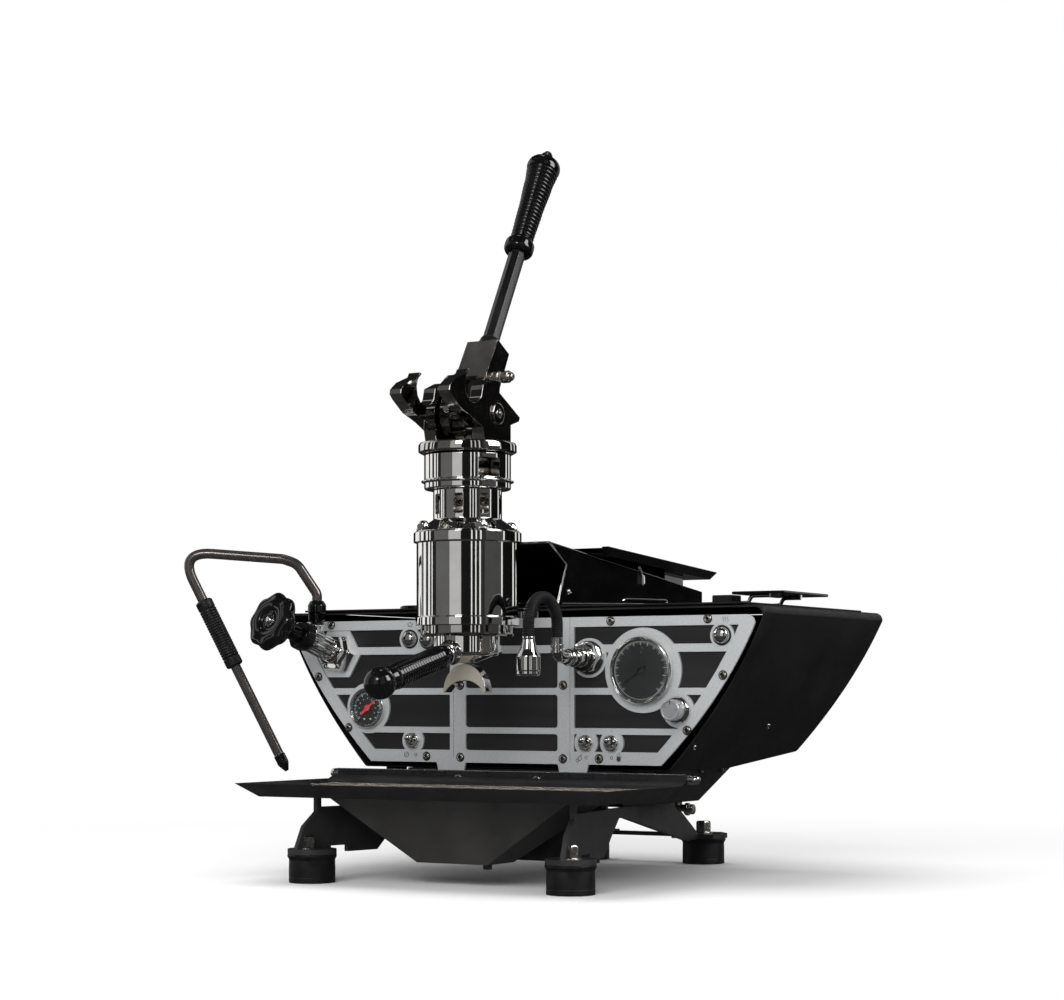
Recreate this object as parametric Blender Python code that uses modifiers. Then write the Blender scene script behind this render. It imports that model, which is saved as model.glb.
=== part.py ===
"""Lever espresso machine with one spring group, in metres, +Z up, front towards -Y.

The hull is a boat-shaped shell behind a shield-shaped front panel. The spring group stands in
front of the panel, its lever leaning back. Every place is measured from the machine's middle
plane (X = 0), the front face of the trim (Y = 0) and the table (Z = 0). One empty carries all
of it, so that the middle of the whole object's box stands on the world origin.
"""

import math

import bmesh
import bpy
import numpy as np
from mathutils import Matrix, Vector

# Clearances
GAP = 0.0003
OVERRUN = 0.003
RUNNING_GAP = 0.0006
MERGE_DISTANCE = 0.00001
CUTTER_LENGTH = 0.0500

# Shield outline of the trim and hull
SHIELD_TOP_HALF = 0.2670
SHIELD_BOTTOM_HALF = 0.1680
SHIELD_TOP = 0.2606
SHIELD_BOTTOM = 0.1152
SHIELD_SHOULDER = 0.0090
SHIELD_BULGE = 0.0095
SHIELD_CORNER = 0.0085
SIDE_STEPS = 6
CORNER_STEPS = 4

# Trim frame and panel plate
TRIM_THICKNESS = 0.0025
TRIM_SIDE_STRIP = 0.0160
TRIM_TOP_STRIP = 0.0101
TRIM_BOTTOM_STRIP = 0.0126
TRIM_STRIP_2 = (0.2251, 0.2329)
TRIM_STRIP_3 = (0.1838, 0.1905)
TRIM_STRIP_4 = (0.1448, 0.1510)
TRIM_POST_INNER = 0.0534
TRIM_POST_OUTER = 0.0720
TRIM_TAB_OUTER = 0.0880
TRIM_TAB_TAPER = 0.0045
TRIM_TAB_LENGTH = 0.0175
PANEL_THICKNESS = 0.0025
PANEL_INSET = 0.0012

# Hull, deck and keel
HULL_BORDER = 0.0095
HULL_WALL = 0.0025
HULL_DEPTH = 0.3030
HULL_REAR_SLANT = 0.0280
HULL_TAIL_RISE = 0.0140
HULL_TAIL_START = 0.1350
DECK_OPENING_HALF = 0.2480
DECK_LIP = 0.0060
DECK_THICKNESS = 0.0020
DECK_HOLE_HALF = 0.0270
DECK_HOLE_FRONT = 0.0120
DECK_HOLE_REAR = 0.0560
KEEL_HALF = 0.1250
KEEL_BOTTOM = 0.0740
KEEL_DEPTH = 0.2560
KEEL_REAR_FLAT = 0.1720
KEEL_WALL = 0.0025

# Feet and leg frame
FOOT_RADIUS = 0.0242
FOOT_HEIGHT = 0.0275
FRONT_FOOT = (0.1450, -0.1380)
REAR_FOOT = (0.0710, 0.2930)
LEG_THICKNESS = 0.0050
FOOT_PLATE = 0.0520
CROSS_PLATE_Y = -0.0120
CROSS_PLATE_BOTTOM = 0.0200
CROSS_PLATE_HALF = 0.1060
TRAY_REST_LENGTH = 0.0060

# Hood, cup shelf, cup plate and filler cap
HOOD_FRONT_HALF = 0.0520
HOOD_REAR_HALF = 0.0800
HOOD_FRONT_TOP = 0.3340
HOOD_REAR_TOP = 0.2950
HOOD_FRONT_Y = -0.0140
HOOD_NECK_Y = 0.0150
HOOD_NECK_SHARE = 0.66
HOOD_REAR_Y = 0.2720
HOOD_WALL = 0.0020
SHELF_HALF = 0.0800
SHELF_FRONT_Y = 0.0630
SHELF_REAR_Y = 0.3100
SHELF_DROP = 0.0150
SHELF_RIM = 0.0085
SHELF_WALL = 0.0025
SHELF_FLARE = 0.0060
SHELF_BRACKET_HALF = 0.0600
SHELF_BRACKET_LENGTH = 0.0450
CUP_PLATE_INSET = 0.0205
CUP_PLATE_MIDDLE_Y = 0.1350
CUP_PLATE_SIZE = (0.0570, 0.1100, 0.0030)
CUP_PLATE_LIFT = 0.0100
CUP_ROD_RADIUS = 0.0022
FILLER_CAP_CENTRE = (-0.1580, 0.0800)
FILLER_CAP_RADIUS = 0.0220
FILLER_CAP_HEIGHT = 0.0055

# Spring group, stacked on one upright axis
GROUP_Y = -0.0830
BARREL_BOTTOM = 0.2505
BARREL_FOOT_HEIGHT = 0.0080
BARREL_HEIGHT = 0.0900
BARREL_HEAD_HEIGHT = 0.0095
BARREL_RADIUS = 0.0495
BARREL_FOOT_RADIUS = 0.0507
BARREL_HEAD_RADIUS = 0.0524
BORE_RADIUS = 0.0300
CONE_HEIGHT = 0.0125
CONE_RADIUS = 0.0505
SLEEVE_RADIUS = 0.0334
SLEEVE_BORE = 0.0270
SLEEVE_HEIGHT = 0.0285
SLEEVE_WINDOWS = 8
SLEEVE_WINDOW_WIDTH = 0.0095
SLEEVE_WINDOW_MARGIN = 0.0045
COLLAR_RADIUS = 0.0421
COLLAR_RING_RADIUS = 0.0450
COLLAR_BAND_HEIGHT = 0.0062
COLLAR_RING_HEIGHT = 0.0034
COLLAR_HEIGHT = 0.0333
COLLAR_WINDOW_WIDTH = 0.0230
COLLAR_WINDOW_MARGIN = 0.0040
COLLAR_WINDOW_TURN = 62.0

# Head casting with two hooked cheeks
HEAD_RING_RADIUS = 0.0478
HEAD_RING_HEIGHT = 0.0117
CHEEK_INNER = 0.0205
CHEEK_THICKNESS = 0.0130
PIVOT_Z = 0.4545
NOTCH_RADIUS = 0.0160
NOTCH_FORWARD = 0.0430
NOTCH_RISE = 0.0220
CHEEK_REACH = 0.0870
CHEEK_FOOT_SHARES = (-0.264, 0.299)
CHEEK_FRONT_SHARES = (
    (-0.305, -0.178), (-0.494, -0.098), (-0.743, -0.023), (-0.943, 0.103), (-1.000, 0.155),
    (-0.991, 0.207), (-0.874, 0.293), (-0.644, 0.379), (-0.609, 0.431),
)
CHEEK_REAR_SHARES = (
    (-0.301, 0.287), (-0.092, 0.368), (0.069, 0.368), (0.057, 0.236), (0.500, 0.006),
    (0.483, -0.040), (0.299, -0.098),
)
NOTCH_STEPS = 8

# Lever, leaning back from its pivot
LEVER_LEAN = 29.0
LEVER_SWING = 100.0
PIVOT_PIN_RADIUS = 0.0055
PIVOT_PIN_HEAD = 0.0105
PIVOT_PIN_HEAD_LENGTH = 0.0045
WEB_RADIUS = 0.0235
WEB_OUTER = 0.0175
SLOT_HALF = 0.0080
SLOT_TOP = 0.0370
KNUCKLE_TOP = 0.0880
KNUCKLE_TOP_HALF = 0.0120
KNUCKLE_NECK_HALF = 0.0140
ROLLER_PIN_AT = 0.0435
ROLLER_PIN_RADIUS = 0.0040
ROLLER_RADIUS = 0.0060
ROLLER_REACH = 0.0400
CRANK_RADIUS = 0.0180
CRANK_PIN_RADIUS = 0.0035
BAR_HALF = 0.0086
BAR_END = 0.1965
BAR_CORE = 0.0050
GRIP_START = 0.1972
GRIP_END = 0.3180
GRIP_FLANGE = 0.0150
GRIP_WAIST = 0.0118
GRIP_BULGE = 0.0172
GRIP_RIBS = 9
END_NUT_RADIUS = 0.0062
END_NUT_HEIGHT = 0.0095

# Piston, its yoke and the spring
PISTON_RADIUS = 0.0292
PISTON_BOTTOM = 0.2600
PISTON_HEIGHT = 0.0320
SEAL_GROOVE = 0.0030
ROD_RADIUS = 0.0080
YOKE_HALF = 0.0068
YOKE_BACK = 0.0270
YOKE_JAW = 0.0080
YOKE_SPINE = 0.0045
YOKE_BASE_HEIGHT = 0.0050
YOKE_TOP_HEIGHT = 0.0065
YOKE_PLAY = 0.0012
SPRING_RADIUS = 0.0200
SPRING_WIRE = 0.0027
SPRING_CURLS = 10
SPRING_POINTS_PER_CURL = 10

# Bayonet ring, screen and portafilter
BAYONET_RADIUS = 0.0460
BAYONET_HEIGHT = 0.0100
BAYONET_CHANNEL_RADIUS = 0.0412
BAYONET_LIP_RADIUS = 0.0356
BAYONET_LIP_HEIGHT = 0.0030
BAYONET_MOUTH = 0.0300
SCREEN_HEIGHT = 0.0030
BOWL_RADIUS = 0.0335
BOWL_WALL = 0.0030
BOWL_TOP_DROP = 0.0020
BOWL_HEIGHT = 0.0270
BOWL_TIP_HEIGHT = 0.0070
BOWL_TIP_RADIUS = 0.0110
BOWL_LUG_REACH = 0.0400
BOWL_LUG_WIDTH = 0.0260
BOWL_LUG_HEIGHT = 0.0045
BASKET_WALL = 0.0010
BASKET_DEPTH = 0.0230
BASKET_RIM = 0.0008
SPOUT_BORE = 0.0035
SPOUT_NECK_RADIUS = 0.0050
SPOUT_OUTER = 0.0275
SPOUT_INNER = 0.0140
SPOUT_THICKNESS = 0.0200
SPOUT_BOTTOM = 0.1860
HANDLE_TILT = 13.8
HANDLE_ROOT_Z = 0.2320
HANDLE_NECK_RADIUS = 0.0060
HANDLE_NECK_REACH = 0.0440
HANDLE_GRIP_LENGTH = 0.0980
HANDLE_GRIP_RADIUS = 0.0108
HANDLE_BALL_RADIUS = 0.0153
HANDLE_RIBS = 8

# Connection between the group and the boiler
MOUNT_HALF = 0.0240
MOUNT_TOP = 0.3200
MOUNT_BOTTOM = 0.2720
MOUNT_FRONT_Y = -0.0500
MOUNT_REAR_Y = 0.0520
BOILER_RADIUS = 0.0550
BOILER_REAR_CLEARANCE = 0.0300
BOILER_FRONT_Y = 0.0250
BOILER_Z = 0.1950
BOILER_PAD_HALF = 0.0200
BOILER_CRADLE_HALF = 0.0300
BOILER_CRADLE_LENGTH = 0.0150
BOILER_CRADLE_SHARES = (0.205, 0.750)

# Steam valve, its knob and wand
VALVE_BASE = (-0.2090, 0.2260)
VALVE_LEAN_SIDE = -0.2200
VALVE_LEAN_UP = 0.3600
VALVE_PLATE_RADIUS = 0.0200
VALVE_PLATE_HEIGHT = 0.0080
VALVE_BODY_RADIUS = 0.0125
VALVE_BODY_END = 0.0430
VALVE_NUT_RADIUS = 0.0150
VALVE_NUT_END = 0.0600
VALVE_STEM_RADIUS = 0.0090
VALVE_STEM_END = 0.0760
KNOB_RADIUS = 0.0310
KNOB_THICKNESS = 0.0160
KNOB_HUB_RADIUS = 0.0110
KNOB_HUB_LENGTH = 0.0120
KNOB_LOBES = 8
KNOB_LOBE_SHARE = 0.10
KNOB_POINTS_PER_LOBE = 4
SWIVEL_AT = 0.0320
SWIVEL_RADIUS = 0.0095
SWIVEL_ELBOW_RADIUS = 0.0070
SWIVEL_BOTTOM = 0.2559
SWIVEL_TOP = 0.2810
TUBE_RADIUS = 0.0047
WAND_TURN = 210.0
WAND_BEND = 0.0200
WAND_STEPS_PER_BEND = 6
WAND_OUT = (0.0000, 0.0000, 0.0205, 0.0350, 0.1440, 0.0395)
WAND_UP = (0.2813, 0.2880, 0.3190, 0.3240, 0.3320, 0.1224)
STEAM_GRIP_RADIUS = 0.0080
STEAM_GRIP_SHARES = (0.11, 0.49)
STEAM_GRIP_RIBS = 6
STEAM_TIP_RADIUS = 0.0062
STEAM_TIP_LENGTH = 0.0190

# Hot-water tap and its hose
TAP_CENTRE = (0.0888, 0.2199)
TAP_FLANGE_RADIUS = 0.0170
TAP_FLANGE_THICKNESS = 0.0030
TAP_NUT_RADIUS = 0.0150
TAP_NUT_LENGTH = 0.0120
TAP_BODY_RADIUS = 0.0095
TAP_BODY_LENGTH = 0.0330
ELBOW_RADIUS = 0.0060
ELBOW_BALL_RADIUS = 0.0085
ELBOW_Y = -0.0635
ELBOW_TOP = 0.2385
HOSE_RADIUS = 0.0058
HOSE_REACH = 0.0550
HOSE_RISE = 0.0380
HOSE_POINTS = 16
NOZZLE_BOTTOM = 0.2015
NOZZLE_BODY_TOP = 0.2255
NOZZLE_RADIUS = 0.0114
NOZZLE_NECK_RADIUS = 0.0055

# Gauges, selector knob, toggles and push buttons
BIG_GAUGE_CENTRE = (0.1483, 0.2075)
BIG_GAUGE_RADIUS = 0.0332
BIG_GAUGE_RING = 0.0415
BIG_GAUGE_BEZEL = 0.0080
BIG_GAUGE_CAN = 0.0300
SMALL_GAUGE_CENTRE = (-0.1715, 0.1700)
SMALL_GAUGE_RADIUS = 0.0207
SMALL_GAUGE_RING = 0.0262
SMALL_GAUGE_BEZEL = 0.0060
GAUGE_RIM = 0.0035
GAUGE_DIAL_THICKNESS = 0.0010
GAUGE_GLASS_THICKNESS = 0.0015
GAUGE_FACE_DEPTH = 0.0045
POINTER_THICKNESS = 0.0008
POINTER_WIDTH_SHARE = 0.10
POINTER_LENGTH_SHARE = 0.80
SELECTOR_CENTRE = (0.1865, 0.1690)
SELECTOR_SKIRT_RADIUS = 0.0135
SELECTOR_SKIRT_LENGTH = 0.0050
SELECTOR_RADIUS = 0.0100
SELECTOR_LENGTH = 0.0190
SELECTOR_RING = 0.0170
TOGGLE_LEFT_CENTRE = (-0.1165, 0.1370)
TOGGLE_INNER_CENTRE = (0.0855, 0.1365)
TOGGLE_OUTER_CENTRE = (0.1140, 0.1365)
TOGGLE_RING = 0.0130
TOGGLE_HOLE = 0.0050
TOGGLE_BALL = 0.0043
TOGGLE_BAT_RADIUS = 0.0022
TOGGLE_BAT_END_RADIUS = 0.0038
TOGGLE_BAT_LENGTH = 0.0150
TOGGLE_REST_TILT = 14.0
BUTTON_LEFT_OUTER_CENTRE = (-0.1202, 0.2408)
BUTTON_LEFT_INNER_CENTRE = (-0.0987, 0.2400)
BUTTON_RIGHT_CENTRE = (0.2330, 0.2405)
BUTTON_RING = 0.0125
BUTTON_RADIUS = 0.0075
BUTTON_DOME = 0.0035
BUTTON_LIFT = 0.0040
BUTTON_STEM_RADIUS = 0.0045
BUTTON_STEM_LENGTH = 0.0100

# Drip tray, grid, rail and hopper
TRAY_HALF = 0.2060
TRAY_FRONT_Y = -0.1840
TRAY_REAR_Y = -0.0260
TRAY_TOP = 0.0975
TRAY_DEPTH = 0.0135
TRAY_INSET_SIDE = 0.0160
TRAY_INSET_FRONT = 0.0190
TRAY_INSET_REAR = 0.0100
TRAY_WALL = 0.0020
TRAY_DRAIN_HALF = 0.1240
TRAY_DRAIN_FRONT_Y = -0.1150
TRAY_DRAIN_REAR_Y = -0.0560
GRID_DROP = 0.0040
GRID_THICKNESS = 0.0020
GRID_COLUMNS = 13
GRID_ROWS = 3
GRID_SLOT_SHARE = 0.62
HOPPER_TOP_HALF = 0.1360
HOPPER_TOP_FRONT_Y = -0.1250
HOPPER_TOP_REAR_Y = -0.0460
HOPPER_BOTTOM_HALF = 0.0400
HOPPER_BOTTOM_FRONT_Y = -0.1120
HOPPER_BOTTOM_REAR_Y = -0.0620
HOPPER_BOTTOM = 0.0215
HOPPER_WALL = 0.0020
DRAIN_RADIUS = 0.0045
DRAIN_LENGTH = 0.0060
DRAIN_OFFSET = 0.0250
RAIL_HALF = 0.2060
RAIL_DEPTH = 0.0130
RAIL_BOTTOM = 0.0975
RAIL_HEIGHT = 0.0100
RAIL_CAP_RADIUS = 0.0046
RAIL_CAP_LENGTH = 0.0070

# Round shapes
ROUND_STEPS = 24
FINE_STEPS = 32
SMALL_STEPS = 12
MEDIUM_STEPS = 16
SHARP_ANGLE = 35.0

# Places worked out from the sizes above
TOGGLE_PLACES = (TOGGLE_LEFT_CENTRE, TOGGLE_INNER_CENTRE, TOGGLE_OUTER_CENTRE)
BUTTON_PLACES = (BUTTON_LEFT_OUTER_CENTRE, BUTTON_LEFT_INNER_CENTRE, BUTTON_RIGHT_CENTRE)
HULL_TOP = SHIELD_TOP + HULL_BORDER
HULL_BOTTOM = SHIELD_BOTTOM - HULL_BORDER * 0.6
BARREL_TOP = BARREL_BOTTOM + BARREL_HEIGHT
SLEEVE_BOTTOM = BARREL_TOP + GAP
SLEEVE_TOP = SLEEVE_BOTTOM + CONE_HEIGHT + SLEEVE_HEIGHT
COLLAR_BOTTOM = SLEEVE_TOP + GAP
COLLAR_TOP = COLLAR_BOTTOM + COLLAR_HEIGHT
HEAD_BOTTOM = COLLAR_TOP + GAP
HEAD_RING_TOP = HEAD_BOTTOM + HEAD_RING_HEIGHT
CHEEK_OUTER = CHEEK_INNER + CHEEK_THICKNESS
DECK_TOP = HULL_TOP + GAP + DECK_THICKNESS
PANEL_FRONT_Y = TRIM_THICKNESS + GAP
PANEL_REAR_Y = PANEL_FRONT_Y + PANEL_THICKNESS

machine = bpy.data.collections.new("lever_espresso_machine")
cutters = bpy.data.collections.new("cutters")
materials = {}
for old in list(bpy.data.objects):
    bpy.data.objects.remove(old)
bpy.context.scene.collection.children.link(machine)
bpy.context.scene.collection.children.link(cutters)
frame = bpy.data.objects.new("machine_frame", None)
machine.objects.link(frame)


def finish(name, colour, roughness, metallic):
    """A Principled material, made once for each name."""
    if name not in materials:
        material = bpy.data.materials.new(name)
        material.use_nodes = True
        shader = material.node_tree.nodes["Principled BSDF"]
        shader.inputs["Base Color"].default_value = (*colour, 1.0)
        shader.inputs["Roughness"].default_value = roughness
        shader.inputs["Metallic"].default_value = metallic
        material.diffuse_color = (*colour, 1.0)
        materials[name] = material
    return materials[name]


def black_coat():
    return finish("black_powder_coat", (0.020, 0.020, 0.021), 0.65, 0.0)


def anthracite():
    return finish("brushed_anthracite", (0.045, 0.043, 0.043), 0.45, 0.8)


def satin_aluminium():
    return finish("satin_aluminium", (0.50, 0.53, 0.54), 0.35, 1.0)


def chrome():
    return finish("mirror_chrome", (0.80, 0.79, 0.77), 0.06, 1.0)


def black_chrome():
    return finish("black_chrome", (0.10, 0.10, 0.11), 0.10, 1.0)


def gloss_black():
    return finish("gloss_black", (0.012, 0.012, 0.013), 0.12, 0.0)


def satin_steel():
    return finish("satin_steel", (0.42, 0.42, 0.41), 0.32, 1.0)


def tray_steel():
    return finish("dark_satin_tray", (0.050, 0.047, 0.046), 0.45, 0.7)


def rubber():
    return finish("black_rubber", (0.015, 0.015, 0.015), 0.80, 0.0)


def nickel():
    return finish("polished_nickel", (0.62, 0.58, 0.50), 0.12, 1.0)


def clear_glass():
    return finish("gauge_glass", (0.85, 0.88, 0.90), 0.03, 0.0)


def red_paint():
    return finish("red_pointer", (0.60, 0.03, 0.02), 0.40, 0.0)


def white_face():
    return finish("gauge_face", (0.75, 0.76, 0.76), 0.50, 0.0)


def place(obj, material, collection=None):
    """Puts an object in the machine under the frame, with its material."""
    (collection or machine).objects.link(obj)
    obj.parent = frame
    obj.data.materials.clear()
    if material:
        obj.data.materials.append(material)
    return obj


def as_cutter(obj):
    obj.hide_render = True
    obj.display_type = "WIRE"
    return obj


def object_from(name, mesh_builder, material, at=(0, 0, 0), turn=(0, 0, 0), helper=False):
    """A new mesh object whose mesh the builder fills through bmesh."""
    mesh = bpy.data.meshes.new(name)
    shape = bmesh.new()
    mesh_builder(shape)
    bmesh.ops.recalc_face_normals(shape, faces=shape.faces)
    shape.to_mesh(mesh)
    shape.free()
    obj = bpy.data.objects.new(name, mesh)
    obj.location = at
    obj.rotation_euler = turn
    if helper:
        return as_cutter(place(obj, None, cutters))
    return place(obj, material)


def box(name, low, high, material=None, helper=False, at=(0, 0, 0), turn=(0, 0, 0)):
    """A box between two corners, given relative to its origin."""
    low = Vector(low)
    high = Vector(high)

    def build(shape):
        middle = Matrix.Translation((low + high) / 2)
        size = Matrix.Diagonal((*(high - low), 1.0))
        bmesh.ops.create_cube(shape, size=1.0, matrix=middle @ size)

    return object_from(name, build, material, at, turn, helper)


def tapered_box(name, top, bottom, material=None, helper=False):
    """A box with unlike top and bottom rectangles: (half width, front Y, rear Y, Z) each."""

    def build(shape):
        bmesh.ops.create_cube(shape, size=1.0)
        for corner in shape.verts:
            half, front, rear, z = top if corner.co.z > 0 else bottom
            corner.co = (
                math.copysign(half, corner.co.x),
                rear if corner.co.y > 0 else front,
                z,
            )

    return object_from(name, build, material, helper=helper)


def turned(name, profile, material, at=(0, 0, 0), turn=(0, 0, 0), steps=ROUND_STEPS, helper=False):
    """A turned shape. An open profile runs from the axis down to the axis, a closed one is a ring."""
    mesh = bpy.data.meshes.new(name)
    shape = bmesh.new()
    points = [shape.verts.new((radius, 0, z)) for radius, z in profile]
    for first, second in zip(points, points[1:]):
        shape.edges.new((first, second))
    if profile[0][0] > 0:
        shape.edges.new((points[-1], points[0]))
    shape.to_mesh(mesh)
    shape.free()
    obj = bpy.data.objects.new(name, mesh)
    obj.location = at
    obj.rotation_euler = turn
    screw = obj.modifiers.new("turn", "SCREW")
    screw.axis = "Z"
    screw.angle = math.tau
    screw.steps = steps
    screw.render_steps = steps
    screw.use_smooth_shade = True
    screw.use_merge_vertices = True
    screw.merge_threshold = MERGE_DISTANCE
    if helper:
        return as_cutter(place(obj, None, cutters))
    place(obj, material)
    mesh.set_sharp_from_angle(angle=math.radians(SHARP_ANGLE))
    return obj


def rod(name, radius, low, high, material=None, at=(0, 0, 0), turn=(0, 0, 0), steps=ROUND_STEPS,
        helper=False):
    """A cylinder along its own Z from low to high."""
    profile = [(0, high), (radius, high), (radius, low), (0, low)]
    return turned(name, profile, material, at, turn, steps, helper)


def extruded(name, outline, thickness, material=None, at=(0, 0, 0), turn=(0, 0, 0), helper=False):
    """A flat outline in its own XY plane, as thick as said and centred on that plane."""

    def build(shape):
        corners = [shape.verts.new((x, y, -thickness / 2)) for x, y in outline]
        face = shape.faces.new(corners)
        raised = bmesh.ops.extrude_face_region(shape, geom=[face])["geom"]
        for part in raised:
            if isinstance(part, bmesh.types.BMVert):
                part.co.z += thickness

    return object_from(name, build, material, at, turn, helper)


# An outline drawn as (X, Z) or (Y, Z) is stood up by one of these turns.
FACING_FRONT = (math.pi / 2, 0, 0)
FACING_SIDE = (math.pi / 2, 0, math.pi / 2)


def tube(name, points, radius, material, at=(0, 0, 0), turn=(0, 0, 0), sides_step=2):
    """A round tube along points."""
    curve = bpy.data.curves.new(name, "CURVE")
    curve.dimensions = "3D"
    curve.bevel_depth = radius
    curve.bevel_resolution = sides_step
    curve.use_fill_caps = True
    line = curve.splines.new("POLY")
    line.points.add(len(points) - 1)
    for point, place_ in zip(line.points, points):
        point.co = (*place_, 1)
    obj = bpy.data.objects.new(name, curve)
    obj.location = at
    obj.rotation_euler = turn
    return place(obj, material)


def cut(obj, *tools):
    for tool in tools:
        step = obj.modifiers.new("cut", "BOOLEAN")
        step.operation = "DIFFERENCE"
        step.object = tool
    return obj


def join(obj, *tools):
    for tool in tools:
        step = obj.modifiers.new("join", "BOOLEAN")
        step.operation = "UNION"
        step.object = tool
    return obj


def arc(centre, radius, start, end, steps):
    """Points on an arc, angles in degrees."""
    points = []
    for index in range(steps + 1):
        angle = math.radians(start + (end - start) * index / steps)
        points.append((centre[0] + radius * math.cos(angle), centre[1] + radius * math.sin(angle)))
    return points


def ribbed(start, end, valley, crest, ribs):
    """Profile of a ribbed grip from its high end to its low one, as (radius, z) with radii by share."""
    points = []
    for index in range(2 * ribs + 1):
        share = index / (2 * ribs)
        radius = crest(share) if index % 2 else valley(share)
        points.append((radius, start + (end - start) * share))
    return points


def shield_side(z, border):
    """Half width of the shield at a height, widened all round by a border."""
    low = SHIELD_BOTTOM - border * 0.6
    high = SHIELD_TOP + border - SHIELD_SHOULDER
    share = (z - low) / (high - low)
    straight = SHIELD_BOTTOM_HALF + (SHIELD_TOP_HALF - SHIELD_BOTTOM_HALF) * share
    return straight + border + 4 * SHIELD_BULGE * share * (1 - share)


def shield_outline(border, tabs=False):
    """The front outline as (X, Z): flat bottom, bulging sides and rounded top corners."""
    low = SHIELD_BOTTOM - border * 0.6
    shoulder = SHIELD_TOP + border - SHIELD_SHOULDER
    right = []
    for index in range(SIDE_STEPS + 1):
        z = low + (shoulder - low) * index / SIDE_STEPS
        right.append((shield_side(z, border), z))
    corner = SHIELD_CORNER
    centre = (right[-1][0] - corner, shoulder)
    right += [(x, z) for x, z in arc(centre, corner, 0, 90, CORNER_STEPS)[1:]]
    top = right[-1][1]
    bottom = []
    if tabs:
        foot = SHIELD_BOTTOM - TRIM_TAB_LENGTH
        bottom = [
            (TRIM_POST_INNER, low),
            (TRIM_POST_INNER + TRIM_TAB_TAPER, foot),
            (TRIM_TAB_OUTER - TRIM_TAB_TAPER, foot),
            (TRIM_TAB_OUTER, low),
        ]
    half = bottom + right[:-1] + [(right[-1][0], top)]
    return half + [(-x, z) for x, z in reversed(half)]


def front_hole(name, centre, radius, length=CUTTER_LENGTH, steps=SMALL_STEPS):
    """A round cutter through the front, along Y."""
    at = (centre[0], 0, centre[1])
    return rod(name, radius, -length, length, at=at, turn=FACING_FRONT, steps=steps, helper=True)


def control_holes(prefix, slack):
    """Cutters for everything that passes through the front."""
    holes = [
        front_hole(prefix + "_big_gauge", BIG_GAUGE_CENTRE, BIG_GAUGE_CAN + slack, steps=ROUND_STEPS),
        front_hole(prefix + "_small_gauge", SMALL_GAUGE_CENTRE, SMALL_GAUGE_RADIUS - GAUGE_RIM + slack,
                   steps=ROUND_STEPS),
        front_hole(prefix + "_tap", TAP_CENTRE, TAP_BODY_RADIUS + slack),
        front_hole(prefix + "_selector", SELECTOR_CENTRE, BUTTON_STEM_RADIUS + slack),
    ]
    for index, centre in enumerate(TOGGLE_PLACES):
        holes.append(front_hole(f"{prefix}_toggle_{index}", centre, TOGGLE_HOLE))
    for index, centre in enumerate(BUTTON_PLACES):
        holes.append(front_hole(f"{prefix}_button_{index}", centre, BUTTON_STEM_RADIUS + slack))
    return holes


def window_outlines():
    """The trim's openings as (X, Z) outlines, middle column and right column."""
    rows = [
        (SHIELD_BOTTOM + TRIM_BOTTOM_STRIP, TRIM_STRIP_4[0]),
        (TRIM_STRIP_4[1], TRIM_STRIP_3[0]),
        (TRIM_STRIP_3[1], TRIM_STRIP_2[0]),
        (TRIM_STRIP_2[1], SHIELD_TOP - TRIM_TOP_STRIP),
    ]
    outlines = []
    for low, high in rows:
        middle = (low + high) / 2
        side = [(shield_side(z, 0) - TRIM_SIDE_STRIP, z) for z in (low, middle, high)]
        outlines.append([(TRIM_POST_OUTER, low), *side, (TRIM_POST_OUTER, high)])
        outlines.append([
            (-TRIM_POST_INNER, low),
            (TRIM_POST_INNER, low),
            (TRIM_POST_INNER, high),
            (-TRIM_POST_INNER, high),
        ])
    return outlines


def trim_frame():
    """Light frame of strips and rings on the panel, cut from one sheet."""
    trim = extruded("trim_frame", shield_outline(0, tabs=True), TRIM_THICKNESS, satin_aluminium(),
                    (0, TRIM_THICKNESS / 2, 0), FACING_FRONT)
    rings = [
        (BIG_GAUGE_CENTRE, BIG_GAUGE_RING),
        (SMALL_GAUGE_CENTRE, SMALL_GAUGE_RING),
        (TAP_CENTRE, TAP_FLANGE_RADIUS + TRIM_THICKNESS),
        (SELECTOR_CENTRE, SELECTOR_RING),
        (VALVE_BASE, VALVE_PLATE_RADIUS * 1.25),
    ]
    rings += [(centre, TOGGLE_RING) for centre in TOGGLE_PLACES]
    rings += [(centre, BUTTON_RING) for centre in BUTTON_PLACES]
    discs = [
        front_hole(f"trim_ring_{index}", centre, radius, 2 * OVERRUN)
        for index, (centre, radius) in enumerate(rings)
    ]
    for index, outline in enumerate(window_outlines()):
        mirrored = [(-x, z) for x, z in reversed(outline)]
        sides = [outline] if index % 2 else [outline, mirrored]
        for side, points in enumerate(sides):
            window = extruded(f"trim_window_{index}_{side}", points, TRIM_THICKNESS + OVERRUN,
                              at=(0, TRIM_THICKNESS / 2, 0), turn=FACING_FRONT, helper=True)
            middle_x = sum(x for x, _ in points) / len(points)
            reach = max(x for x, _ in points) - min(x for x, _ in points)
            low = min(z for _, z in points)
            high = max(z for _, z in points)
            for disc, (centre, radius) in zip(discs, rings):
                beside = abs(centre[0] - middle_x) < reach / 2 + radius
                if beside and low - radius < centre[1] < high + radius:
                    cut(window, disc)
            cut(trim, window)
    cut(trim, *control_holes("trim", RUNNING_GAP))


def front_panel():
    panel = extruded("front_panel", shield_outline(-PANEL_INSET), PANEL_THICKNESS, anthracite(),
                     (0, PANEL_FRONT_Y + PANEL_THICKNESS / 2, 0), FACING_FRONT)
    cut(panel, *control_holes("panel", RUNNING_GAP))


def hull_prism(name, border, front, rear, material=None, helper=False):
    return extruded(name, shield_outline(border), rear - front, material,
                    (0, (front + rear) / 2, 0), FACING_FRONT, helper)


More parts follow.
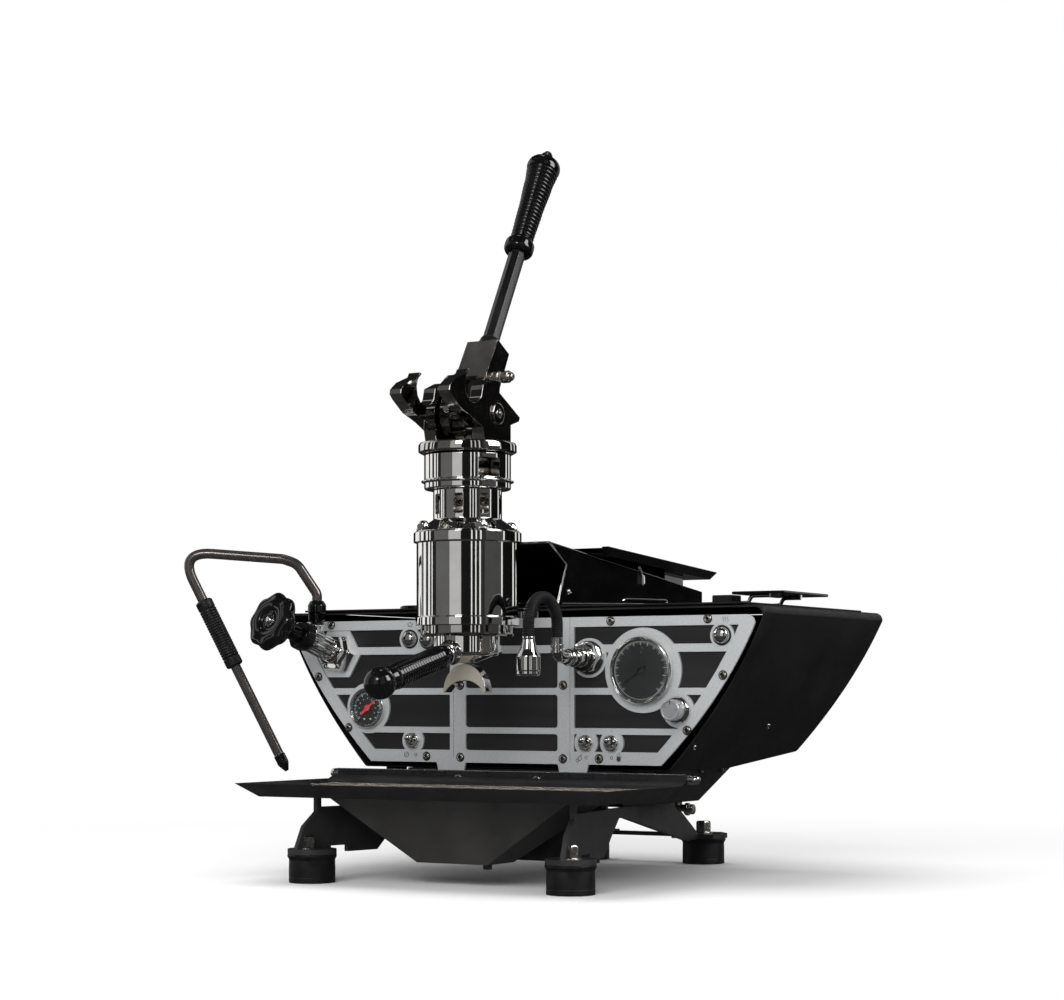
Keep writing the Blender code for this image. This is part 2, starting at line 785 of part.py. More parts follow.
def body_shell():
    """Bent hull shell, open at the front and under the deck, its tail drawn in."""
    hull = hull_prism("body_shell", HULL_BORDER, PANEL_FRONT_Y, HULL_DEPTH, black_coat())
    tail = extruded("hull_tail_cut", [
        (HULL_TAIL_START, HULL_BOTTOM),
        (HULL_DEPTH - HULL_REAR_SLANT, HULL_BOTTOM + HULL_TAIL_RISE),
        (HULL_DEPTH, HULL_TOP),
        (HULL_DEPTH + OVERRUN, HULL_TOP + OVERRUN),
        (HULL_DEPTH + OVERRUN, HULL_BOTTOM - OVERRUN),
        (HULL_TAIL_START, HULL_BOTTOM - OVERRUN),
    ], 4 * SHIELD_TOP_HALF, turn=FACING_SIDE, helper=True)
    hollow = hull_prism("hull_hollow", HULL_BORDER - HULL_WALL, -OVERRUN, HULL_DEPTH, helper=True)
    hollow_tail = extruded("hull_hollow_tail", [
        (HULL_TAIL_START, HULL_BOTTOM + HULL_WALL),
        (HULL_DEPTH - HULL_REAR_SLANT - HULL_WALL, HULL_BOTTOM + HULL_WALL + HULL_TAIL_RISE),
        (HULL_DEPTH - HULL_WALL, HULL_TOP),
        (HULL_DEPTH + OVERRUN, HULL_TOP + OVERRUN),
        (HULL_DEPTH + OVERRUN, HULL_BOTTOM - OVERRUN),
        (HULL_TAIL_START, HULL_BOTTOM - OVERRUN),
    ], 4 * SHIELD_TOP_HALF, turn=FACING_SIDE, helper=True)
    cut(hollow, hollow_tail)
    opening = box("hull_deck_opening", (-DECK_OPENING_HALF, DECK_LIP, HULL_TOP - 2 * OVERRUN),
                  (DECK_OPENING_HALF, HULL_DEPTH - 2 * DECK_LIP, HULL_TOP + OVERRUN), helper=True)
    cut(hull, tail, hollow, opening)


def top_deck():
    reach = DECK_OPENING_HALF + DECK_LIP
    deck = box("top_deck", (-reach, PANEL_FRONT_Y, HULL_TOP + GAP), (reach, HULL_DEPTH - DECK_LIP, DECK_TOP),
               black_coat())
    hole = box("deck_hole", (-DECK_HOLE_HALF, DECK_HOLE_FRONT, HULL_TOP - OVERRUN),
               (DECK_HOLE_HALF, DECK_HOLE_REAR, DECK_TOP + OVERRUN), helper=True)
    cut(deck, hole)


def lower_body():
    """Open-topped keel under the hull."""
    top = HULL_BOTTOM - GAP

    def outline(wall, rise):
        return [
            (PANEL_FRONT_Y + wall, KEEL_BOTTOM + wall),
            (KEEL_REAR_FLAT, KEEL_BOTTOM + wall),
            (KEEL_DEPTH - wall, top + rise),
            (PANEL_FRONT_Y + wall, top + rise),
        ]

    keel = extruded("lower_body", outline(0, 0), 2 * KEEL_HALF, black_coat(), turn=FACING_SIDE)
    hollow = extruded("keel_hollow", outline(KEEL_WALL, OVERRUN), 2 * (KEEL_HALF - KEEL_WALL),
                      turn=FACING_SIDE, helper=True)
    cut(keel, hollow)


def leg_frame():
    """Welded frame: two slanted inverted-V plates, foot plates and two cross members."""
    front = Vector(FRONT_FOOT)
    rear = Vector(REAR_FOOT)
    length = (rear - front).length
    run = rear.y - front.y
    foot_top = FOOT_HEIGHT + GAP
    plate_top = foot_top + LEG_THICKNESS
    top = KEEL_BOTTOM - GAP
    half = FOOT_PLATE / 2
    keel_end = (KEEL_REAR_FLAT - front.y) * length / run
    apex = -front.y * length / run + half * 0.4
    low = foot_top + GAP
    rise = top - low
    rest_top = TRAY_TOP - TRAY_DEPTH - GAP
    rear_rest = (TRAY_REAR_Y - TRAY_INSET_REAR - TRAY_WALL - front.y) * length / run - TRAY_REST_LENGTH
    front_rest = half * 0.4 - TRAY_REST_LENGTH
    outline = [
        (-half * 0.9, low),
        (apex * 0.60, low),
        (apex * 0.72, low + rise * 0.35),
        (apex * 0.90, low + rise * 0.78),
        (apex, low + rise * 0.78),
        (length - half * 2.6, low),
        (length + half * 0.9, low),
        (length + half * 0.9, plate_top),
        (length - half, plate_top),
        (keel_end, top),
        (rear_rest + TRAY_REST_LENGTH, top),
        (rear_rest + TRAY_REST_LENGTH, rest_top),
        (rear_rest, rest_top),
        (rear_rest, top),
        (front_rest + TRAY_REST_LENGTH, top),
        (front_rest + TRAY_REST_LENGTH, rest_top),
        (front_rest, rest_top),
        (front_rest, low + rise * 0.90),
        (-half * 0.5, low + rise * 0.60),
        (-half * 0.9, plate_top),
    ]
    members = []
    for side in (1, -1):
        angle = math.atan2(run, side * (rear.x - front.x))
        members.append(extruded(f"leg_plate_{side}", outline, LEG_THICKNESS,
                                at=(side * front.x, front.y, 0),
                                turn=(math.pi / 2, 0, angle), helper=True))
        for x, y in (FRONT_FOOT, REAR_FOOT):
            members.append(box(f"foot_plate_{side}_{y}", (side * x - half, y - half, foot_top),
                               (side * x + half, y + half, plate_top + OVERRUN / 10), helper=True))
    shoulder = top - LEG_THICKNESS * 1.5
    side_x = front.x + (CROSS_PLATE_Y - front.y) * (rear.x - front.x) / run
    wide = side_x + LEG_THICKNESS / 4
    narrow = CROSS_PLATE_HALF
    outline = [
        (-narrow, CROSS_PLATE_BOTTOM), (narrow, CROSS_PLATE_BOTTOM),
        (narrow, shoulder), (wide, shoulder),
        (wide, top - GAP), (-wide, top - GAP),
        (-wide, shoulder), (-narrow, shoulder),
    ]
    cross = extruded("leg_frame", outline, LEG_THICKNESS, black_coat(),
                     (0, CROSS_PLATE_Y, 0), FACING_FRONT)
    rear_bar = box("rear_cross_bar", (-rear.x, rear.y - LEG_THICKNESS, low + GAP),
                   (rear.x, rear.y + LEG_THICKNESS, plate_top - GAP), helper=True)
    join(cross, *members, rear_bar)


def feet():
    radius = FOOT_RADIUS
    profile = [
        (0, FOOT_HEIGHT),
        (radius * 0.94, FOOT_HEIGHT),
        (radius, FOOT_HEIGHT * 0.86),
        (radius * 0.95, FOOT_HEIGHT * 0.45),
        (radius, FOOT_HEIGHT * 0.10),
        (radius * 0.96, 0),
        (0, 0),
    ]
    for side, label in ((-1, "left"), (1, "right")):
        for end, (x, y) in (("front", FRONT_FOOT), ("rear", REAR_FOOT)):
            turned(f"rubber_foot_{end}_{label}", profile, rubber(), (side * x, y, 0), steps=MEDIUM_STEPS)


def hood_top(y):
    share = (y - HOOD_FRONT_Y) / (HOOD_REAR_Y - HOOD_FRONT_Y)
    return HOOD_FRONT_TOP + (HOOD_REAR_TOP - HOOD_FRONT_TOP) * share


def hood_wedge(name, wall, overrun, material=None, helper=False):
    """Side view of the hood as a solid: sloping top, its front folded in below the brow."""
    base = DECK_TOP + GAP - overrun
    neck = DECK_TOP + (HOOD_FRONT_TOP - DECK_TOP) * HOOD_NECK_SHARE
    rear = HOOD_REAR_Y - wall
    outline = [
        (HOOD_FRONT_Y - 4 * overrun, hood_top(HOOD_FRONT_Y) - wall),
        (HOOD_NECK_Y - 4 * overrun, neck),
        (-4 * overrun, base),
        (rear, base),
        (rear, hood_top(rear) - wall),
    ]
    return extruded(name, outline, 2 * HOOD_REAR_HALF, material, turn=FACING_SIDE, helper=helper)


def hood():
    solid = hood_wedge("hood", 0, 0, gloss_black())
    hollow = hood_wedge("hood_hollow", HOOD_WALL, OVERRUN, helper=True)
    reach = HOOD_REAR_Y - HOOD_FRONT_Y
    for target, wall, label in ((solid, 0, "outer"), (hollow, HOOD_WALL, "inner")):
        for side in (1, -1):
            front_half = HOOD_FRONT_HALF - wall
            rear_half = HOOD_REAR_HALF - wall
            outline = [
                (side * (front_half - (rear_half - front_half) * 0.2), HOOD_FRONT_Y - reach * 0.2),
                (side * (rear_half + (rear_half - front_half) * 0.2), HOOD_REAR_Y + reach * 0.2),
                (side * rear_half * 2, HOOD_REAR_Y + reach * 0.2),
                (side * rear_half * 2, HOOD_FRONT_Y - reach * 0.2),
            ]
            side_cut = extruded(f"hood_side_{label}_{side}", outline, HOOD_FRONT_TOP * 3, helper=True)
            cut(target, side_cut)
    cut(solid, hollow)


def cup_shelf():
    """Shallow tilted tray on the hood, with a bracket under its overhanging rear."""
    slope = SHELF_DROP / (SHELF_REAR_Y - SHELF_FRONT_Y)
    tilt = math.atan(slope)
    length = (SHELF_REAR_Y - SHELF_FRONT_Y) / math.cos(tilt)
    origin = (0, SHELF_FRONT_Y, hood_top(SHELF_FRONT_Y) + GAP * 2)
    top = (SHELF_HALF, -SHELF_FLARE, length, SHELF_RIM)
    bottom = (SHELF_HALF - SHELF_FLARE, 0, length - SHELF_FLARE, 0)
    shelf = tapered_box("cup_shelf", top, bottom, gloss_black())
    shelf.location = origin
    shelf.rotation_euler = (-tilt, 0, 0)
    inner_top = (top[0] - SHELF_WALL, top[1] + SHELF_WALL, top[2] - SHELF_WALL, SHELF_RIM + OVERRUN)
    inner_bottom = (bottom[0] - SHELF_WALL, bottom[1] + SHELF_WALL, bottom[2] - SHELF_WALL, SHELF_WALL)
    hollow = tapered_box("shelf_hollow", inner_top, inner_bottom, helper=True)
    hollow.location = origin
    hollow.rotation_euler = (-tilt, 0, 0)
    rear = HOOD_REAR_Y - SHELF_FLARE
    front = rear - SHELF_BRACKET_LENGTH
    low = [hood_top(y) + GAP * 2 for y in (front, rear)]
    high = [origin[2] - slope * (y - SHELF_FRONT_Y) + SHELF_WALL / 2 for y in (front, rear)]
    bracket = extruded("shelf_bracket", [(front, low[0]), (rear, low[1]), (rear, high[1]), (front, high[0])],
                       2 * SHELF_BRACKET_HALF, turn=FACING_SIDE, helper=True)
    cut(shelf, hollow)
    join(shelf, bracket)


def cup_plate():
    """Small raised plate on two cranked rods at the right of the deck."""
    x = DECK_OPENING_HALF + DECK_LIP - CUP_PLATE_INSET
    y = CUP_PLATE_MIDDLE_Y
    half_x, half_y, thickness = (size / 2 for size in CUP_PLATE_SIZE)
    low = DECK_TOP + GAP + CUP_PLATE_LIFT
    plate = box("cup_plate", (x - half_x, y - half_y, low), (x + half_x, y + half_y, low + 2 * thickness),
                gloss_black())
    for end in (-1, 1):
        at = (x - half_x * 0.45, y + end * half_y * 0.7, 0)
        leg = rod(f"cup_plate_rod_{end}", CUP_ROD_RADIUS, DECK_TOP + GAP, low + thickness, at=at,
                  steps=SMALL_STEPS, helper=True)
        join(plate, leg)


def filler_cap():
    radius = FILLER_CAP_RADIUS
    height = FILLER_CAP_HEIGHT
    profile = [(0, height), (radius * 0.86, height), (radius, height * 0.5), (radius, 0), (0, 0)]
    turned("filler_cap", profile, gloss_black(), (*FILLER_CAP_CENTRE, DECK_TOP + GAP))


def boiler():
    """Lying boiler on two cradles, with a flat pad under the group's connection."""
    length = HULL_DEPTH - HULL_REAR_SLANT - BOILER_REAR_CLEARANCE - BOILER_FRONT_Y
    middle = length / 2
    radius = BOILER_RADIUS
    dish = radius * 0.25
    profile = [
        (0, middle),
        (radius * 0.6, middle - dish * 0.25),
        (radius, middle - dish),
        (radius, dish - middle),
        (radius * 0.6, dish * 0.25 - middle),
        (0, -middle),
    ]
    at = (0, BOILER_FRONT_Y + middle, BOILER_Z)
    tank = turned("boiler", profile, satin_steel(), at, FACING_FRONT)
    floor = HULL_BOTTOM + HULL_WALL + GAP
    pad_top = MOUNT_BOTTOM - 2 * DECK_THICKNESS - GAP - OVERRUN * 4
    pad = box("boiler_pad", (-BOILER_PAD_HALF, -BOILER_PAD_HALF, -radius / 2),
              (BOILER_PAD_HALF, BOILER_PAD_HALF, pad_top - BOILER_Z),
              at=(0, BOILER_FRONT_Y + BOILER_PAD_HALF + dish - OVERRUN * 3, BOILER_Z), helper=True)
    join(tank, pad)
    for index, share in enumerate(BOILER_CRADLE_SHARES):
        place_y = BOILER_FRONT_Y + length * share
        rise = 0
        if place_y + BOILER_CRADLE_LENGTH > HULL_TAIL_START:
            tail = HULL_DEPTH - HULL_REAR_SLANT - HULL_TAIL_START
            rise = HULL_TAIL_RISE * (place_y + BOILER_CRADLE_LENGTH - HULL_TAIL_START) / tail
        cradle = box(f"boiler_cradle_{index}", (-BOILER_CRADLE_HALF, place_y, floor + rise),
                     (BOILER_CRADLE_HALF, place_y + BOILER_CRADLE_LENGTH, BOILER_Z), helper=True)
        join(tank, cradle)


def group_mount():
    """Casting that carries the group: from the barrel's back down through the deck to the boiler."""
    pad_top = MOUNT_BOTTOM - 2 * DECK_THICKNESS - OVERRUN * 4
    outline = [
        (MOUNT_FRONT_Y, MOUNT_TOP),
        (MOUNT_FRONT_Y, DECK_TOP + GAP * 4),
        (DECK_HOLE_FRONT + GAP * 2, DECK_TOP + GAP * 4),
        (DECK_HOLE_FRONT + GAP * 2, pad_top),
        (MOUNT_REAR_Y, pad_top),
        (MOUNT_REAR_Y, MOUNT_TOP - BARREL_FOOT_HEIGHT * 2),
        (MOUNT_REAR_Y - BARREL_FOOT_HEIGHT * 2, MOUNT_TOP),
    ]
    mount = extruded("group_mount", outline, 2 * MOUNT_HALF, chrome(), turn=FACING_SIDE)
    clear = rod("mount_barrel_cut", BARREL_RADIUS + GAP, BARREL_BOTTOM + BARREL_FOOT_HEIGHT, BARREL_TOP,
                at=(0, GROUP_Y, 0), steps=FINE_STEPS, helper=True)
    cut(mount, clear)


def group_barrel():
    foot_top = BARREL_BOTTOM + BARREL_FOOT_HEIGHT
    head_bottom = BARREL_TOP - BARREL_HEAD_HEIGHT
    profile = [
        (BARREL_HEAD_RADIUS, BARREL_TOP),
        (BARREL_HEAD_RADIUS, head_bottom),
        (BARREL_RADIUS, head_bottom),
        (BARREL_RADIUS, foot_top),
        (BARREL_FOOT_RADIUS, foot_top),
        (BARREL_FOOT_RADIUS, BARREL_BOTTOM),
        (BORE_RADIUS, BARREL_BOTTOM),
        (BORE_RADIUS, BARREL_TOP),
    ]
    turned("group_barrel", profile, chrome(), (0, GROUP_Y, 0), steps=FINE_STEPS)


def group_sleeve():
    cone_top = SLEEVE_BOTTOM + CONE_HEIGHT
    profile = [
        (SLEEVE_RADIUS, SLEEVE_TOP),
        (SLEEVE_RADIUS, cone_top),
        (CONE_RADIUS, SLEEVE_BOTTOM + CONE_HEIGHT * 0.25),
        (CONE_RADIUS, SLEEVE_BOTTOM),
        (SLEEVE_BORE, SLEEVE_BOTTOM),
        (SLEEVE_BORE, SLEEVE_TOP),
    ]
    sleeve = turned("group_sleeve", profile, chrome(), (0, GROUP_Y, 0), steps=FINE_STEPS)
    half = SLEEVE_WINDOW_WIDTH / 2
    for index in range(SLEEVE_WINDOWS // 2):
        window = box(f"sleeve_window_{index}",
                     (-half, -2 * SLEEVE_RADIUS, cone_top + SLEEVE_WINDOW_MARGIN),
                     (half, 2 * SLEEVE_RADIUS, SLEEVE_TOP - SLEEVE_WINDOW_MARGIN),
                     at=(0, GROUP_Y, 0), turn=(0, 0, math.tau * (index + 0.35) / SLEEVE_WINDOWS), helper=True)
        cut(sleeve, window)


def group_collar():
    ring_low = COLLAR_BOTTOM + COLLAR_BAND_HEIGHT
    ring_high = ring_low + COLLAR_RING_HEIGHT
    profile = [
        (COLLAR_RADIUS, COLLAR_TOP),
        (COLLAR_RADIUS, ring_high),
        (COLLAR_RING_RADIUS, ring_high - COLLAR_RING_HEIGHT / 4),
        (COLLAR_RING_RADIUS, ring_low + COLLAR_RING_HEIGHT / 4),
        (COLLAR_RADIUS, ring_low),
        (COLLAR_RADIUS, COLLAR_BOTTOM),
        (SLEEVE_BORE, COLLAR_BOTTOM),
        (SLEEVE_BORE, COLLAR_TOP),
    ]
    collar = turned("group_collar", profile, chrome(), (0, GROUP_Y, 0), steps=FINE_STEPS)
    half = COLLAR_WINDOW_WIDTH / 2
    window = box("collar_window", (-half, 0, ring_high + COLLAR_WINDOW_MARGIN),
                 (half, 2 * COLLAR_RADIUS, COLLAR_TOP - COLLAR_WINDOW_MARGIN),
                 at=(0, GROUP_Y, 0), turn=(0, 0, -math.radians(180 - COLLAR_WINDOW_TURN)), helper=True)
    cut(collar, window)


def cheek_outline():
    """Side view of a cheek as (Y from the group's axis, Z): nose, hook, round notch and rear spur."""
    floor = HEAD_RING_TOP - OVERRUN
    foot_front, foot_rear = (share * CHEEK_REACH for share in CHEEK_FOOT_SHARES)
    front = [(y * CHEEK_REACH, PIVOT_Z + z * CHEEK_REACH) for y, z in CHEEK_FRONT_SHARES]
    rear = [(y * CHEEK_REACH, PIVOT_Z + z * CHEEK_REACH) for y, z in CHEEK_REAR_SHARES]
    notch = arc((-NOTCH_FORWARD, PIVOT_Z + NOTCH_RISE), NOTCH_RADIUS, 115, 360, NOTCH_STEPS)
    return [(foot_front, floor), *front, *notch, *rear, (foot_rear, floor)]


def head_fork():
    """Head casting: a base ring with two cheeks that carry the lever."""
    profile = [
        (0, HEAD_RING_TOP),
        (HEAD_RING_RADIUS * 0.97, HEAD_RING_TOP),
        (HEAD_RING_RADIUS, HEAD_RING_TOP - HEAD_RING_HEIGHT * 0.2),
        (HEAD_RING_RADIUS, HEAD_BOTTOM + HEAD_RING_HEIGHT * 0.25),
        (COLLAR_RADIUS, HEAD_BOTTOM),
        (0, HEAD_BOTTOM),
    ]
    head = turned("head_fork", profile, black_chrome(), (0, GROUP_Y, 0), steps=FINE_STEPS)
    for side in (1, -1):
        cheek = extruded(f"cheek_{side}", cheek_outline(), CHEEK_THICKNESS,
                         at=(side * (CHEEK_INNER + CHEEK_THICKNESS / 2), GROUP_Y, 0),
                         turn=FACING_SIDE, helper=True)
        join(head, cheek)
    pin_hole = rod("head_pin_hole", PIVOT_PIN_RADIUS + GAP, -2 * CHEEK_OUTER, 2 * CHEEK_OUTER,
                   at=(0, GROUP_Y, PIVOT_Z), turn=(0, math.pi / 2, 0), steps=SMALL_STEPS, helper=True)
    slack = RUNNING_GAP * 2
    slot = box("head_yoke_slot", (-YOKE_HALF - slack, -ROD_RADIUS - slack, HEAD_BOTTOM - OVERRUN),
               (YOKE_HALF + slack, YOKE_BACK + slack, HEAD_RING_TOP + OVERRUN),
               at=(0, GROUP_Y, 0), helper=True)
    cut(head, pin_hole, slot)


LEAN = math.radians(LEVER_LEAN)
LEVER_TURN = (-LEAN, 0, 0)
PIVOT = (0, GROUP_Y, PIVOT_Z)


def lever_knuckle():
    """Forged lower end of the lever: two webs round the pivot, a bridge above and the crank pin."""
    side = arc((0, 0), WEB_RADIUS, 150, 390, 16)
    outline = side + [
        (KNUCKLE_NECK_HALF, SLOT_TOP),
        (KNUCKLE_TOP_HALF, KNUCKLE_TOP),
        (-KNUCKLE_TOP_HALF, KNUCKLE_TOP),
        (-KNUCKLE_NECK_HALF, SLOT_TOP),
    ]
    knuckle = extruded("lever_knuckle", outline, 2 * WEB_OUTER, black_chrome(), PIVOT,
                       (math.pi / 2 - LEAN, 0, 0))
    knuckle.rotation_euler = (Matrix.Rotation(-LEAN, 3, "X") @ Matrix.Rotation(math.pi / 2, 3, "Z")
                              @ Matrix.Rotation(math.pi / 2, 3, "X")).to_euler()
    slot = box("knuckle_slot", (-SLOT_HALF, -2 * WEB_RADIUS, -2 * WEB_RADIUS),
               (SLOT_HALF, 2 * WEB_RADIUS, SLOT_TOP), at=PIVOT, turn=LEVER_TURN, helper=True)
    cut(knuckle, slot)
    along_x = (0, math.pi / 2, 0)
    bore = rod("knuckle_bore", PIVOT_PIN_RADIUS + GAP, -2 * WEB_OUTER, 2 * WEB_OUTER, at=PIVOT,
               turn=along_x, steps=SMALL_STEPS, helper=True)
    roller_at = (0, GROUP_Y + ROLLER_PIN_AT * math.sin(LEAN), PIVOT_Z + ROLLER_PIN_AT * math.cos(LEAN))
    roller_bore = rod("knuckle_roller_bore", ROLLER_PIN_RADIUS + GAP, -2 * WEB_OUTER, 2 * WEB_OUTER,
                      at=roller_at, turn=along_x, steps=SMALL_STEPS, helper=True)
    cut(knuckle, bore, roller_bore)
    angle = math.radians(-LEVER_SWING / 2)
    crank_at = (0, GROUP_Y + CRANK_RADIUS * math.cos(angle), PIVOT_Z + CRANK_RADIUS * math.sin(angle))
    middle = (SLOT_HALF + WEB_OUTER) / 2
    crank = rod("knuckle_crank_pin", CRANK_PIN_RADIUS, -middle, middle, at=crank_at, turn=along_x,
                steps=SMALL_STEPS, helper=True)
    join(knuckle, crank)


def lever_bar():
    """Faceted bar; its thin end runs up through the grip to a domed nut."""
    nut = GRIP_END + GAP
    core = BAR_CORE
    profile = [
        (0, nut + END_NUT_HEIGHT),
        (END_NUT_RADIUS * 0.6, nut + END_NUT_HEIGHT * 0.85),
        (END_NUT_RADIUS, nut + END_NUT_HEIGHT * 0.4),
        (END_NUT_RADIUS, nut),
        (core, nut),
        (core, BAR_END),
        (BAR_HALF, BAR_END),
        (BAR_HALF, KNUCKLE_TOP + GAP),
        (0, KNUCKLE_TOP + GAP),
    ]
    bar = turned("lever_bar", profile, black_chrome(), PIVOT, LEVER_TURN, steps=8)
    bar.modifiers["turn"].use_smooth_shade = False


def lever_grip():
    core = BAR_CORE + GAP
    length = GRIP_END - GRIP_START
    rib_high = GRIP_END - length * 0.16
    rib_low = GRIP_START + length * 0.12

    def valley(share):
        return GRIP_BULGE * 0.80 + (GRIP_WAIST * 0.90 - GRIP_BULGE * 0.80) * share

    def crest(share):
        return GRIP_BULGE * 0.94 + (GRIP_WAIST * 1.06 - GRIP_BULGE * 0.94) * share

    profile = [
        (core, GRIP_END),
        (GRIP_BULGE * 0.62, GRIP_END),
        (GRIP_BULGE, GRIP_END - length * 0.06),
        (GRIP_BULGE, GRIP_END - length * 0.12),
        *ribbed(rib_high, rib_low, valley, crest, GRIP_RIBS),
        (GRIP_FLANGE, GRIP_START + length * 0.085),
        (GRIP_FLANGE, GRIP_START + length * 0.02),
        (GRIP_FLANGE * 0.85, GRIP_START),
        (core, GRIP_START),
    ]
    turned("lever_grip", profile, gloss_black(), PIVOT, LEVER_TURN, steps=MEDIUM_STEPS)


def pivot_pin():
    """Main pin through both cheeks, with a washer head at each end."""
    outer = CHEEK_OUTER + GAP
    half = [
        (0, outer + PIVOT_PIN_HEAD_LENGTH),
        (PIVOT_PIN_HEAD * 0.55, outer + PIVOT_PIN_HEAD_LENGTH),
        (PIVOT_PIN_HEAD, outer + PIVOT_PIN_HEAD_LENGTH * 0.5),
        (PIVOT_PIN_HEAD, outer),
        (PIVOT_PIN_RADIUS, outer),
    ]
    profile = half + [(radius, -z) for radius, z in reversed(half)]
    turned("pivot_pin", profile, satin_steel(), PIVOT, (0, math.pi / 2, 0), steps=SMALL_STEPS)


def roller_pin():
    """Pin through the lever with a roller end on each side, which lands in the cheeks' notches."""
    at = (0, GROUP_Y + ROLLER_PIN_AT * math.sin(LEAN), PIVOT_Z + ROLLER_PIN_AT * math.cos(LEAN))
    inner = WEB_OUTER + GAP
    half = [
        (0, ROLLER_REACH),
        (ROLLER_RADIUS * 0.6, ROLLER_REACH - ROLLER_RADIUS * 0.15),
        (ROLLER_RADIUS, ROLLER_REACH - ROLLER_RADIUS * 0.6),
        (ROLLER_RADIUS, inner),
        (ROLLER_PIN_RADIUS, inner),
    ]
    profile = half + [(radius, -z) for radius, z in reversed(half)]
    turned("roller_pin", profile, satin_steel(), at, (0, math.pi / 2, 0), steps=SMALL_STEPS)


def piston_rod():
    """Piston with its rod and the offset yoke that the lever's crank pin lifts."""
    head_top = PISTON_BOTTOM + PISTON_HEIGHT
    groove = PISTON_RADIUS - SEAL_GROOVE
    third = PISTON_HEIGHT / 3
    yoke_low = COLLAR_TOP + 2 * GAP
    profile = [
        (0, yoke_low + YOKE_BASE_HEIGHT / 2),
        (ROD_RADIUS * 0.8, yoke_low + YOKE_BASE_HEIGHT / 2),
        (ROD_RADIUS * 0.8, head_top),
        (PISTON_RADIUS, head_top),
        (PISTON_RADIUS, head_top - third),
        (groove, head_top - third),
        (groove, PISTON_BOTTOM + third),
        (PISTON_RADIUS, PISTON_BOTTOM + third),
        (PISTON_RADIUS, PISTON_BOTTOM),
        (0, PISTON_BOTTOM),
    ]
    rod_obj = turned("piston_rod", profile, satin_steel(), (0, GROUP_Y, 0), steps=MEDIUM_STEPS)
    crank_z = PIVOT_Z - CRANK_RADIUS * math.sin(math.radians(LEVER_SWING / 2))
    play = CRANK_PIN_RADIUS + YOKE_PLAY
    base_top = yoke_low + YOKE_BASE_HEIGHT
    spine = YOKE_BACK - YOKE_SPINE
    outline = [
        (-ROD_RADIUS, yoke_low),
        (YOKE_BACK, yoke_low),
        (YOKE_BACK, crank_z + play + YOKE_TOP_HEIGHT),
        (YOKE_JAW, crank_z + play + YOKE_TOP_HEIGHT),
        (YOKE_JAW, crank_z + play),
        (spine, crank_z + play),
        (spine, crank_z - play),
        (YOKE_JAW, crank_z - play),
        (YOKE_JAW, base_top),
        (-ROD_RADIUS, base_top),
    ]
    yoke = extruded("piston_yoke", outline, 2 * YOKE_HALF, at=(0, GROUP_Y, 0), turn=FACING_SIDE,
                    helper=True)
    join(rod_obj, yoke)


def group_spring():
    """Main spring round the rod: one unbroken wire between the piston and the head."""
    low = PISTON_BOTTOM + PISTON_HEIGHT + SPRING_WIRE + 2 * GAP
    high = COLLAR_TOP - SPRING_WIRE - GAP
    count = SPRING_CURLS * SPRING_POINTS_PER_CURL
    points = []
    for index in range(count + 1):
        angle = math.tau * index / SPRING_POINTS_PER_CURL
        points.append((SPRING_RADIUS * math.cos(angle), SPRING_RADIUS * math.sin(angle),
                       low + (high - low) * index / count))
    tube("group_spring", points, SPRING_WIRE, satin_steel(), (0, GROUP_Y, 0), sides_step=1)
    least = min(
        (Vector(points[index + SPRING_POINTS_PER_CURL]) - Vector(points[index])).length
        for index in range(count + 1 - SPRING_POINTS_PER_CURL)
    )
    print(f"group_spring: least gap to itself {(least - 2 * SPRING_WIRE) * 1000:.2f} mm")


def bayonet_ring():
    """Ring under the barrel whose channel holds the portafilter's lugs."""
    top = BARREL_BOTTOM - GAP
    low = top - BAYONET_HEIGHT
    lip = low + BAYONET_LIP_HEIGHT
    profile = [
        (BAYONET_RADIUS, top),
        (BAYONET_RADIUS, low + BAYONET_LIP_HEIGHT / 2),
        (BAYONET_RADIUS - BAYONET_LIP_HEIGHT, low),
        (BAYONET_LIP_RADIUS, low),
        (BAYONET_LIP_RADIUS, lip),
        (BAYONET_CHANNEL_RADIUS, lip),
        (BAYONET_CHANNEL_RADIUS, top),
    ]
    ring = turned("bayonet_ring", profile, black_chrome(), (0, GROUP_Y, 0), steps=FINE_STEPS)
    half = BAYONET_MOUTH / 2
    mouth = box("bayonet_mouth", (-BAYONET_CHANNEL_RADIUS, -half, low - OVERRUN),
                (BAYONET_CHANNEL_RADIUS, half, lip + OVERRUN), at=(0, GROUP_Y, 0),
                turn=(0, 0, math.radians(-50)), helper=True)
    cut(ring, mouth)


def shower_screen():
    low = BARREL_BOTTOM + SCREEN_HEIGHT
    rod("shower_screen", BORE_RADIUS - GAP, low, low + SCREEN_HEIGHT, satin_steel(), (0, GROUP_Y, 0))


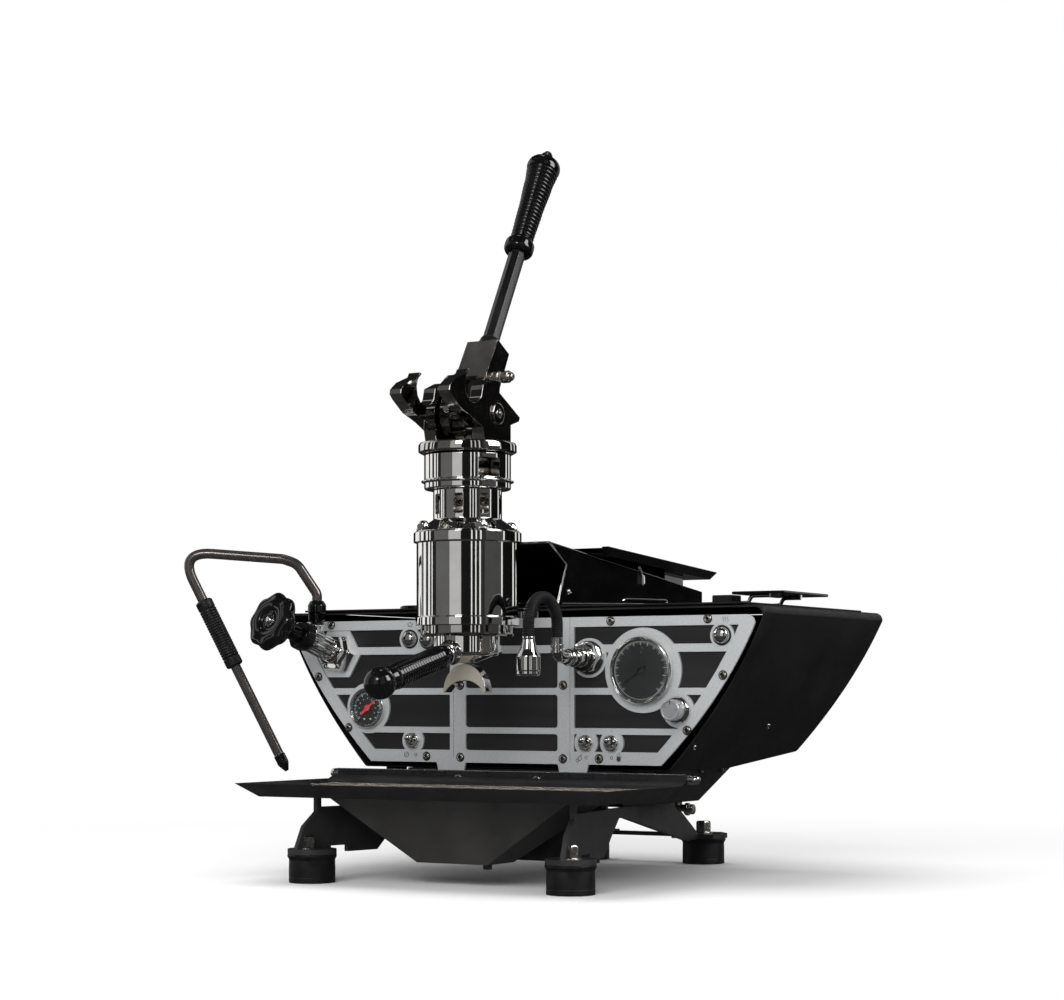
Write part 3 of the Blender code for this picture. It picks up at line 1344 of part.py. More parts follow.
def portafilter():
    """Bowl with lugs and handle neck, its basket, double spout and ball-ended grip."""
    top = BARREL_BOTTOM - BOWL_TOP_DROP
    low = top - BOWL_HEIGHT
    floor = low + BOWL_WALL
    tip = low - BOWL_TIP_HEIGHT
    inner = BOWL_RADIUS - BOWL_WALL
    profile = [
        (BOWL_RADIUS, top),
        (BOWL_RADIUS, low + BOWL_WALL),
        (BOWL_RADIUS - BOWL_WALL, low),
        (BOWL_TIP_RADIUS, tip),
        (SPOUT_BORE, tip),
        (SPOUT_BORE, floor - BOWL_WALL / 2),
        (inner * 0.8, floor),
        (inner, floor + BOWL_WALL),
        (inner, top),
    ]
    axis = (0, GROUP_Y, 0)
    bowl = turned("portafilter_bowl", profile, chrome(), axis)
    lug_low = BARREL_BOTTOM - GAP - BAYONET_HEIGHT + BAYONET_LIP_HEIGHT + RUNNING_GAP
    for side in (1, -1):
        root_x = side * (BOWL_RADIUS - BOWL_WALL / 2)
        tip_x = side * (BOWL_LUG_REACH - BOWL_WALL)
        lug = box(f"bowl_lug_{side}", (root_x, -BOWL_LUG_WIDTH / 2, lug_low),
                  (tip_x, BOWL_LUG_WIDTH / 2, lug_low + BOWL_LUG_HEIGHT), at=axis, helper=True)
        join(bowl, lug)
    tilt = math.radians(HANDLE_TILT)
    forward = (math.pi / 2 + tilt, 0, 0)
    root = (0, GROUP_Y, HANDLE_ROOT_Z)
    neck = rod("handle_neck", HANDLE_NECK_RADIUS, BOWL_RADIUS - BOWL_WALL / 2, HANDLE_NECK_REACH, at=root,
               turn=forward, steps=SMALL_STEPS, helper=True)
    join(bowl, neck)

    rim = BASKET_RIM
    basket_top = top + GAP + rim
    outer = inner - GAP
    basket_low = basket_top - BASKET_DEPTH
    basket = [
        (0, basket_low + BASKET_WALL),
        (outer * 0.92 - BASKET_WALL, basket_low + BASKET_WALL),
        (outer - BASKET_WALL, basket_top),
        (BOWL_RADIUS - GAP, basket_top),
        (BOWL_RADIUS - GAP, top + GAP),
        (outer, top + GAP),
        (outer * 0.92, basket_low),
        (0, basket_low),
    ]
    turned("filter_basket", basket, satin_steel(), axis)

    arch = arc((0, SPOUT_BOTTOM), SPOUT_OUTER, 0, 180, 14) + arc((0, SPOUT_BOTTOM), SPOUT_INNER, 180, 0, 10)
    spout = extruded("portafilter_spout", arch, SPOUT_THICKNESS, nickel(), axis, FACING_FRONT)
    spout_neck = rod("spout_neck", SPOUT_NECK_RADIUS, SPOUT_BOTTOM + (SPOUT_INNER + SPOUT_OUTER) / 2,
                     tip - GAP, at=axis, steps=SMALL_STEPS, helper=True)
    join(spout, spout_neck)

    start = HANDLE_NECK_REACH + GAP
    ball = start + HANDLE_GRIP_LENGTH
    grip_radius = HANDLE_GRIP_RADIUS
    sphere_start = math.degrees(math.acos(0.62 * grip_radius / HANDLE_BALL_RADIUS))
    sphere = arc((0, ball + HANDLE_BALL_RADIUS), HANDLE_BALL_RADIUS, 90, -sphere_start, 8)
    grip = [
        (0, sphere[0][1]),
        *sphere[1:],
        *ribbed(ball - HANDLE_BALL_RADIUS * 0.1, start + grip_radius * 0.3,
                lambda share: grip_radius * 0.90, lambda share: grip_radius * 1.06, HANDLE_RIBS),
        (grip_radius * 0.8, start),
        (0, start),
    ]
    turned("portafilter_handle", grip, gloss_black(), root, forward, steps=MEDIUM_STEPS)


VALVE_AXIS = Vector((VALVE_LEAN_SIDE, -1.0, VALVE_LEAN_UP)).normalized()
VALVE_AT = Vector((VALVE_BASE[0], 0, VALVE_BASE[1]))
VALVE_TURN = VALVE_AXIS.to_track_quat("Z", "Y").to_euler()
SWIVEL = VALVE_AT + VALVE_AXIS * SWIVEL_AT


def steam_valve_body():
    """Slanted valve: stepped base, round body, union nut, spindle guide and upright outlet."""
    profile = [
        (0, VALVE_STEM_END),
        (VALVE_STEM_RADIUS, VALVE_STEM_END),
        (VALVE_STEM_RADIUS, VALVE_NUT_END),
        (VALVE_NUT_RADIUS, VALVE_NUT_END),
        (VALVE_NUT_RADIUS, VALVE_BODY_END),
        (VALVE_BODY_RADIUS, VALVE_BODY_END),
        (VALVE_BODY_RADIUS, VALVE_PLATE_HEIGHT * 1.6),
        (VALVE_PLATE_RADIUS * 0.8, VALVE_PLATE_HEIGHT * 1.6),
        (VALVE_PLATE_RADIUS * 0.8, VALVE_PLATE_HEIGHT),
        (VALVE_PLATE_RADIUS, VALVE_PLATE_HEIGHT),
        (VALVE_PLATE_RADIUS, -VALVE_PLATE_RADIUS),
        (0, -VALVE_PLATE_RADIUS),
    ]
    valve = turned("steam_valve_body", profile, black_chrome(), VALVE_AT, VALVE_TURN, steps=MEDIUM_STEPS)
    outlet = rod("valve_outlet", SWIVEL_ELBOW_RADIUS, SWIVEL.z, SWIVEL_BOTTOM - GAP,
                 at=(SWIVEL.x, SWIVEL.y, 0), steps=SMALL_STEPS, helper=True)
    wall = box("valve_wall_cut", (-SHIELD_TOP_HALF, -GAP, 0), (0, KNOB_RADIUS * 3, SHIELD_TOP * 2),
               helper=True)
    join(valve, outlet)
    cut(valve, wall)


def steam_knob():
    """Lobed hand wheel on a short hub."""
    count = KNOB_LOBES * KNOB_POINTS_PER_LOBE
    outline = []
    for index in range(count):
        angle = math.tau * index / count
        dip = (1 - math.cos(KNOB_LOBES * angle)) / 2
        radius = KNOB_RADIUS * (1 - KNOB_LOBE_SHARE * dip)
        outline.append((radius * math.cos(angle), radius * math.sin(angle)))
    hub_start = VALVE_STEM_END + RUNNING_GAP
    wheel_start = hub_start + KNOB_HUB_LENGTH
    middle = wheel_start + KNOB_THICKNESS / 2
    at = VALVE_AT + VALVE_AXIS * middle
    knob = extruded("steam_knob", outline, KNOB_THICKNESS, gloss_black(), at, VALVE_TURN)
    soften = knob.modifiers.new("soften", "BEVEL")
    soften.width = KNOB_THICKNESS * 0.28
    soften.segments = 2
    soften.limit_method = "ANGLE"
    soften.angle_limit = math.radians(60)
    hub = rod("knob_hub", KNOB_HUB_RADIUS, hub_start, middle, at=VALVE_AT, turn=VALVE_TURN,
              steps=SMALL_STEPS, helper=True)
    join(knob, hub)


def wand_points():
    """Centreline of the wand as (distance out, height), its corners rounded."""
    corners = [Vector(pair) for pair in zip(WAND_OUT, WAND_UP)]
    points = [corners[0]]
    for before, corner, after in zip(corners, corners[1:], corners[2:]):
        back = (before - corner).normalized()
        ahead = (after - corner).normalized()
        half_turn = (math.pi - back.angle(ahead)) / 2
        reach = min(WAND_BEND * math.tan(half_turn), (before - corner).length * 0.48,
                    (after - corner).length * 0.48)
        for index in range(WAND_STEPS_PER_BEND + 1):
            share = index / WAND_STEPS_PER_BEND
            start = corner + back * reach
            end = corner + ahead * reach
            points.append(start * (1 - share) ** 2 + corner * 2 * share * (1 - share) + end * share**2)
    points.append(corners[-1])
    return points


def steam_wand():
    """Swivel nut on the outlet, the bent tube, its rubber grip and its tip."""
    x, y = SWIVEL.x, SWIVEL.y
    nut = [
        (0, SWIVEL_TOP),
        (SWIVEL_RADIUS * 0.85, SWIVEL_TOP),
        (SWIVEL_RADIUS, SWIVEL_TOP - SWIVEL_RADIUS * 0.2),
        (SWIVEL_RADIUS, SWIVEL_BOTTOM + (SWIVEL_TOP - SWIVEL_BOTTOM) * 0.4),
        (SWIVEL_ELBOW_RADIUS, SWIVEL_BOTTOM + (SWIVEL_TOP - SWIVEL_BOTTOM) * 0.35),
        (SWIVEL_ELBOW_RADIUS, SWIVEL_BOTTOM),
        (0, SWIVEL_BOTTOM),
    ]
    turned("steam_swivel", nut, gloss_black(), (x, y, 0), steps=SMALL_STEPS)
    turn = (0, 0, math.radians(WAND_TURN))
    flat = wand_points()
    end = flat[-1]
    down = (end - flat[-2]).normalized()
    straight = (end - flat[-2]).length
    points = [(out, 0, up) for out, up in flat]
    tube("steam_tube", points, TUBE_RADIUS, satin_steel(), (x, y, 0), turn)

    spin = Matrix.Rotation(math.radians(WAND_TURN), 3, "Z")
    axis = spin @ Vector((down.x, 0, down.y))
    aim = axis.to_track_quat("Z", "Y").to_euler()
    start = Vector((x, y, 0)) + spin @ Vector((flat[-2].x, 0, flat[-2].y))
    low, high = (straight * share for share in STEAM_GRIP_SHARES)
    bore = TUBE_RADIUS + GAP
    radius = STEAM_GRIP_RADIUS
    grip = [
        (bore, high),
        (radius * 0.8, high),
        *ribbed(high - radius * 0.5, low + radius * 0.5, lambda share: radius * 0.86,
                lambda share: radius, STEAM_GRIP_RIBS),
        (radius * 0.8, low),
        (bore, low),
    ]
    turned("steam_grip", grip, rubber(), start, aim, steps=SMALL_STEPS)
    tip_start = straight + GAP
    tip = [
        (0, tip_start + STEAM_TIP_LENGTH),
        (STEAM_TIP_RADIUS * 0.35, tip_start + STEAM_TIP_LENGTH),
        (STEAM_TIP_RADIUS, tip_start + STEAM_TIP_LENGTH * 0.6),
        (STEAM_TIP_RADIUS, tip_start),
        (0, tip_start),
    ]
    turned("steam_tip", tip, gloss_black(), start, aim, steps=SMALL_STEPS)


def water_tap():
    """Tap body with flange and nut, elbow, arched hose and aerator nozzle."""
    x, z = TAP_CENTRE
    flange = TAP_FLANGE_THICKNESS
    profile = [
        (0, TAP_BODY_LENGTH),
        (TAP_BODY_RADIUS, TAP_BODY_LENGTH),
        (TAP_BODY_RADIUS, flange + TAP_NUT_LENGTH),
        (TAP_NUT_RADIUS, flange + TAP_NUT_LENGTH),
        (TAP_NUT_RADIUS, flange),
        (TAP_FLANGE_RADIUS, flange),
        (TAP_FLANGE_RADIUS, GAP),
        (TAP_BODY_RADIUS, GAP),
        (TAP_BODY_RADIUS, -PANEL_REAR_Y - TAP_NUT_LENGTH),
        (0, -PANEL_REAR_Y - TAP_NUT_LENGTH),
    ]
    turned("water_tap_body", profile, chrome(), (x, 0, z), FACING_FRONT, steps=MEDIUM_STEPS)

    start = TAP_BODY_LENGTH + GAP
    reach = -ELBOW_Y
    elbow_profile = [
        (0, reach + ELBOW_RADIUS),
        (ELBOW_RADIUS, reach + ELBOW_RADIUS * 0.5),
        (ELBOW_RADIUS, start + ELBOW_BALL_RADIUS * 1.8),
        (ELBOW_BALL_RADIUS, start + ELBOW_BALL_RADIUS * 1.4),
        (ELBOW_BALL_RADIUS, start + ELBOW_BALL_RADIUS * 0.5),
        (ELBOW_RADIUS, start),
        (0, start),
    ]
    elbow = turned("water_tap_elbow", elbow_profile, chrome(), (x, 0, z), FACING_FRONT, steps=SMALL_STEPS)
    upright = rod("elbow_upright", ELBOW_RADIUS * 0.95, z, ELBOW_TOP, at=(x, ELBOW_Y, 0), steps=SMALL_STEPS,
                  helper=True)
    join(elbow, upright)

    half = HOSE_REACH / 2
    low = ELBOW_TOP + GAP
    rise = HOSE_RISE - HOSE_RADIUS * 2 - GAP
    points = [(0, 0, low), (0, 0, low + HOSE_RADIUS * 2)]
    for index in range(1, HOSE_POINTS):
        angle = math.pi * index / HOSE_POINTS
        up = low + HOSE_RADIUS * 2 + rise * math.sin(angle)
        points.append((0, -half * (1 - math.cos(angle)), up))
    points += [(0, -HOSE_REACH, low + HOSE_RADIUS * 2), (0, -HOSE_REACH, low)]
    tube("water_hose", points, HOSE_RADIUS, rubber(), (x, ELBOW_Y, 0))

    neck_top = ELBOW_TOP
    nozzle = [
        (0, neck_top),
        (NOZZLE_NECK_RADIUS, neck_top),
        (NOZZLE_RADIUS * 0.75, NOZZLE_BODY_TOP),
        (NOZZLE_RADIUS, NOZZLE_BODY_TOP - NOZZLE_RADIUS * 0.4),
        (NOZZLE_RADIUS, NOZZLE_BOTTOM + NOZZLE_RADIUS * 0.15),
        (NOZZLE_RADIUS * 0.92, NOZZLE_BOTTOM),
        (0, NOZZLE_BOTTOM),
    ]
    turned("water_nozzle", nozzle, chrome(), (x, ELBOW_Y - HOSE_REACH, 0), steps=MEDIUM_STEPS)


def pointer(name, centre, radius, depth, angle):
    """Gauge pointer with its boss, its origin on the dial's centre."""
    width = radius * POINTER_WIDTH_SHARE
    length = radius * POINTER_LENGTH_SHARE
    tail = -length * 0.3
    outline = [(-width / 2, tail), (width / 2, tail), (width / 5, length), (-width / 5, length)]
    at = (centre[0], -depth - POINTER_THICKNESS / 2, centre[1])
    turn = (Matrix.Rotation(math.radians(angle), 3, "Y") @ Matrix.Rotation(math.pi / 2, 3, "X")).to_euler()
    hand = extruded(name, outline, POINTER_THICKNESS, red_paint(), at, turn)
    boss = rod(name + "_boss", width, -POINTER_THICKNESS, POINTER_THICKNESS, at=at, turn=FACING_FRONT,
               steps=SMALL_STEPS, helper=True)
    join(hand, boss)


def gauge_case(name, centre, radius, bezel, can_radius, can_length, material):
    """Bezel in front of the trim with a can behind it, its face sunk in."""
    inner = radius - GAUGE_RIM
    floor = bezel - GAUGE_FACE_DEPTH
    profile = [
        (0, floor),
        (inner, floor),
        (inner, bezel),
        (inner + GAUGE_RIM * 0.5, bezel),
        (radius, bezel * 0.8),
        (radius, GAP),
        (can_radius, GAP),
        (can_radius, -can_length),
        (0, -can_length),
    ]
    turned(name, profile, material, (centre[0], 0, centre[1]), FACING_FRONT, steps=FINE_STEPS)
    return inner, floor


def gauges():
    """Large pressure gauge with dial, pointer and glass, and the small boiler gauge."""
    can_length = BIG_GAUGE_RADIUS
    inner, floor = gauge_case("pressure_gauge_case", BIG_GAUGE_CENTRE, BIG_GAUGE_RADIUS, BIG_GAUGE_BEZEL,
                              BIG_GAUGE_CAN, can_length, chrome())
    at = (BIG_GAUGE_CENTRE[0], 0, BIG_GAUGE_CENTRE[1])
    dial_top = floor + GAP + GAUGE_DIAL_THICKNESS
    rod("pressure_gauge_dial", inner - GAP, floor + GAP, dial_top, white_face(), at, FACING_FRONT)
    pointer("pressure_gauge_pointer", BIG_GAUGE_CENTRE, inner, dial_top + GAP + POINTER_THICKNESS / 2, -125)
    glass_top = BIG_GAUGE_BEZEL - GAP
    rod("pressure_gauge_glass", inner - GAP, glass_top - GAUGE_GLASS_THICKNESS / 2, glass_top,
        clear_glass(), at, FACING_FRONT)
    inner, floor = gauge_case("boiler_gauge_case", SMALL_GAUGE_CENTRE, SMALL_GAUGE_RADIUS, SMALL_GAUGE_BEZEL,
                              SMALL_GAUGE_RADIUS - GAUGE_RIM, SMALL_GAUGE_RADIUS, chrome())
    pointer("boiler_gauge_pointer", SMALL_GAUGE_CENTRE, inner, floor + GAP + POINTER_THICKNESS / 2, 50)


def selector_knob():
    skirt = SELECTOR_SKIRT_LENGTH
    profile = [
        (0, SELECTOR_LENGTH),
        (SELECTOR_RADIUS * 0.9, SELECTOR_LENGTH),
        (SELECTOR_RADIUS, SELECTOR_LENGTH - SELECTOR_RADIUS * 0.1),
        (SELECTOR_RADIUS * 1.05, skirt),
        (SELECTOR_SKIRT_RADIUS, skirt * 0.7),
        (SELECTOR_SKIRT_RADIUS, GAP),
        (BUTTON_STEM_RADIUS, GAP),
        (BUTTON_STEM_RADIUS, -BUTTON_STEM_LENGTH),
        (0, -BUTTON_STEM_LENGTH),
    ]
    turned("selector_knob", profile, satin_aluminium(), (SELECTOR_CENTRE[0], 0, SELECTOR_CENTRE[1]),
           FACING_FRONT, steps=MEDIUM_STEPS)


def toggles():
    """Short bats on balls that sit in the trim's holes, tilted up at rest."""
    ball = arc((0, 0), TOGGLE_BALL, -90, 55, 4)
    end = TOGGLE_BAT_LENGTH
    tip = TOGGLE_BAT_END_RADIUS
    profile = [
        (0, end),
        (tip * 0.7, end - tip * 0.3),
        (tip, end - tip),
        (tip * 0.8, end - tip * 1.8),
        (TOGGLE_BAT_RADIUS, TOGGLE_BALL * 1.05),
        *reversed(ball[1:]),
        (0, -TOGGLE_BALL),
    ]
    for label, (x, z) in zip(("left", "inner", "outer"), TOGGLE_PLACES):
        turned(f"toggle_{label}", profile, chrome(), (x, TRIM_THICKNESS / 2, z),
               (math.pi / 2 - math.radians(TOGGLE_REST_TILT), 0, 0), steps=SMALL_STEPS)


def push_buttons():
    radius = BUTTON_RADIUS
    lift = BUTTON_LIFT
    profile = [
        (0, lift + BUTTON_DOME),
        (radius * 0.55, lift + BUTTON_DOME * 0.8),
        (radius * 0.9, lift + BUTTON_DOME * 0.3),
        (radius, lift),
        (radius, lift - BUTTON_DOME * 0.2),
        (BUTTON_STEM_RADIUS, lift - BUTTON_DOME * 0.2),
        (BUTTON_STEM_RADIUS, -BUTTON_STEM_LENGTH),
        (0, -BUTTON_STEM_LENGTH),
    ]
    for label, (x, z) in zip(("left_outer", "left_inner", "right"), BUTTON_PLACES):
        turned(f"button_{label}", profile, chrome(), (x, 0, z), FACING_FRONT, steps=SMALL_STEPS)


def tray_rectangle(depth_share, wall):
    """The tray's rectangle at a share of its depth, drawn in by its wall."""
    return (
        TRAY_HALF - TRAY_INSET_SIDE * depth_share - wall,
        TRAY_FRONT_Y + TRAY_INSET_FRONT * depth_share + wall,
        TRAY_REAR_Y - TRAY_INSET_REAR * depth_share - wall,
        TRAY_TOP - TRAY_DEPTH * depth_share,
    )


def drip_tray():
    tray = tapered_box("drip_tray", tray_rectangle(0, 0), tray_rectangle(1, 0), tray_steel())
    over = -OVERRUN / TRAY_DEPTH
    floor = 1 - TRAY_WALL / TRAY_DEPTH
    hollow = tapered_box("tray_hollow", tray_rectangle(over, TRAY_WALL), tray_rectangle(floor, TRAY_WALL),
                         helper=True)
    drain = box("tray_drain", (-TRAY_DRAIN_HALF, TRAY_DRAIN_FRONT_Y, TRAY_TOP - 2 * TRAY_DEPTH),
                (TRAY_DRAIN_HALF, TRAY_DRAIN_REAR_Y, TRAY_TOP), helper=True)
    cut(tray, hollow, drain)


def tray_grid():
    """Slotted cover plate that lies on the tray's sloping walls."""
    share = (GRID_DROP + GRID_THICKNESS) / TRAY_DEPTH
    half, front, rear, low = tray_rectangle(share, TRAY_WALL + GAP)
    grid = box("tray_grid", (-half, front, low), (half, rear, low + GRID_THICKNESS), tray_steel())
    pitch_x = 2 * half / (GRID_COLUMNS + 1)
    pitch_y = (rear - front) / (GRID_ROWS + 0.5)
    slot_x = pitch_x * GRID_SLOT_SHARE / 2
    slot_y = pitch_y * GRID_SLOT_SHARE / 2
    for row in range(GRID_ROWS):
        y = front + pitch_y * (row + 0.75)
        shift = 0.5 if row % 2 else 0
        for column in range(GRID_COLUMNS - row % 2):
            x = -half + pitch_x * (column + 1 + shift)
            slot = box(f"grid_slot_{row}_{column}", (x - slot_x, y - slot_y, low - OVERRUN),
                       (x + slot_x, y + slot_y, low + 2 * OVERRUN), helper=True)
            cut(grid, slot)


def hopper():
    """Funnel under the tray, open at the top, with a drain stub."""
    top = TRAY_TOP - TRAY_DEPTH - GAP
    wall = HOPPER_WALL
    outer_top = (HOPPER_TOP_HALF, HOPPER_TOP_FRONT_Y, HOPPER_TOP_REAR_Y, top)
    outer_low = (HOPPER_BOTTOM_HALF, HOPPER_BOTTOM_FRONT_Y, HOPPER_BOTTOM_REAR_Y, HOPPER_BOTTOM)
    inner_top = (HOPPER_TOP_HALF - 2 * wall, HOPPER_TOP_FRONT_Y + wall, HOPPER_TOP_REAR_Y - wall,
                 top + OVERRUN)
    inner_low = (HOPPER_BOTTOM_HALF - wall, HOPPER_BOTTOM_FRONT_Y + wall,
                 HOPPER_BOTTOM_REAR_Y - wall, HOPPER_BOTTOM + wall)
    funnel = tapered_box("hopper", outer_top, outer_low, tray_steel())
    hollow = tapered_box("hopper_hollow", inner_top, inner_low, helper=True)
    middle = (HOPPER_BOTTOM_FRONT_Y + HOPPER_BOTTOM_REAR_Y) / 2
    at = (DRAIN_OFFSET, middle, 0)
    stub = rod("drain_stub", DRAIN_RADIUS, HOPPER_BOTTOM - DRAIN_LENGTH, HOPPER_BOTTOM + wall,
               at=at, steps=MEDIUM_STEPS, helper=True)
    bore = rod("drain_bore", DRAIN_RADIUS / 2, HOPPER_BOTTOM - 2 * DRAIN_LENGTH,
               HOPPER_BOTTOM + 4 * wall, at=at, steps=MEDIUM_STEPS, helper=True)
    cut(funnel, hollow)
    join(funnel, stub)
    cut(funnel, bore)


def tray_rail():
    """Bar behind the tray with round end caps, fixed to the trim's two tabs."""
    rear = -GAP
    rail = box("tray_rail", (-RAIL_HALF, rear - RAIL_DEPTH, RAIL_BOTTOM),
               (RAIL_HALF, rear, RAIL_BOTTOM + RAIL_HEIGHT), gloss_black())
    caps = rod("rail_caps", RAIL_CAP_RADIUS, -RAIL_HALF - RAIL_CAP_LENGTH, RAIL_HALF + RAIL_CAP_LENGTH,
               at=(0, rear - RAIL_DEPTH / 2, RAIL_BOTTOM + RAIL_HEIGHT / 2), turn=(0, math.pi / 2, 0),
               steps=SMALL_STEPS, helper=True)
    join(rail, caps)


def smooth_round_pieces():
    """Gives joined and cut meshes sharp edges only where faces really turn."""
    for obj in machine.objects:
        if obj.type == "MESH" and obj.name not in ("lever_bar", "top_deck", "cup_plate"):
            obj.data.shade_smooth()
            obj.data.set_sharp_from_angle(angle=math.radians(SHARP_ANGLE))


def centre_on_origin():
    """Moves the frame so that the middle of the whole machine's base stands on the origin."""
    bpy.context.view_layer.update()
    graph = bpy.context.evaluated_depsgraph_get()
    lows = []
    highs = []
    for obj in machine.objects:
        if obj.type == "EMPTY":
            continue
        solid = obj.evaluated_get(graph)
        mesh = solid.to_mesh()
        points = np.empty(3 * len(mesh.vertices), np.float32)
        mesh.vertices.foreach_get("co", points)
        solid.to_mesh_clear()
        world = np.array(solid.matrix_world)
        points = points.reshape(-1, 3) @ world[:3, :3].T + world[:3, 3]
        lows.append(points.min(axis=0))
        highs.append(points.max(axis=0))
    low = [float(value) for value in np.min(lows, axis=0)]
    high = [float(value) for value in np.max(highs, axis=0)]
    frame.location = (-(low[0] + high[0]) / 2, -(low[1] + high[1]) / 2, -low[2])
    print("frame shift in mm:", [round(1000 * value, 3) for value in frame.location])


body_shell()
top_deck()
lower_body()
leg_frame()
feet()
front_panel()
trim_frame()
hood()
cup_shelf()
cup_plate()
filler_cap()
boiler()
group_mount()
group_barrel()
group_sleeve()
group_collar()
head_fork()
lever_knuckle()
lever_bar()
lever_grip()
pivot_pin()
roller_pin()
piston_rod()
group_spring()
bayonet_ring()
shower_screen()
portafilter()
steam_valve_body()
steam_knob()
steam_wand()
water_tap()
gauges()
selector_knob()
toggles()
push_buttons()
drip_tray()
tray_grid()
hopper()
tray_rail()
smooth_round_pieces()
centre_on_origin()
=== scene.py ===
"""Lever espresso machine with one spring group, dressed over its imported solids."""

import math

import bmesh
import bpy
from mathutils import Euler, Matrix, Vector


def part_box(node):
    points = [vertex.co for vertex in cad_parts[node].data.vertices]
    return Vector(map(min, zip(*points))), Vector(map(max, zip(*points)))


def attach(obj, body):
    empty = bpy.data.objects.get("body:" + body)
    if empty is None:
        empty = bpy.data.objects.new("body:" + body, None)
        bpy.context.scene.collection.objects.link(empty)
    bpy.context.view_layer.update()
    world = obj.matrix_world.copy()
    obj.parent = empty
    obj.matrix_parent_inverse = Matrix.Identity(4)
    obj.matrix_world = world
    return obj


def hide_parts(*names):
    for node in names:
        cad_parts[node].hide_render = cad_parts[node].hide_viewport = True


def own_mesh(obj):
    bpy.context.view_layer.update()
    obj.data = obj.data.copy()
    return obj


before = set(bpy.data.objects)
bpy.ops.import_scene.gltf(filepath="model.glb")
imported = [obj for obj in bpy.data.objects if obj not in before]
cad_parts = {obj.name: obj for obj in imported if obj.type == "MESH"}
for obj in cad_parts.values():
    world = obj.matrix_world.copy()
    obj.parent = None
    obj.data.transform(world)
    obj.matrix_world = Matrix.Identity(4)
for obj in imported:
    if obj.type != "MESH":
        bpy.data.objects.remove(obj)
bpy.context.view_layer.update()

# The machine's own frame: its middle plane, the front face of the trim and the table.
# Every place below is in metres from there: x to the viewer's right, y to the rear and z up.
trim_low, trim_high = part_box("trim_frame")
MACHINE = Vector(((trim_low.x + trim_high.x) / 2, trim_low.y, 0.0))
ORIGIN = (0, 0, 0)


def spot(x, y, z):
    """A place in the machine's frame as a place in the scene."""
    return MACHINE + Vector((x, y, z))


# Camera. It stands to the right of the machine at the height of its lower panel and looks level.
CAMERA_PLACE = (1.2182, -2.0680, 0.1855)
CAMERA_TURN = 30.0
CAMERA_LENS = 81.2
CAMERA_SENSOR = 36.0
CAMERA_SHIFT = 0.1814


def added(name, data):
    """A new object in the scene that holds some data."""
    thing = bpy.data.objects.new(name, data)
    bpy.context.scene.collection.objects.link(thing)
    return thing


view = bpy.data.cameras.new("camera")
view.lens = CAMERA_LENS
view.sensor_width = CAMERA_SENSOR
view.sensor_fit = "HORIZONTAL"
view.shift_y = CAMERA_SHIFT
camera = added("camera", view)
camera.location = spot(*CAMERA_PLACE)
camera.rotation_euler = (math.pi / 2, 0, math.radians(CAMERA_TURN))
bpy.context.scene.camera = camera
bpy.context.scene.view_settings.view_transform = "Standard"


# Table and background. A plain white sheet under the machine that keeps its soft shadow and runs
# out into pure white, so that no edge of it shows.
TABLE_RADIUS = 6.0
TABLE_STEPS = 96
TABLE_COLOUR = (0.90, 0.90, 0.90)
SHADOW_REACH = 0.55
SHADOW_END = 1.30
WHITE = (1, 1, 1, 1)


def shader_tree(owner):
    """The emptied node tree of a material or world."""
    owner.use_nodes = True
    owner.node_tree.nodes.clear()
    return owner.node_tree


def shader_node(tree, kind, inputs=(), **settings):
    """A node with its settings, each input joined to another node's output or set to a value."""
    node = tree.nodes.new("ShaderNode" + kind)
    for setting, value in settings.items():
        setattr(node, setting, value)
    for socket, value in dict(inputs).items():
        if isinstance(value, bpy.types.NodeSocket):
            tree.links.new(value, node.inputs[socket])
        else:
            node.inputs[socket].default_value = value
    return node


def seen_directly(tree):
    """A number that is one for what the camera, a mirror or glass sees, and zero for plain light."""
    path = shader_node(tree, "LightPath").outputs
    either = shader_node(tree, "Math", {0: path["Is Camera Ray"], 1: path["Is Glossy Ray"]},
                         operation="MAXIMUM")
    any_of_them = shader_node(tree, "Math", {0: either.outputs["Value"], 1: path["Is Transmission Ray"]},
                              operation="MAXIMUM")
    return any_of_them.outputs["Value"]


def table_material():
    """Matt white near the machine, plain white further out."""
    material = bpy.data.materials.new("white_table")
    tree = shader_tree(material)
    paper = shader_node(tree, "BsdfDiffuse", {"Color": (*TABLE_COLOUR, 1)})
    glow = shader_node(tree, "Emission")
    place = shader_node(tree, "TexCoord")
    distance = shader_node(tree, "VectorMath", {0: place.outputs["Object"]}, operation="LENGTH")
    reach = {"Value": distance.outputs["Value"], "From Min": SHADOW_REACH, "From Max": SHADOW_END}
    fade = shader_node(tree, "MapRange", reach, interpolation_type="SMOOTHSTEP")
    both = shader_node(tree, "Math", {0: fade.outputs["Result"], 1: seen_directly(tree)}, operation="MULTIPLY")
    mix = shader_node(tree, "MixShader", {"Fac": both.outputs["Value"], 1: paper.outputs["BSDF"],
                                          2: glow.outputs["Emission"]})
    shader_node(tree, "OutputMaterial", {"Surface": mix.outputs["Shader"]})
    return material


def mesh_from(shape, name):
    """The mesh of a shape that isn't needed any more."""
    mesh = bpy.data.meshes.new(name)
    shape.to_mesh(mesh)
    shape.free()
    return mesh


table_shape = bmesh.new()
bmesh.ops.create_circle(table_shape, cap_ends=True, segments=TABLE_STEPS, radius=TABLE_RADIUS)
table = added("table", mesh_from(table_shape, "table"))
table.data.materials.append(table_material())


# Room light. White wherever it is seen directly or in a mirror, and a softer even light on matt
# surfaces.
ROOM_LIGHT = 0.50

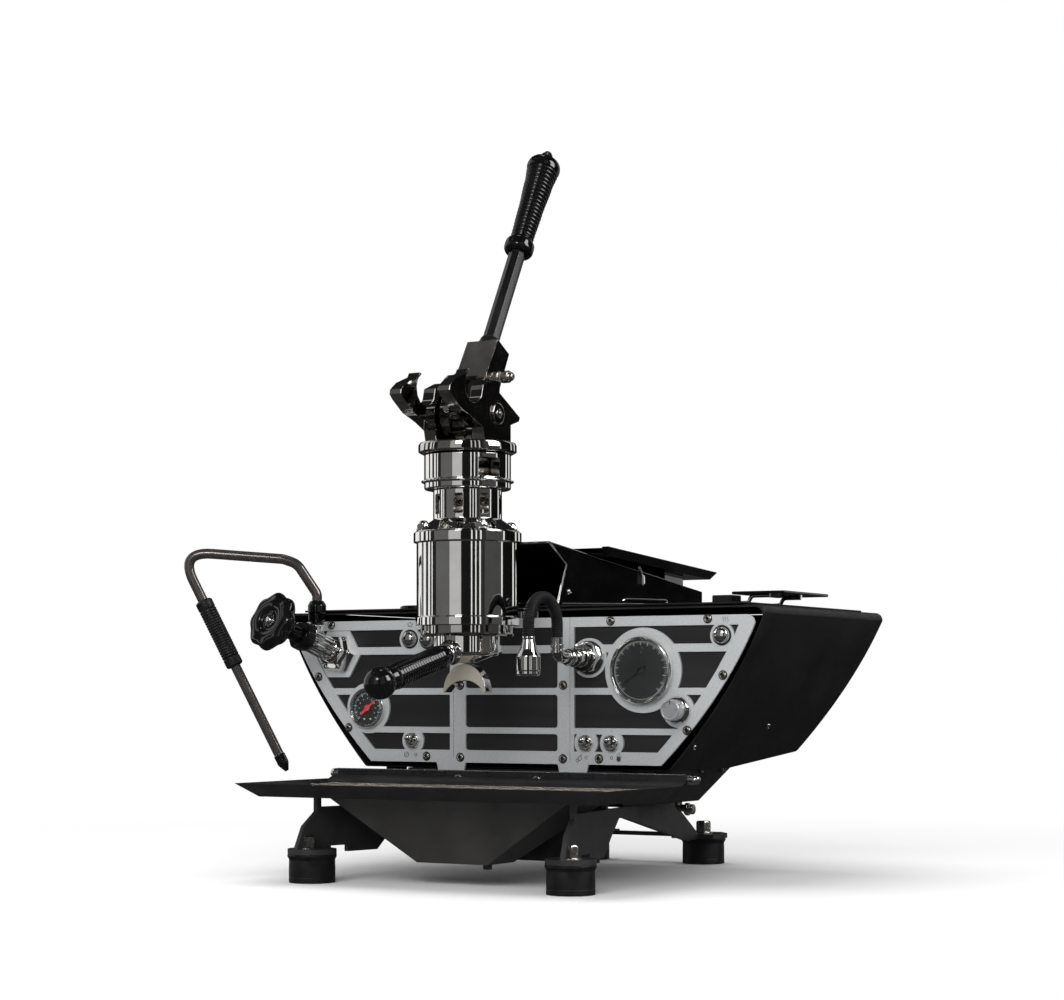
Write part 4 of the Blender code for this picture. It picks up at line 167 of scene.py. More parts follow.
room = bpy.data.worlds.new("studio")
bpy.context.scene.world = room
room_tree = shader_tree(room)
even_light = shader_node(room_tree, "Background", {"Color": WHITE, "Strength": ROOM_LIGHT})
white_room = shader_node(room_tree, "Background", {"Color": WHITE, "Strength": 1.0})
room_mix = shader_node(room_tree, "MixShader", {
    "Fac": seen_directly(room_tree),
    1: even_light.outputs["Background"],
    2: white_room.outputs["Background"],
})
shader_node(room_tree, "OutputWorld", {"Surface": room_mix.outputs["Shader"]})


# Lamps. Three large soft boxes: the main one in front of the panel, a weak one from the right and
# one overhead. Mirrors don't show them, they show the flags below.
SOFT_BOXES = (
    ("main_box", (0.8, -2.6, 1.6), 1.8, 60.0),
    ("right_box", (2.4, -0.9, 2.0), 1.8, 9.0),
    ("top_box", (-0.6, 0.1, 2.9), 2.2, 44.0),
)
LAMP_AIM = Vector((0.0, 0.0, 0.25))

for box_name, box_place, box_side, box_power in SOFT_BOXES:
    lamp = bpy.data.lights.new(box_name, "AREA")
    lamp.shape = "SQUARE"
    lamp.size = box_side
    lamp.energy = box_power
    soft_box = added(box_name, lamp)
    soft_box.location = box_place
    soft_box.rotation_euler = (LAMP_AIM - Vector(box_place)).to_track_quat("-Z", "Y").to_euler()
    soft_box.visible_glossy = False
    soft_box.visible_camera = False


# Flags. Dark and grey cards stand round the machine, so that its chrome shows upright bands with
# the white room in the gaps between them, and a few brighter ones above eye height give the gloss
# its small highlights. Only mirrors see them. Angles are in degrees to the right of the camera.
FLAG_RADIUS = 2.6
FLAG_LOW = -0.6
FLAG_HIGH = 2.6
FLAG_STEP = 3.0
FLAG_ANGLES = (
    (-185.0, -143.0, 0.015), (-120.0, -113.0, 0.020), (-103.0, -95.0, 0.020), (-89.0, -84.0, 0.020),
    (-81.0, -71.0, 0.020), (-71.0, -38.0, 0.130), (-38.0, -13.0, 0.540), (-13.0, 8.0, 0.010),
    (10.5, 17.0, 0.015), (19.5, 26.0, 0.020), (29.0, 38.0, 0.030), (38.0, 80.0, 0.070),
    (84.0, 121.0, 0.006), (127.0, 139.0, 0.020), (148.0, 175.0, 0.015),
)
FLAT_FLAGS = (("flag_ceiling", 2.6, 0.020), ("flag_floor", 0.0004, 0.040))
CARD_RADIUS = 2.1
BRIGHT_CARDS = (
    ("front_card", -26.0, -12.0, 1.00, 1.50, 12.0),
    ("right_card", 50.0, 78.0, 0.84, 2.45, 9.0),
)
OVER_CARDS = (
    ("over_card", (-0.30, 0.10), (0.05, 0.40), 2.30, 4.00),
    ("knuckle_card_dim", (-1.60, -0.77), (-1.00, -0.56), 2.56, 0.09),
    ("knuckle_card_bright", (-1.60, -0.96), (-1.00, -0.77), 2.56, 0.90),
)


def flag(name, rows, shade):
    """A card of one even grey through rows of points, seen only in mirrors."""
    material = bpy.data.materials.new(name)
    tree = shader_tree(material)
    glow = shader_node(tree, "Emission", {"Color": WHITE, "Strength": shade})
    shader_node(tree, "OutputMaterial", {"Surface": glow.outputs["Emission"]})
    width = len(rows[0])
    starts = [row * width + step for row in range(len(rows) - 1) for step in range(width - 1)]
    mesh = bpy.data.meshes.new(name)
    mesh.from_pydata([point for row in rows for point in row], [],
                     [(start, start + 1, start + width + 1, start + width) for start in starts])
    mesh.materials.append(material)
    card = added(name, mesh)
    for rays in ("camera", "diffuse", "transmission", "volume_scatter", "shadow"):
        setattr(card, "visible_" + rays, False)


def flag_ring(radius, height, start=-180.0, end=180.0):
    """Points round the machine at one height, between two angles to the right of the view."""
    steps = max(2, round((end - start) / FLAG_STEP))
    angles = [math.radians(CAMERA_TURN + start + (end - start) * step / steps) for step in range(steps + 1)]
    return [(radius * math.sin(angle), -radius * math.cos(angle), height) for angle in angles]


for start, end, shade in FLAG_ANGLES:
    flag(f"flag_{round(start)}", [flag_ring(FLAG_RADIUS, height, start, end) for height in (FLAG_LOW, FLAG_HIGH)],
         shade)
for name, height, shade in FLAT_FLAGS:
    flag(name, [flag_ring(radius, height) for radius in (FLAG_RADIUS, 0.0)], shade)
for name, start, end, low, high, shade in BRIGHT_CARDS:
    flag(name, [flag_ring(CARD_RADIUS, height, start, end) for height in (low, high)], shade)
for name, near_corner, far_corner, height, shade in OVER_CARDS:
    flag(name, [[(x, y, height) for x in (near_corner[0], far_corner[0])]
                for y in (near_corner[1], far_corner[1])], shade)


# Rubber feet. Four turned rubber buffers, moulded onto a steel disc and bolted under the frame.
# The rubber is matt and nearly black, with a shallow waist and fine moulding lines.
FOOT_RADIUS = 0.0242
FOOT_HEIGHT = 0.0275
FOOT_DISC = 0.0020
FOOT_SHARES = ((0, 1), (1, 1), (1, 0.927), (0.93, 0.825), (0.94, 0.50), (0.94, 0.24), (0.93, 0.22),
               (0.94, 0.20), (0.94, 0), (0, 0))
FOOT_PLACES = {
    "front_left": (-0.1450, -0.1380),
    "front_right": (0.1450, -0.1380),
    "rear_left": (-0.0710, 0.2930),
    "rear_right": (0.0710, 0.2930),
}
SHARP_TURN = math.radians(38.0)
CORNER_REACH_SHARE = 0.49
CLOUD_SHARES = (0.30, 0.70)


def rounded(points, radius, steps=4):
    """The same line with every corner between its ends turned into a small curve."""
    softened = [tuple(points[0])]
    for before, corner, after in zip(*(map(Vector, points[shift:]) for shift in range(3))):
        start, end = (
            corner + way.normalized() * min(radius, way.length * CORNER_REACH_SHARE)
            for way in (before - corner, after - corner)
        )
        for share in (step / steps for step in range(steps + 1)):
            softened.append(tuple(start * (1 - share) ** 2 + corner * 2 * share * (1 - share) + end * share**2))
    return softened + [tuple(points[-1])]


def moved(mesh, at, turn):
    """The mesh put down at a place, turned."""
    mesh.transform(Matrix.Translation(at) @ Euler(turn).to_matrix().to_4x4())
    return mesh


def turned(profile, steps=72, at=ORIGIN, turn=ORIGIN, across=0.0):
    """A turned shape from (radius, z) points. With across it is trimmed to a hexagon that wide."""
    shape = bmesh.new()
    rings = []
    for radius, z in profile:
        ring = []
        for step in range(steps if radius > 0 else 1):
            angle = math.tau * step / steps
            reach = radius
            if across:
                reach = min(radius, across / 2 / math.cos(angle % (math.pi / 3) - math.pi / 6))
            ring.append(shape.verts.new((reach * math.cos(angle), reach * math.sin(angle), z)))
        rings.append(ring)
    if profile[0][0] > 0:
        rings.append(rings[0])
    for upper, lower in zip(rings, rings[1:]):
        for step in range(steps):
            corners = [upper[step % len(upper)], upper[(step + 1) % len(upper)],
                       lower[(step + 1) % len(lower)], lower[step % len(lower)]]
            face = list(dict.fromkeys(corners))
            if len(face) > 2:
                shape.faces.new(face)
    bmesh.ops.recalc_face_normals(shape, faces=shape.faces)
    return moved(mesh_from(shape, "turned"), at, turn)


def lathe(profile, edge, curve=4, **place):
    """A turned shape with the corners of its profile rounded."""
    return turned(rounded(profile, edge, curve), **place)


def sized(shares, radius, height, low=0.0):
    """A profile from shares of a radius and of a height."""
    return [(radius * out, low + height * up) for out, up in shares]


def finish(name, shades, rough, metallic=0.0, grain=0.0010, relief=0.0, cloud=0.03, stretch=(1, 1, 1),
           sheen=0.5):
    """A surface between two shades and two roughnesses, in soft clouds, with a fine grain of some relief."""
    material = bpy.data.materials.new(name)
    material.use_nodes = True
    tree = material.node_tree
    place = shader_node(tree, "TexCoord")
    pull = shader_node(tree, "Mapping", {"Vector": place.outputs["Object"], "Scale": stretch}).outputs["Vector"]
    clouds = shader_node(tree, "TexNoise", {"Vector": pull, "Scale": 1 / cloud, "Detail": 6.0}).outputs["Fac"]
    tone = shader_node(tree, "ValToRGB", {"Fac": clouds})
    for end, share, shade in zip(tone.color_ramp.elements, CLOUD_SHARES, shades):
        end.position = share
        end.color = (*shade, 1)
    polish = shader_node(tree, "MapRange", {
        "Value": clouds, "From Min": CLOUD_SHARES[0], "From Max": CLOUD_SHARES[1],
        "To Min": rough[0], "To Max": rough[1],
    })
    shader = tree.nodes["Principled BSDF"]
    shader.inputs["Metallic"].default_value = metallic
    shader.inputs["Specular IOR Level"].default_value = sheen
    tree.links.new(tone.outputs["Color"], shader.inputs["Base Color"])
    tree.links.new(polish.outputs["Result"], shader.inputs["Roughness"])
    if relief:
        fine = shader_node(tree, "TexNoise", {"Vector": pull, "Scale": 1 / grain, "Detail": 3.0})
        bump = shader_node(tree, "Bump", {"Distance": relief, "Height": fine.outputs["Fac"]})
        tree.links.new(bump.outputs["Normal"], shader.inputs["Normal"])
    return material


def show(name, parts, material, body="machine", at=ORIGIN, turn=ORIGIN, slot=None, node=None):
    """Joins parts into one piece, puts it in its place and lets it move with its body. A piece with a
    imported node's name stands for that node."""
    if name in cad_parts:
        name, node = name + "_shown", name
    whole = bmesh.new()
    for part in parts:
        whole.from_mesh(part)
        bpy.data.meshes.remove(part)
    mesh = mesh_from(whole, name)
    mesh.transform(Euler(turn).to_matrix().to_4x4())
    mesh.polygons.foreach_set("use_smooth", [True] * len(mesh.polygons))
    mesh.set_sharp_from_angle(angle=SHARP_TURN)
    mesh.materials.clear()
    mesh.materials.append(material)
    piece = added(name, mesh)
    piece.location = spot(*at)
    piece.modifiers.new("even_shading", "WEIGHTED_NORMAL").keep_sharp = True
    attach(piece, body)
    if node:
        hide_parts(node)
    return piece


rubber = finish("moulded_rubber", ((0.0040, 0.0040, 0.0046), (0.0080, 0.0080, 0.0088)),
                (0.34, 0.50), grain=0.0006, relief=0.00003, cloud=0.012, sheen=0.4)
for corner_name, (foot_x, foot_y) in FOOT_PLACES.items():
    show("rubber_foot_" + corner_name, [lathe(sized(FOOT_SHARES, FOOT_RADIUS, FOOT_HEIGHT), FOOT_DISC / 3)],
         rubber, at=(foot_x, foot_y, 0))


# Leg frame. Welded from 5 mm plates: two inverted-V side plates, four foot plates and two cross
# members, powder coated in fine black. Each foot is held by a plated bolt with its washer.
LEG_EDGE = 0.0007
FOOT_PLATE_TOP = 0.0328
FOOT_PLATE_TRIM = (0.0240, 0.0480)
BOLT_ACROSS = 0.0152
BOLT_HEIGHT = 0.0120
WASHER_RADIUS = 0.0104
WASHER_THICKNESS = 0.0012
BOLT_SHIFTS = {"front_right": (0.0040, -0.0080), "front_left": (-0.0020, -0.0060)}
WELD_REACH = 0.00002
FLAT_TURN = math.radians(0.6)


def worked(mesh, cutters=(), edge=0.0, steps=2, angle=32.0):
    """The mesh with cutters taken out of it and its edges then broken."""
    holder = added("holder", mesh)
    tools = [added("cutter", cutter) for cutter in cutters]
    for tool in tools:
        cut = holder.modifiers.new("cut", "BOOLEAN")
        cut.operation = "DIFFERENCE"
        cut.object = tool
    if edge:
        break_edges = holder.modifiers.new("edges", "BEVEL")
        break_edges.width = edge
        break_edges.segments = steps
        break_edges.limit_method = "ANGLE"
        break_edges.angle_limit = math.radians(angle)
        break_edges.use_clamp_overlap = True
    graph = bpy.context.evaluated_depsgraph_get()
    result = bpy.data.meshes.new_from_object(holder.evaluated_get(graph))
    for used in [holder, *tools]:
        old = used.data
        bpy.data.objects.remove(used)
        bpy.data.meshes.remove(old)
    return result


def from_solid(node, edge=0.0, **breaking):
    """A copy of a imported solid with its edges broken, where the solid already has the piece's shape."""
    shape = bmesh.new()
    shape.from_mesh(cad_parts[node].data)
    bmesh.ops.remove_doubles(shape, verts=shape.verts, dist=WELD_REACH)
    bmesh.ops.dissolve_limit(shape, angle_limit=FLAT_TURN, verts=shape.verts, edges=shape.edges)
    bmesh.ops.recalc_face_normals(shape, faces=shape.faces)
    mesh = mesh_from(shape, node)
    mesh.transform(Matrix.Translation(-MACHINE))
    return worked(mesh, edge=edge, **breaking) if edge else mesh


def pipe(points, radius, smooth=12, swell=None, at=ORIGIN, turn=ORIGIN):
    """A round bar along points. Swell gives a share of the radius at each of them."""
    curve = bpy.data.curves.new("pipe", "CURVE")
    curve.dimensions = "3D"
    curve.bevel_depth = radius
    curve.bevel_resolution = smooth
    curve.use_fill_caps = True
    line = curve.splines.new("POLY")
    line.points.add(len(points) - 1)
    for index, point in enumerate(points):
        line.points[index].co = (*point, 1)
        if swell:
            line.points[index].radius = swell[index]
    holder = added("pipe", curve)
    graph = bpy.context.evaluated_depsgraph_get()
    mesh = bpy.data.meshes.new_from_object(holder.evaluated_get(graph))
    bpy.data.objects.remove(holder)
    bpy.data.curves.remove(curve)
    return moved(mesh, at, turn)


def hexagon_head(across, height, at=ORIGIN, turn=ORIGIN):
    """A hexagon bolt head with its corners turned down."""
    corner = across / 2 / math.cos(math.pi / 6)
    profile = [(0, height), (across * 0.46, height), (corner, height - corner * 0.16), (corner, corner * 0.06),
               (across * 0.49, 0), (0, 0)]
    return turned(profile, at=at, turn=turn, across=across)


def plate(outline, thickness, at=ORIGIN, turn=ORIGIN, edge=0.0, steps=2):
    """A flat plate from its outline, centred on its own plane."""
    shape = bmesh.new()
    face = shape.faces.new([shape.verts.new((x, y, -thickness / 2)) for x, y in outline])
    raised = bmesh.ops.extrude_face_region(shape, geom=[face])["geom"]
    bmesh.ops.translate(shape, vec=(0, 0, thickness),
                        verts=[part for part in raised if isinstance(part, bmesh.types.BMVert)])
    bmesh.ops.recalc_face_normals(shape, faces=shape.faces)
    mesh = mesh_from(shape, "plate")
    return moved(worked(mesh, edge=edge, steps=steps) if edge else mesh, at, turn)


def block(low, high, edge=0.0, at=ORIGIN, turn=ORIGIN, steps=3):
    """A block between two corners, its edges rounded."""
    outline = [(low[0], low[1]), (high[0], low[1]), (high[0], high[1]), (low[0], high[1])]
    mesh = plate(outline, high[2] - low[2], (0, 0, (low[2] + high[2]) / 2))
    return moved(worked(mesh, edge=edge, steps=steps) if edge else mesh, at, turn)


def washer(radius, thickness, at=ORIGIN, turn=ORIGIN):
    """A flat round disc."""
    return lathe([(0, thickness), (radius, thickness), (radius, 0), (0, 0)], thickness / 3, at=at, turn=turn)


powder_coat = finish("black_powder_coat_shown",
                     ((0.0042, 0.0042, 0.0046), (0.0080, 0.0080, 0.0086)), (0.44, 0.60), grain=0.0011,
                     relief=0.00014, cloud=0.05, sheen=0.35)
plated = finish("plated_bolts", ((0.54, 0.51, 0.47), (0.72, 0.70, 0.66)), (0.18, 0.30),
                metallic=1.0, grain=0.0006, relief=0.00002, cloud=0.004)
# The legs are the hull's fine black coat in lighter shades, painted light that lifts the shade under the machine.
leg_coat_painted_light = finish("leg_powder_coat_painted_light", ((0.015, 0.015, 0.016), (0.025, 0.025, 0.0265)),
                  (0.42, 0.56), grain=0.0012, relief=0.00032, cloud=0.03)
plate_low = FOOT_HEIGHT - FOOT_DISC
plate_high = FOOT_PLATE_TOP + FOOT_DISC
trim_near, trim_far = FOOT_PLATE_TRIM
plate_cuts = []
bolts = []
for corner_name, (foot_x, foot_y) in FOOT_PLACES.items():
    shift_x, shift_y = BOLT_SHIFTS.get(corner_name, (0, 0))
    bolt_x, bolt_y = foot_x + shift_x, foot_y + shift_y
    bolts.append(washer(WASHER_RADIUS, WASHER_THICKNESS, (bolt_x, bolt_y, FOOT_PLATE_TOP)))
    bolts.append(hexagon_head(BOLT_ACROSS, BOLT_HEIGHT, (bolt_x, bolt_y, FOOT_PLATE_TOP + WASHER_THICKNESS)))
    if foot_y < 0:
        plate_cuts.append(turned([
            (trim_far, plate_low + FOOT_DISC / 2), (trim_far, plate_low), (trim_near, plate_low),
            (trim_near, plate_high), (trim_far, plate_high),
        ], steps=64, at=(foot_x, foot_y, 0)))
        continue
    outward = 0 if foot_x > 0 else 180
    for degrees in (outward, 45 + outward / 2, 90):
        plate_cuts.append(block((trim_near, -trim_far, plate_low), (trim_far, trim_far, plate_high),
                                at=(foot_x, foot_y, 0), turn=(0, 0, math.radians(degrees))))
show("leg_frame", [worked(from_solid("leg_frame"), plate_cuts, edge=LEG_EDGE)], leg_coat_painted_light)
show("foot_bolts", bolts, plated)


# Hull. A boat-shaped shell bent from sheet and welded, in the same fine black powder coat. Its
# mouth stands a little proud of the trim all round, and its tail is drawn in.
SHIELD_TOP_HALF = 0.2670
SHIELD_BOTTOM_HALF = 0.1680
SHIELD_TOP = 0.2606
SHIELD_BOTTOM = 0.1152
SHIELD_SHOULDER = 0.0090
SHIELD_BULGE = 0.0095
SHIELD_CORNER = 0.0085
HULL_BORDER = 0.0095
LOW_BORDER_SHARE = 0.6
HULL_WALL = 0.0025
HULL_FRONT = 0.0028
HULL_DEPTH = 0.3030
HULL_TOP = SHIELD_TOP + HULL_BORDER
HULL_BOTTOM = SHIELD_BOTTOM - HULL_BORDER * LOW_BORDER_SHARE
HULL_REAR_SLANT = 0.0280
HULL_TAIL_RISE = 0.0140
HULL_TAIL_START = 0.1350
HULL_EDGE = 0.0022
DECK_OPENING_HALF = 0.2480
DECK_LIP = 0.0060
PAST = 0.0300
FACING_FRONT = (math.pi / 2, 0, 0)
FACING_SIDE = (math.pi / 2, 0, math.pi / 2)


def shield_side(z, border):
    """Half width of the shield-shaped front at a height, widened by a border."""
    low = SHIELD_BOTTOM - border * LOW_BORDER_SHARE
    share = (z - low) / (SHIELD_TOP + border - SHIELD_SHOULDER - low)
    straight = SHIELD_BOTTOM_HALF + (SHIELD_TOP_HALF - SHIELD_BOTTOM_HALF) * share
    return straight + border + 4 * SHIELD_BULGE * share * (1 - share)


def shield(border, feet=(), steps=16):
    """The front's outline, with feet as the points of the tabs under its right half."""
    low = SHIELD_BOTTOM - border * LOW_BORDER_SHARE
    shoulder = SHIELD_TOP + border - SHIELD_SHOULDER
    half = list(feet)
    for step in range(steps + 1):
        z = low + (shoulder - low) * step / steps
        half.append((shield_side(z, border), z))
    corner_x = half[-1][0] - SHIELD_CORNER
    for step in range(1, steps + 1):
        angle = math.pi / 2 * step / steps
        half.append((corner_x + SHIELD_CORNER * math.cos(angle), shoulder + SHIELD_CORNER * math.sin(angle)))
    return half + [(-x, z) for x, z in reversed(half)]


def prism(outline, front, rear):
    """A front outline carried from one depth to another."""
    return plate(outline, rear - front, (0, (front + rear) / 2, 0), FACING_FRONT)


def tail_wedge(start_z, rear_y, rear_z, top_y):
    """What is cut off behind and below to draw the tail in, as a side outline."""
    return plate([
        (HULL_TAIL_START, start_z), (rear_y, rear_z), (top_y, HULL_TOP), (top_y + PAST, HULL_TOP + PAST),
        (HULL_DEPTH + PAST, HULL_TOP + PAST), (HULL_DEPTH + PAST, start_z - PAST),
        (HULL_TAIL_START, start_z - PAST),
    ], 4 * SHIELD_TOP_HALF, turn=FACING_SIDE)


hull_inside = worked(prism(shield(HULL_BORDER - HULL_WALL), -PAST, HULL_DEPTH), [
    tail_wedge(HULL_BOTTOM + HULL_WALL, HULL_DEPTH - HULL_REAR_SLANT - HULL_WALL,
               HULL_BOTTOM + HULL_WALL + HULL_TAIL_RISE, HULL_DEPTH - HULL_WALL),
])
hull = worked(prism(shield(HULL_BORDER), HULL_FRONT, HULL_DEPTH), [
    tail_wedge(HULL_BOTTOM, HULL_DEPTH - HULL_REAR_SLANT, HULL_BOTTOM + HULL_TAIL_RISE, HULL_DEPTH),
], edge=HULL_EDGE, steps=4)
deck_opening = block((-DECK_OPENING_HALF, DECK_LIP, HULL_TOP - HULL_BORDER / 2),
                     (DECK_OPENING_HALF, HULL_DEPTH - 2 * DECK_LIP, HULL_TOP + PAST))
show("body_shell", [worked(hull, [hull_inside, deck_opening])], powder_coat)


# Hull fastenings. Small bright screws in the hull's and keel's sides, two short brackets that tie
# the hull to the keel, and a low sheet between the front legs.
HULL_SCREW_RADIUS = 0.0030
HULL_SCREWS = ((1, 0.0120, 0.1330), (1, 0.1500, 0.1520), (-1, 0.1500, 0.1520))
KEEL_HALF = 0.1250
KEEL_SCREW_RADIUS = 0.0039
KEEL_SCREWS = ((0.0300, 0.1015), (0.0500, 0.1015), (0.1770, 0.1060), (0.2270, 0.1060))
KEEL_EDGE = 0.0016
BRACKET_SIZE = (0.0140, 0.0200, 0.0080)
BRACKET_PLACE = (0.1560, 0.0300)
BRACKET_EDGE = 0.0015
CROSS_SHEET = ((-0.1243, -0.0300, 0.0640), (0.1243, -0.0270, 0.0830))
CROSS_SHEET_EDGE = 0.0006
SCREW_HEAD_SHARES = ((0.50, 0.40), (0.50, 1), (0.70, 0.97), (0.95, 0.55), (1, 0.25), (1, 0), (0.50, 0))
SCREW_SOCKET_SHARES = ((0.80, 0.80), (0.80, 0.10), (0, 0.05), (0, 0), (0.85, 0), (0.85, 0.75))


def socket_screw(radius, height, at=ORIGIN, turn=ORIGIN, steps=36):
    """A round-headed screw with a hexagon socket, as its head and its socket."""
    head = lathe(sized(SCREW_HEAD_SHARES, radius, height), radius * 0.10, 3, steps=steps, at=at, turn=turn)
    socket = turned(sized(SCREW_SOCKET_SHARES, radius, height), steps=steps, at=at, turn=turn,
                    across=radius * 0.84)
    return [head, socket]


show("lower_body", [from_solid("lower_body", KEEL_EDGE, steps=3)], powder_coat)
hull_screws = []
side_lean = math.atan2(SHIELD_TOP_HALF - SHIELD_BOTTOM_HALF, SHIELD_TOP - SHIELD_BOTTOM)
for side, screw_y, screw_z in HULL_SCREWS:
    hull_screws += socket_screw(HULL_SCREW_RADIUS, HULL_SCREW_RADIUS / 2,
                                (side * shield_side(screw_z, HULL_BORDER), screw_y, screw_z),
                                (0, side * (math.pi / 2 + side_lean), 0))
for screw_y, screw_z in KEEL_SCREWS:
    for side in (-1, 1):
        hull_screws += socket_screw(KEEL_SCREW_RADIUS, HULL_SCREW_RADIUS, (side * KEEL_HALF, screw_y, screw_z),
                                    (0, side * math.pi / 2, 0))
show("hull_screws", hull_screws, plated)
size_x, size_y, size_z = BRACKET_SIZE
show("hull_brackets", [
    block((-size_x / 2, -size_y / 2, -size_z), (size_x / 2, size_y / 2, HULL_WALL / 2), BRACKET_EDGE,
          at=(side * BRACKET_PLACE[0], BRACKET_PLACE[1], HULL_BOTTOM))
    for side in (-1, 1)
], powder_coat)
# The sheet has the legs' coat, with its painted light.
show("leg_cross_sheet", [block(*CROSS_SHEET, CROSS_SHEET_EDGE)], leg_coat_painted_light)


# Drain. A short bent pipe comes out under the keel's right side, with a large and a small hexagon
# nut on its end, all plated.
DRAIN_RADIUS = 0.0038
DRAIN_BEND = 0.0040
DRAIN_LINE = ((0.1120, 0.1500, 0.0735), (0.1120, 0.1500, 0.0675), (0.1280, 0.1500, 0.0660))
DRAIN_NUT = (0.0066, 0.0075)
DRAIN_NUTS = ((2.0, 1.0), (0.6, 0.8))
DRAIN_NUT_EDGE = 0.0006

drain_x, drain_y, drain_z = DRAIN_LINE[-1]
half_nut = DRAIN_NUT[1] / 2
drain_parts = [pipe(rounded(DRAIN_LINE, DRAIN_BEND, 6), DRAIN_RADIUS)]
for back, size in DRAIN_NUTS:
    nut_radius = DRAIN_NUT[0] * size
    drain_parts.append(lathe([(0, half_nut), (nut_radius, half_nut), (nut_radius, 0), (0, 0)], DRAIN_NUT_EDGE,
                             across=nut_radius * 1.86, at=(drain_x - back * half_nut, drain_y, drain_z),
                             turn=(0, math.pi / 2, 0)))
show("drain_elbow", drain_parts, plated)


# Front panel. One anthracite sheet behind the trim, brushed from side to side and lacquered. It
# shows in the trim's windows.
def repainted(node, material):
    """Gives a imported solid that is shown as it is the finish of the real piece."""
    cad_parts[node].data.materials.clear()
    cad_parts[node].data.materials.append(material)


repainted("front_panel", finish(
    "brushed_anthracite_shown", ((0.014, 0.0135, 0.0145), (0.024, 0.0235, 0.0245)),
    (0.34, 0.48), metallic=0.25, grain=0.0004, relief=0.00004, cloud=0.02, stretch=(0.03, 1.0, 1.0)))


# Trim. A light frame laser-cut from 2.5 mm aluminium, bead blasted and clear anodised, with
# windows between its strips and a ring round each control. Seams part it beside the middle posts.
TRIM_THICKNESS = 0.0025
TRIM_SIDE_STRIP = 0.0160
TRIM_TOP_STRIP = 0.0101
TRIM_BOTTOM_STRIP = 0.0126
TRIM_ROWS = (
    (SHIELD_BOTTOM + TRIM_BOTTOM_STRIP, 0.1448),
    (0.1510, 0.1838),
    (0.1905, 0.2251),
    (0.2329, SHIELD_TOP - TRIM_TOP_STRIP),
)
POST_INNER = 0.0534
POST_OUTER = 0.0720
TAB_OUTER = 0.0880
TAB_TAPER = 0.0045
TAB_LENGTH = 0.0175
WINDOW_CORNER = 0.0028
TRIM_EDGE = 0.0003
SEAM_X = 0.0675
SEAM_WIDTH = 0.0006
SEAM_DEPTH = 0.0008
BIG_GAUGE = (0.1483, 0.2075)
SMALL_GAUGE = (-0.1715, 0.1700)
TAP = (0.0888, 0.2199)
SELECTOR = (0.1865, 0.1690)
VALVE = (-0.2090, 0.2260)
VALVE_RING_ACROSS = 0.0480
TOGGLES = {"left": (-0.1165, 0.1370), "inner": (0.0855, 0.1365), "outer": (0.1140, 0.1365)}
BUTTONS = {"left_outer": (-0.1202, 0.2408), "left_inner": (-0.0987, 0.2400), "right": (0.2330, 0.2405)}
TOGGLE_RING = 0.0130
TOGGLE_HOLE = 0.0050
BUTTON_RING_RADIUS = 0.0125
BUTTON_HOLE = 0.0051
RINGS = [
    (BIG_GAUGE, 0.0415), (SMALL_GAUGE, 0.0262), (TAP, 0.0195), (SELECTOR, 0.0170), (VALVE, 0.0277),
    *[(place, TOGGLE_RING) for place in TOGGLES.values()],
    *[(place, BUTTON_RING_RADIUS) for place in BUTTONS.values()],
]
HOLES = [
    (BIG_GAUGE, 0.0306), (SMALL_GAUGE, 0.0178), (TAP, 0.0101), (SELECTOR, 0.0051),
    *[(place, TOGGLE_HOLE) for place in TOGGLES.values()],
    *[(place, BUTTON_HOLE) for place in BUTTONS.values()],
]


def front_disc(place, radius):
    """A round cutter through the front, or a hexagonal one where the valve sits."""
    across = VALVE_RING_ACROSS if place == VALVE else 0
    return turned([(0, PAST), (radius, PAST), (radius, -PAST), (0, -PAST)], at=(place[0], 0, place[1]),
                  turn=FACING_FRONT, across=across)


def trim_windows():
    """Every window as a cutter: its strip-shaped outline less the rings in it, all corners rounded."""
    windows = []
    for low, high in TRIM_ROWS:
        outer = [(shield_side(z, 0) - TRIM_SIDE_STRIP, z) for z in (low, (low + high) / 2, high)]
        right = [(POST_OUTER, low), *outer, (POST_OUTER, high)]
        left = [(-x, z) for x, z in reversed(right)]
        post = [(-POST_INNER, low), (POST_INNER, low), (POST_INNER, high), (-POST_INNER, high)]
        for outline in (right, left, post):
            edge_xs = [x for x, _ in outline]
            near = [
                front_disc(place, radius)
                for place, radius in RINGS
                if min(edge_xs) - radius < place[0] < max(edge_xs) + radius
                and low - radius < place[1] < high + radius
            ]
            cutter = plate(outline, 2 * (WINDOW_CORNER + TRIM_THICKNESS), turn=FACING_FRONT)
            windows.append(worked(cutter, near, edge=WINDOW_CORNER, steps=5, angle=25.0))
    return windows


tab_low = SHIELD_BOTTOM - TAB_LENGTH
tab_feet = [(POST_INNER, SHIELD_BOTTOM), (POST_INNER + TAB_TAPER, tab_low), (TAB_OUTER - TAB_TAPER, tab_low),
            (TAB_OUTER, SHIELD_BOTTOM)]
seams = [
    block((side * SEAM_X - SEAM_WIDTH / 2, -PAST, SHIELD_BOTTOM + TAB_TAPER),
          (side * SEAM_X + SEAM_WIDTH / 2, SEAM_DEPTH, SHIELD_TOP + PAST))
    for side in (-1, 1)
]
trim_sheet = worked(prism(shield(0, tab_feet), 0, TRIM_THICKNESS),
                    [*trim_windows(), *[front_disc(*hole) for hole in HOLES], *seams], edge=TRIM_EDGE,
                    angle=50.0)
anodised = finish("anodised_trim", ((0.445, 0.460, 0.468), (0.530, 0.548, 0.556)),
                  (0.38, 0.52), metallic=0.30, grain=0.0009, relief=0.00003, cloud=0.0022)
show("trim_shown", [trim_sheet], anodised, node="trim_frame")
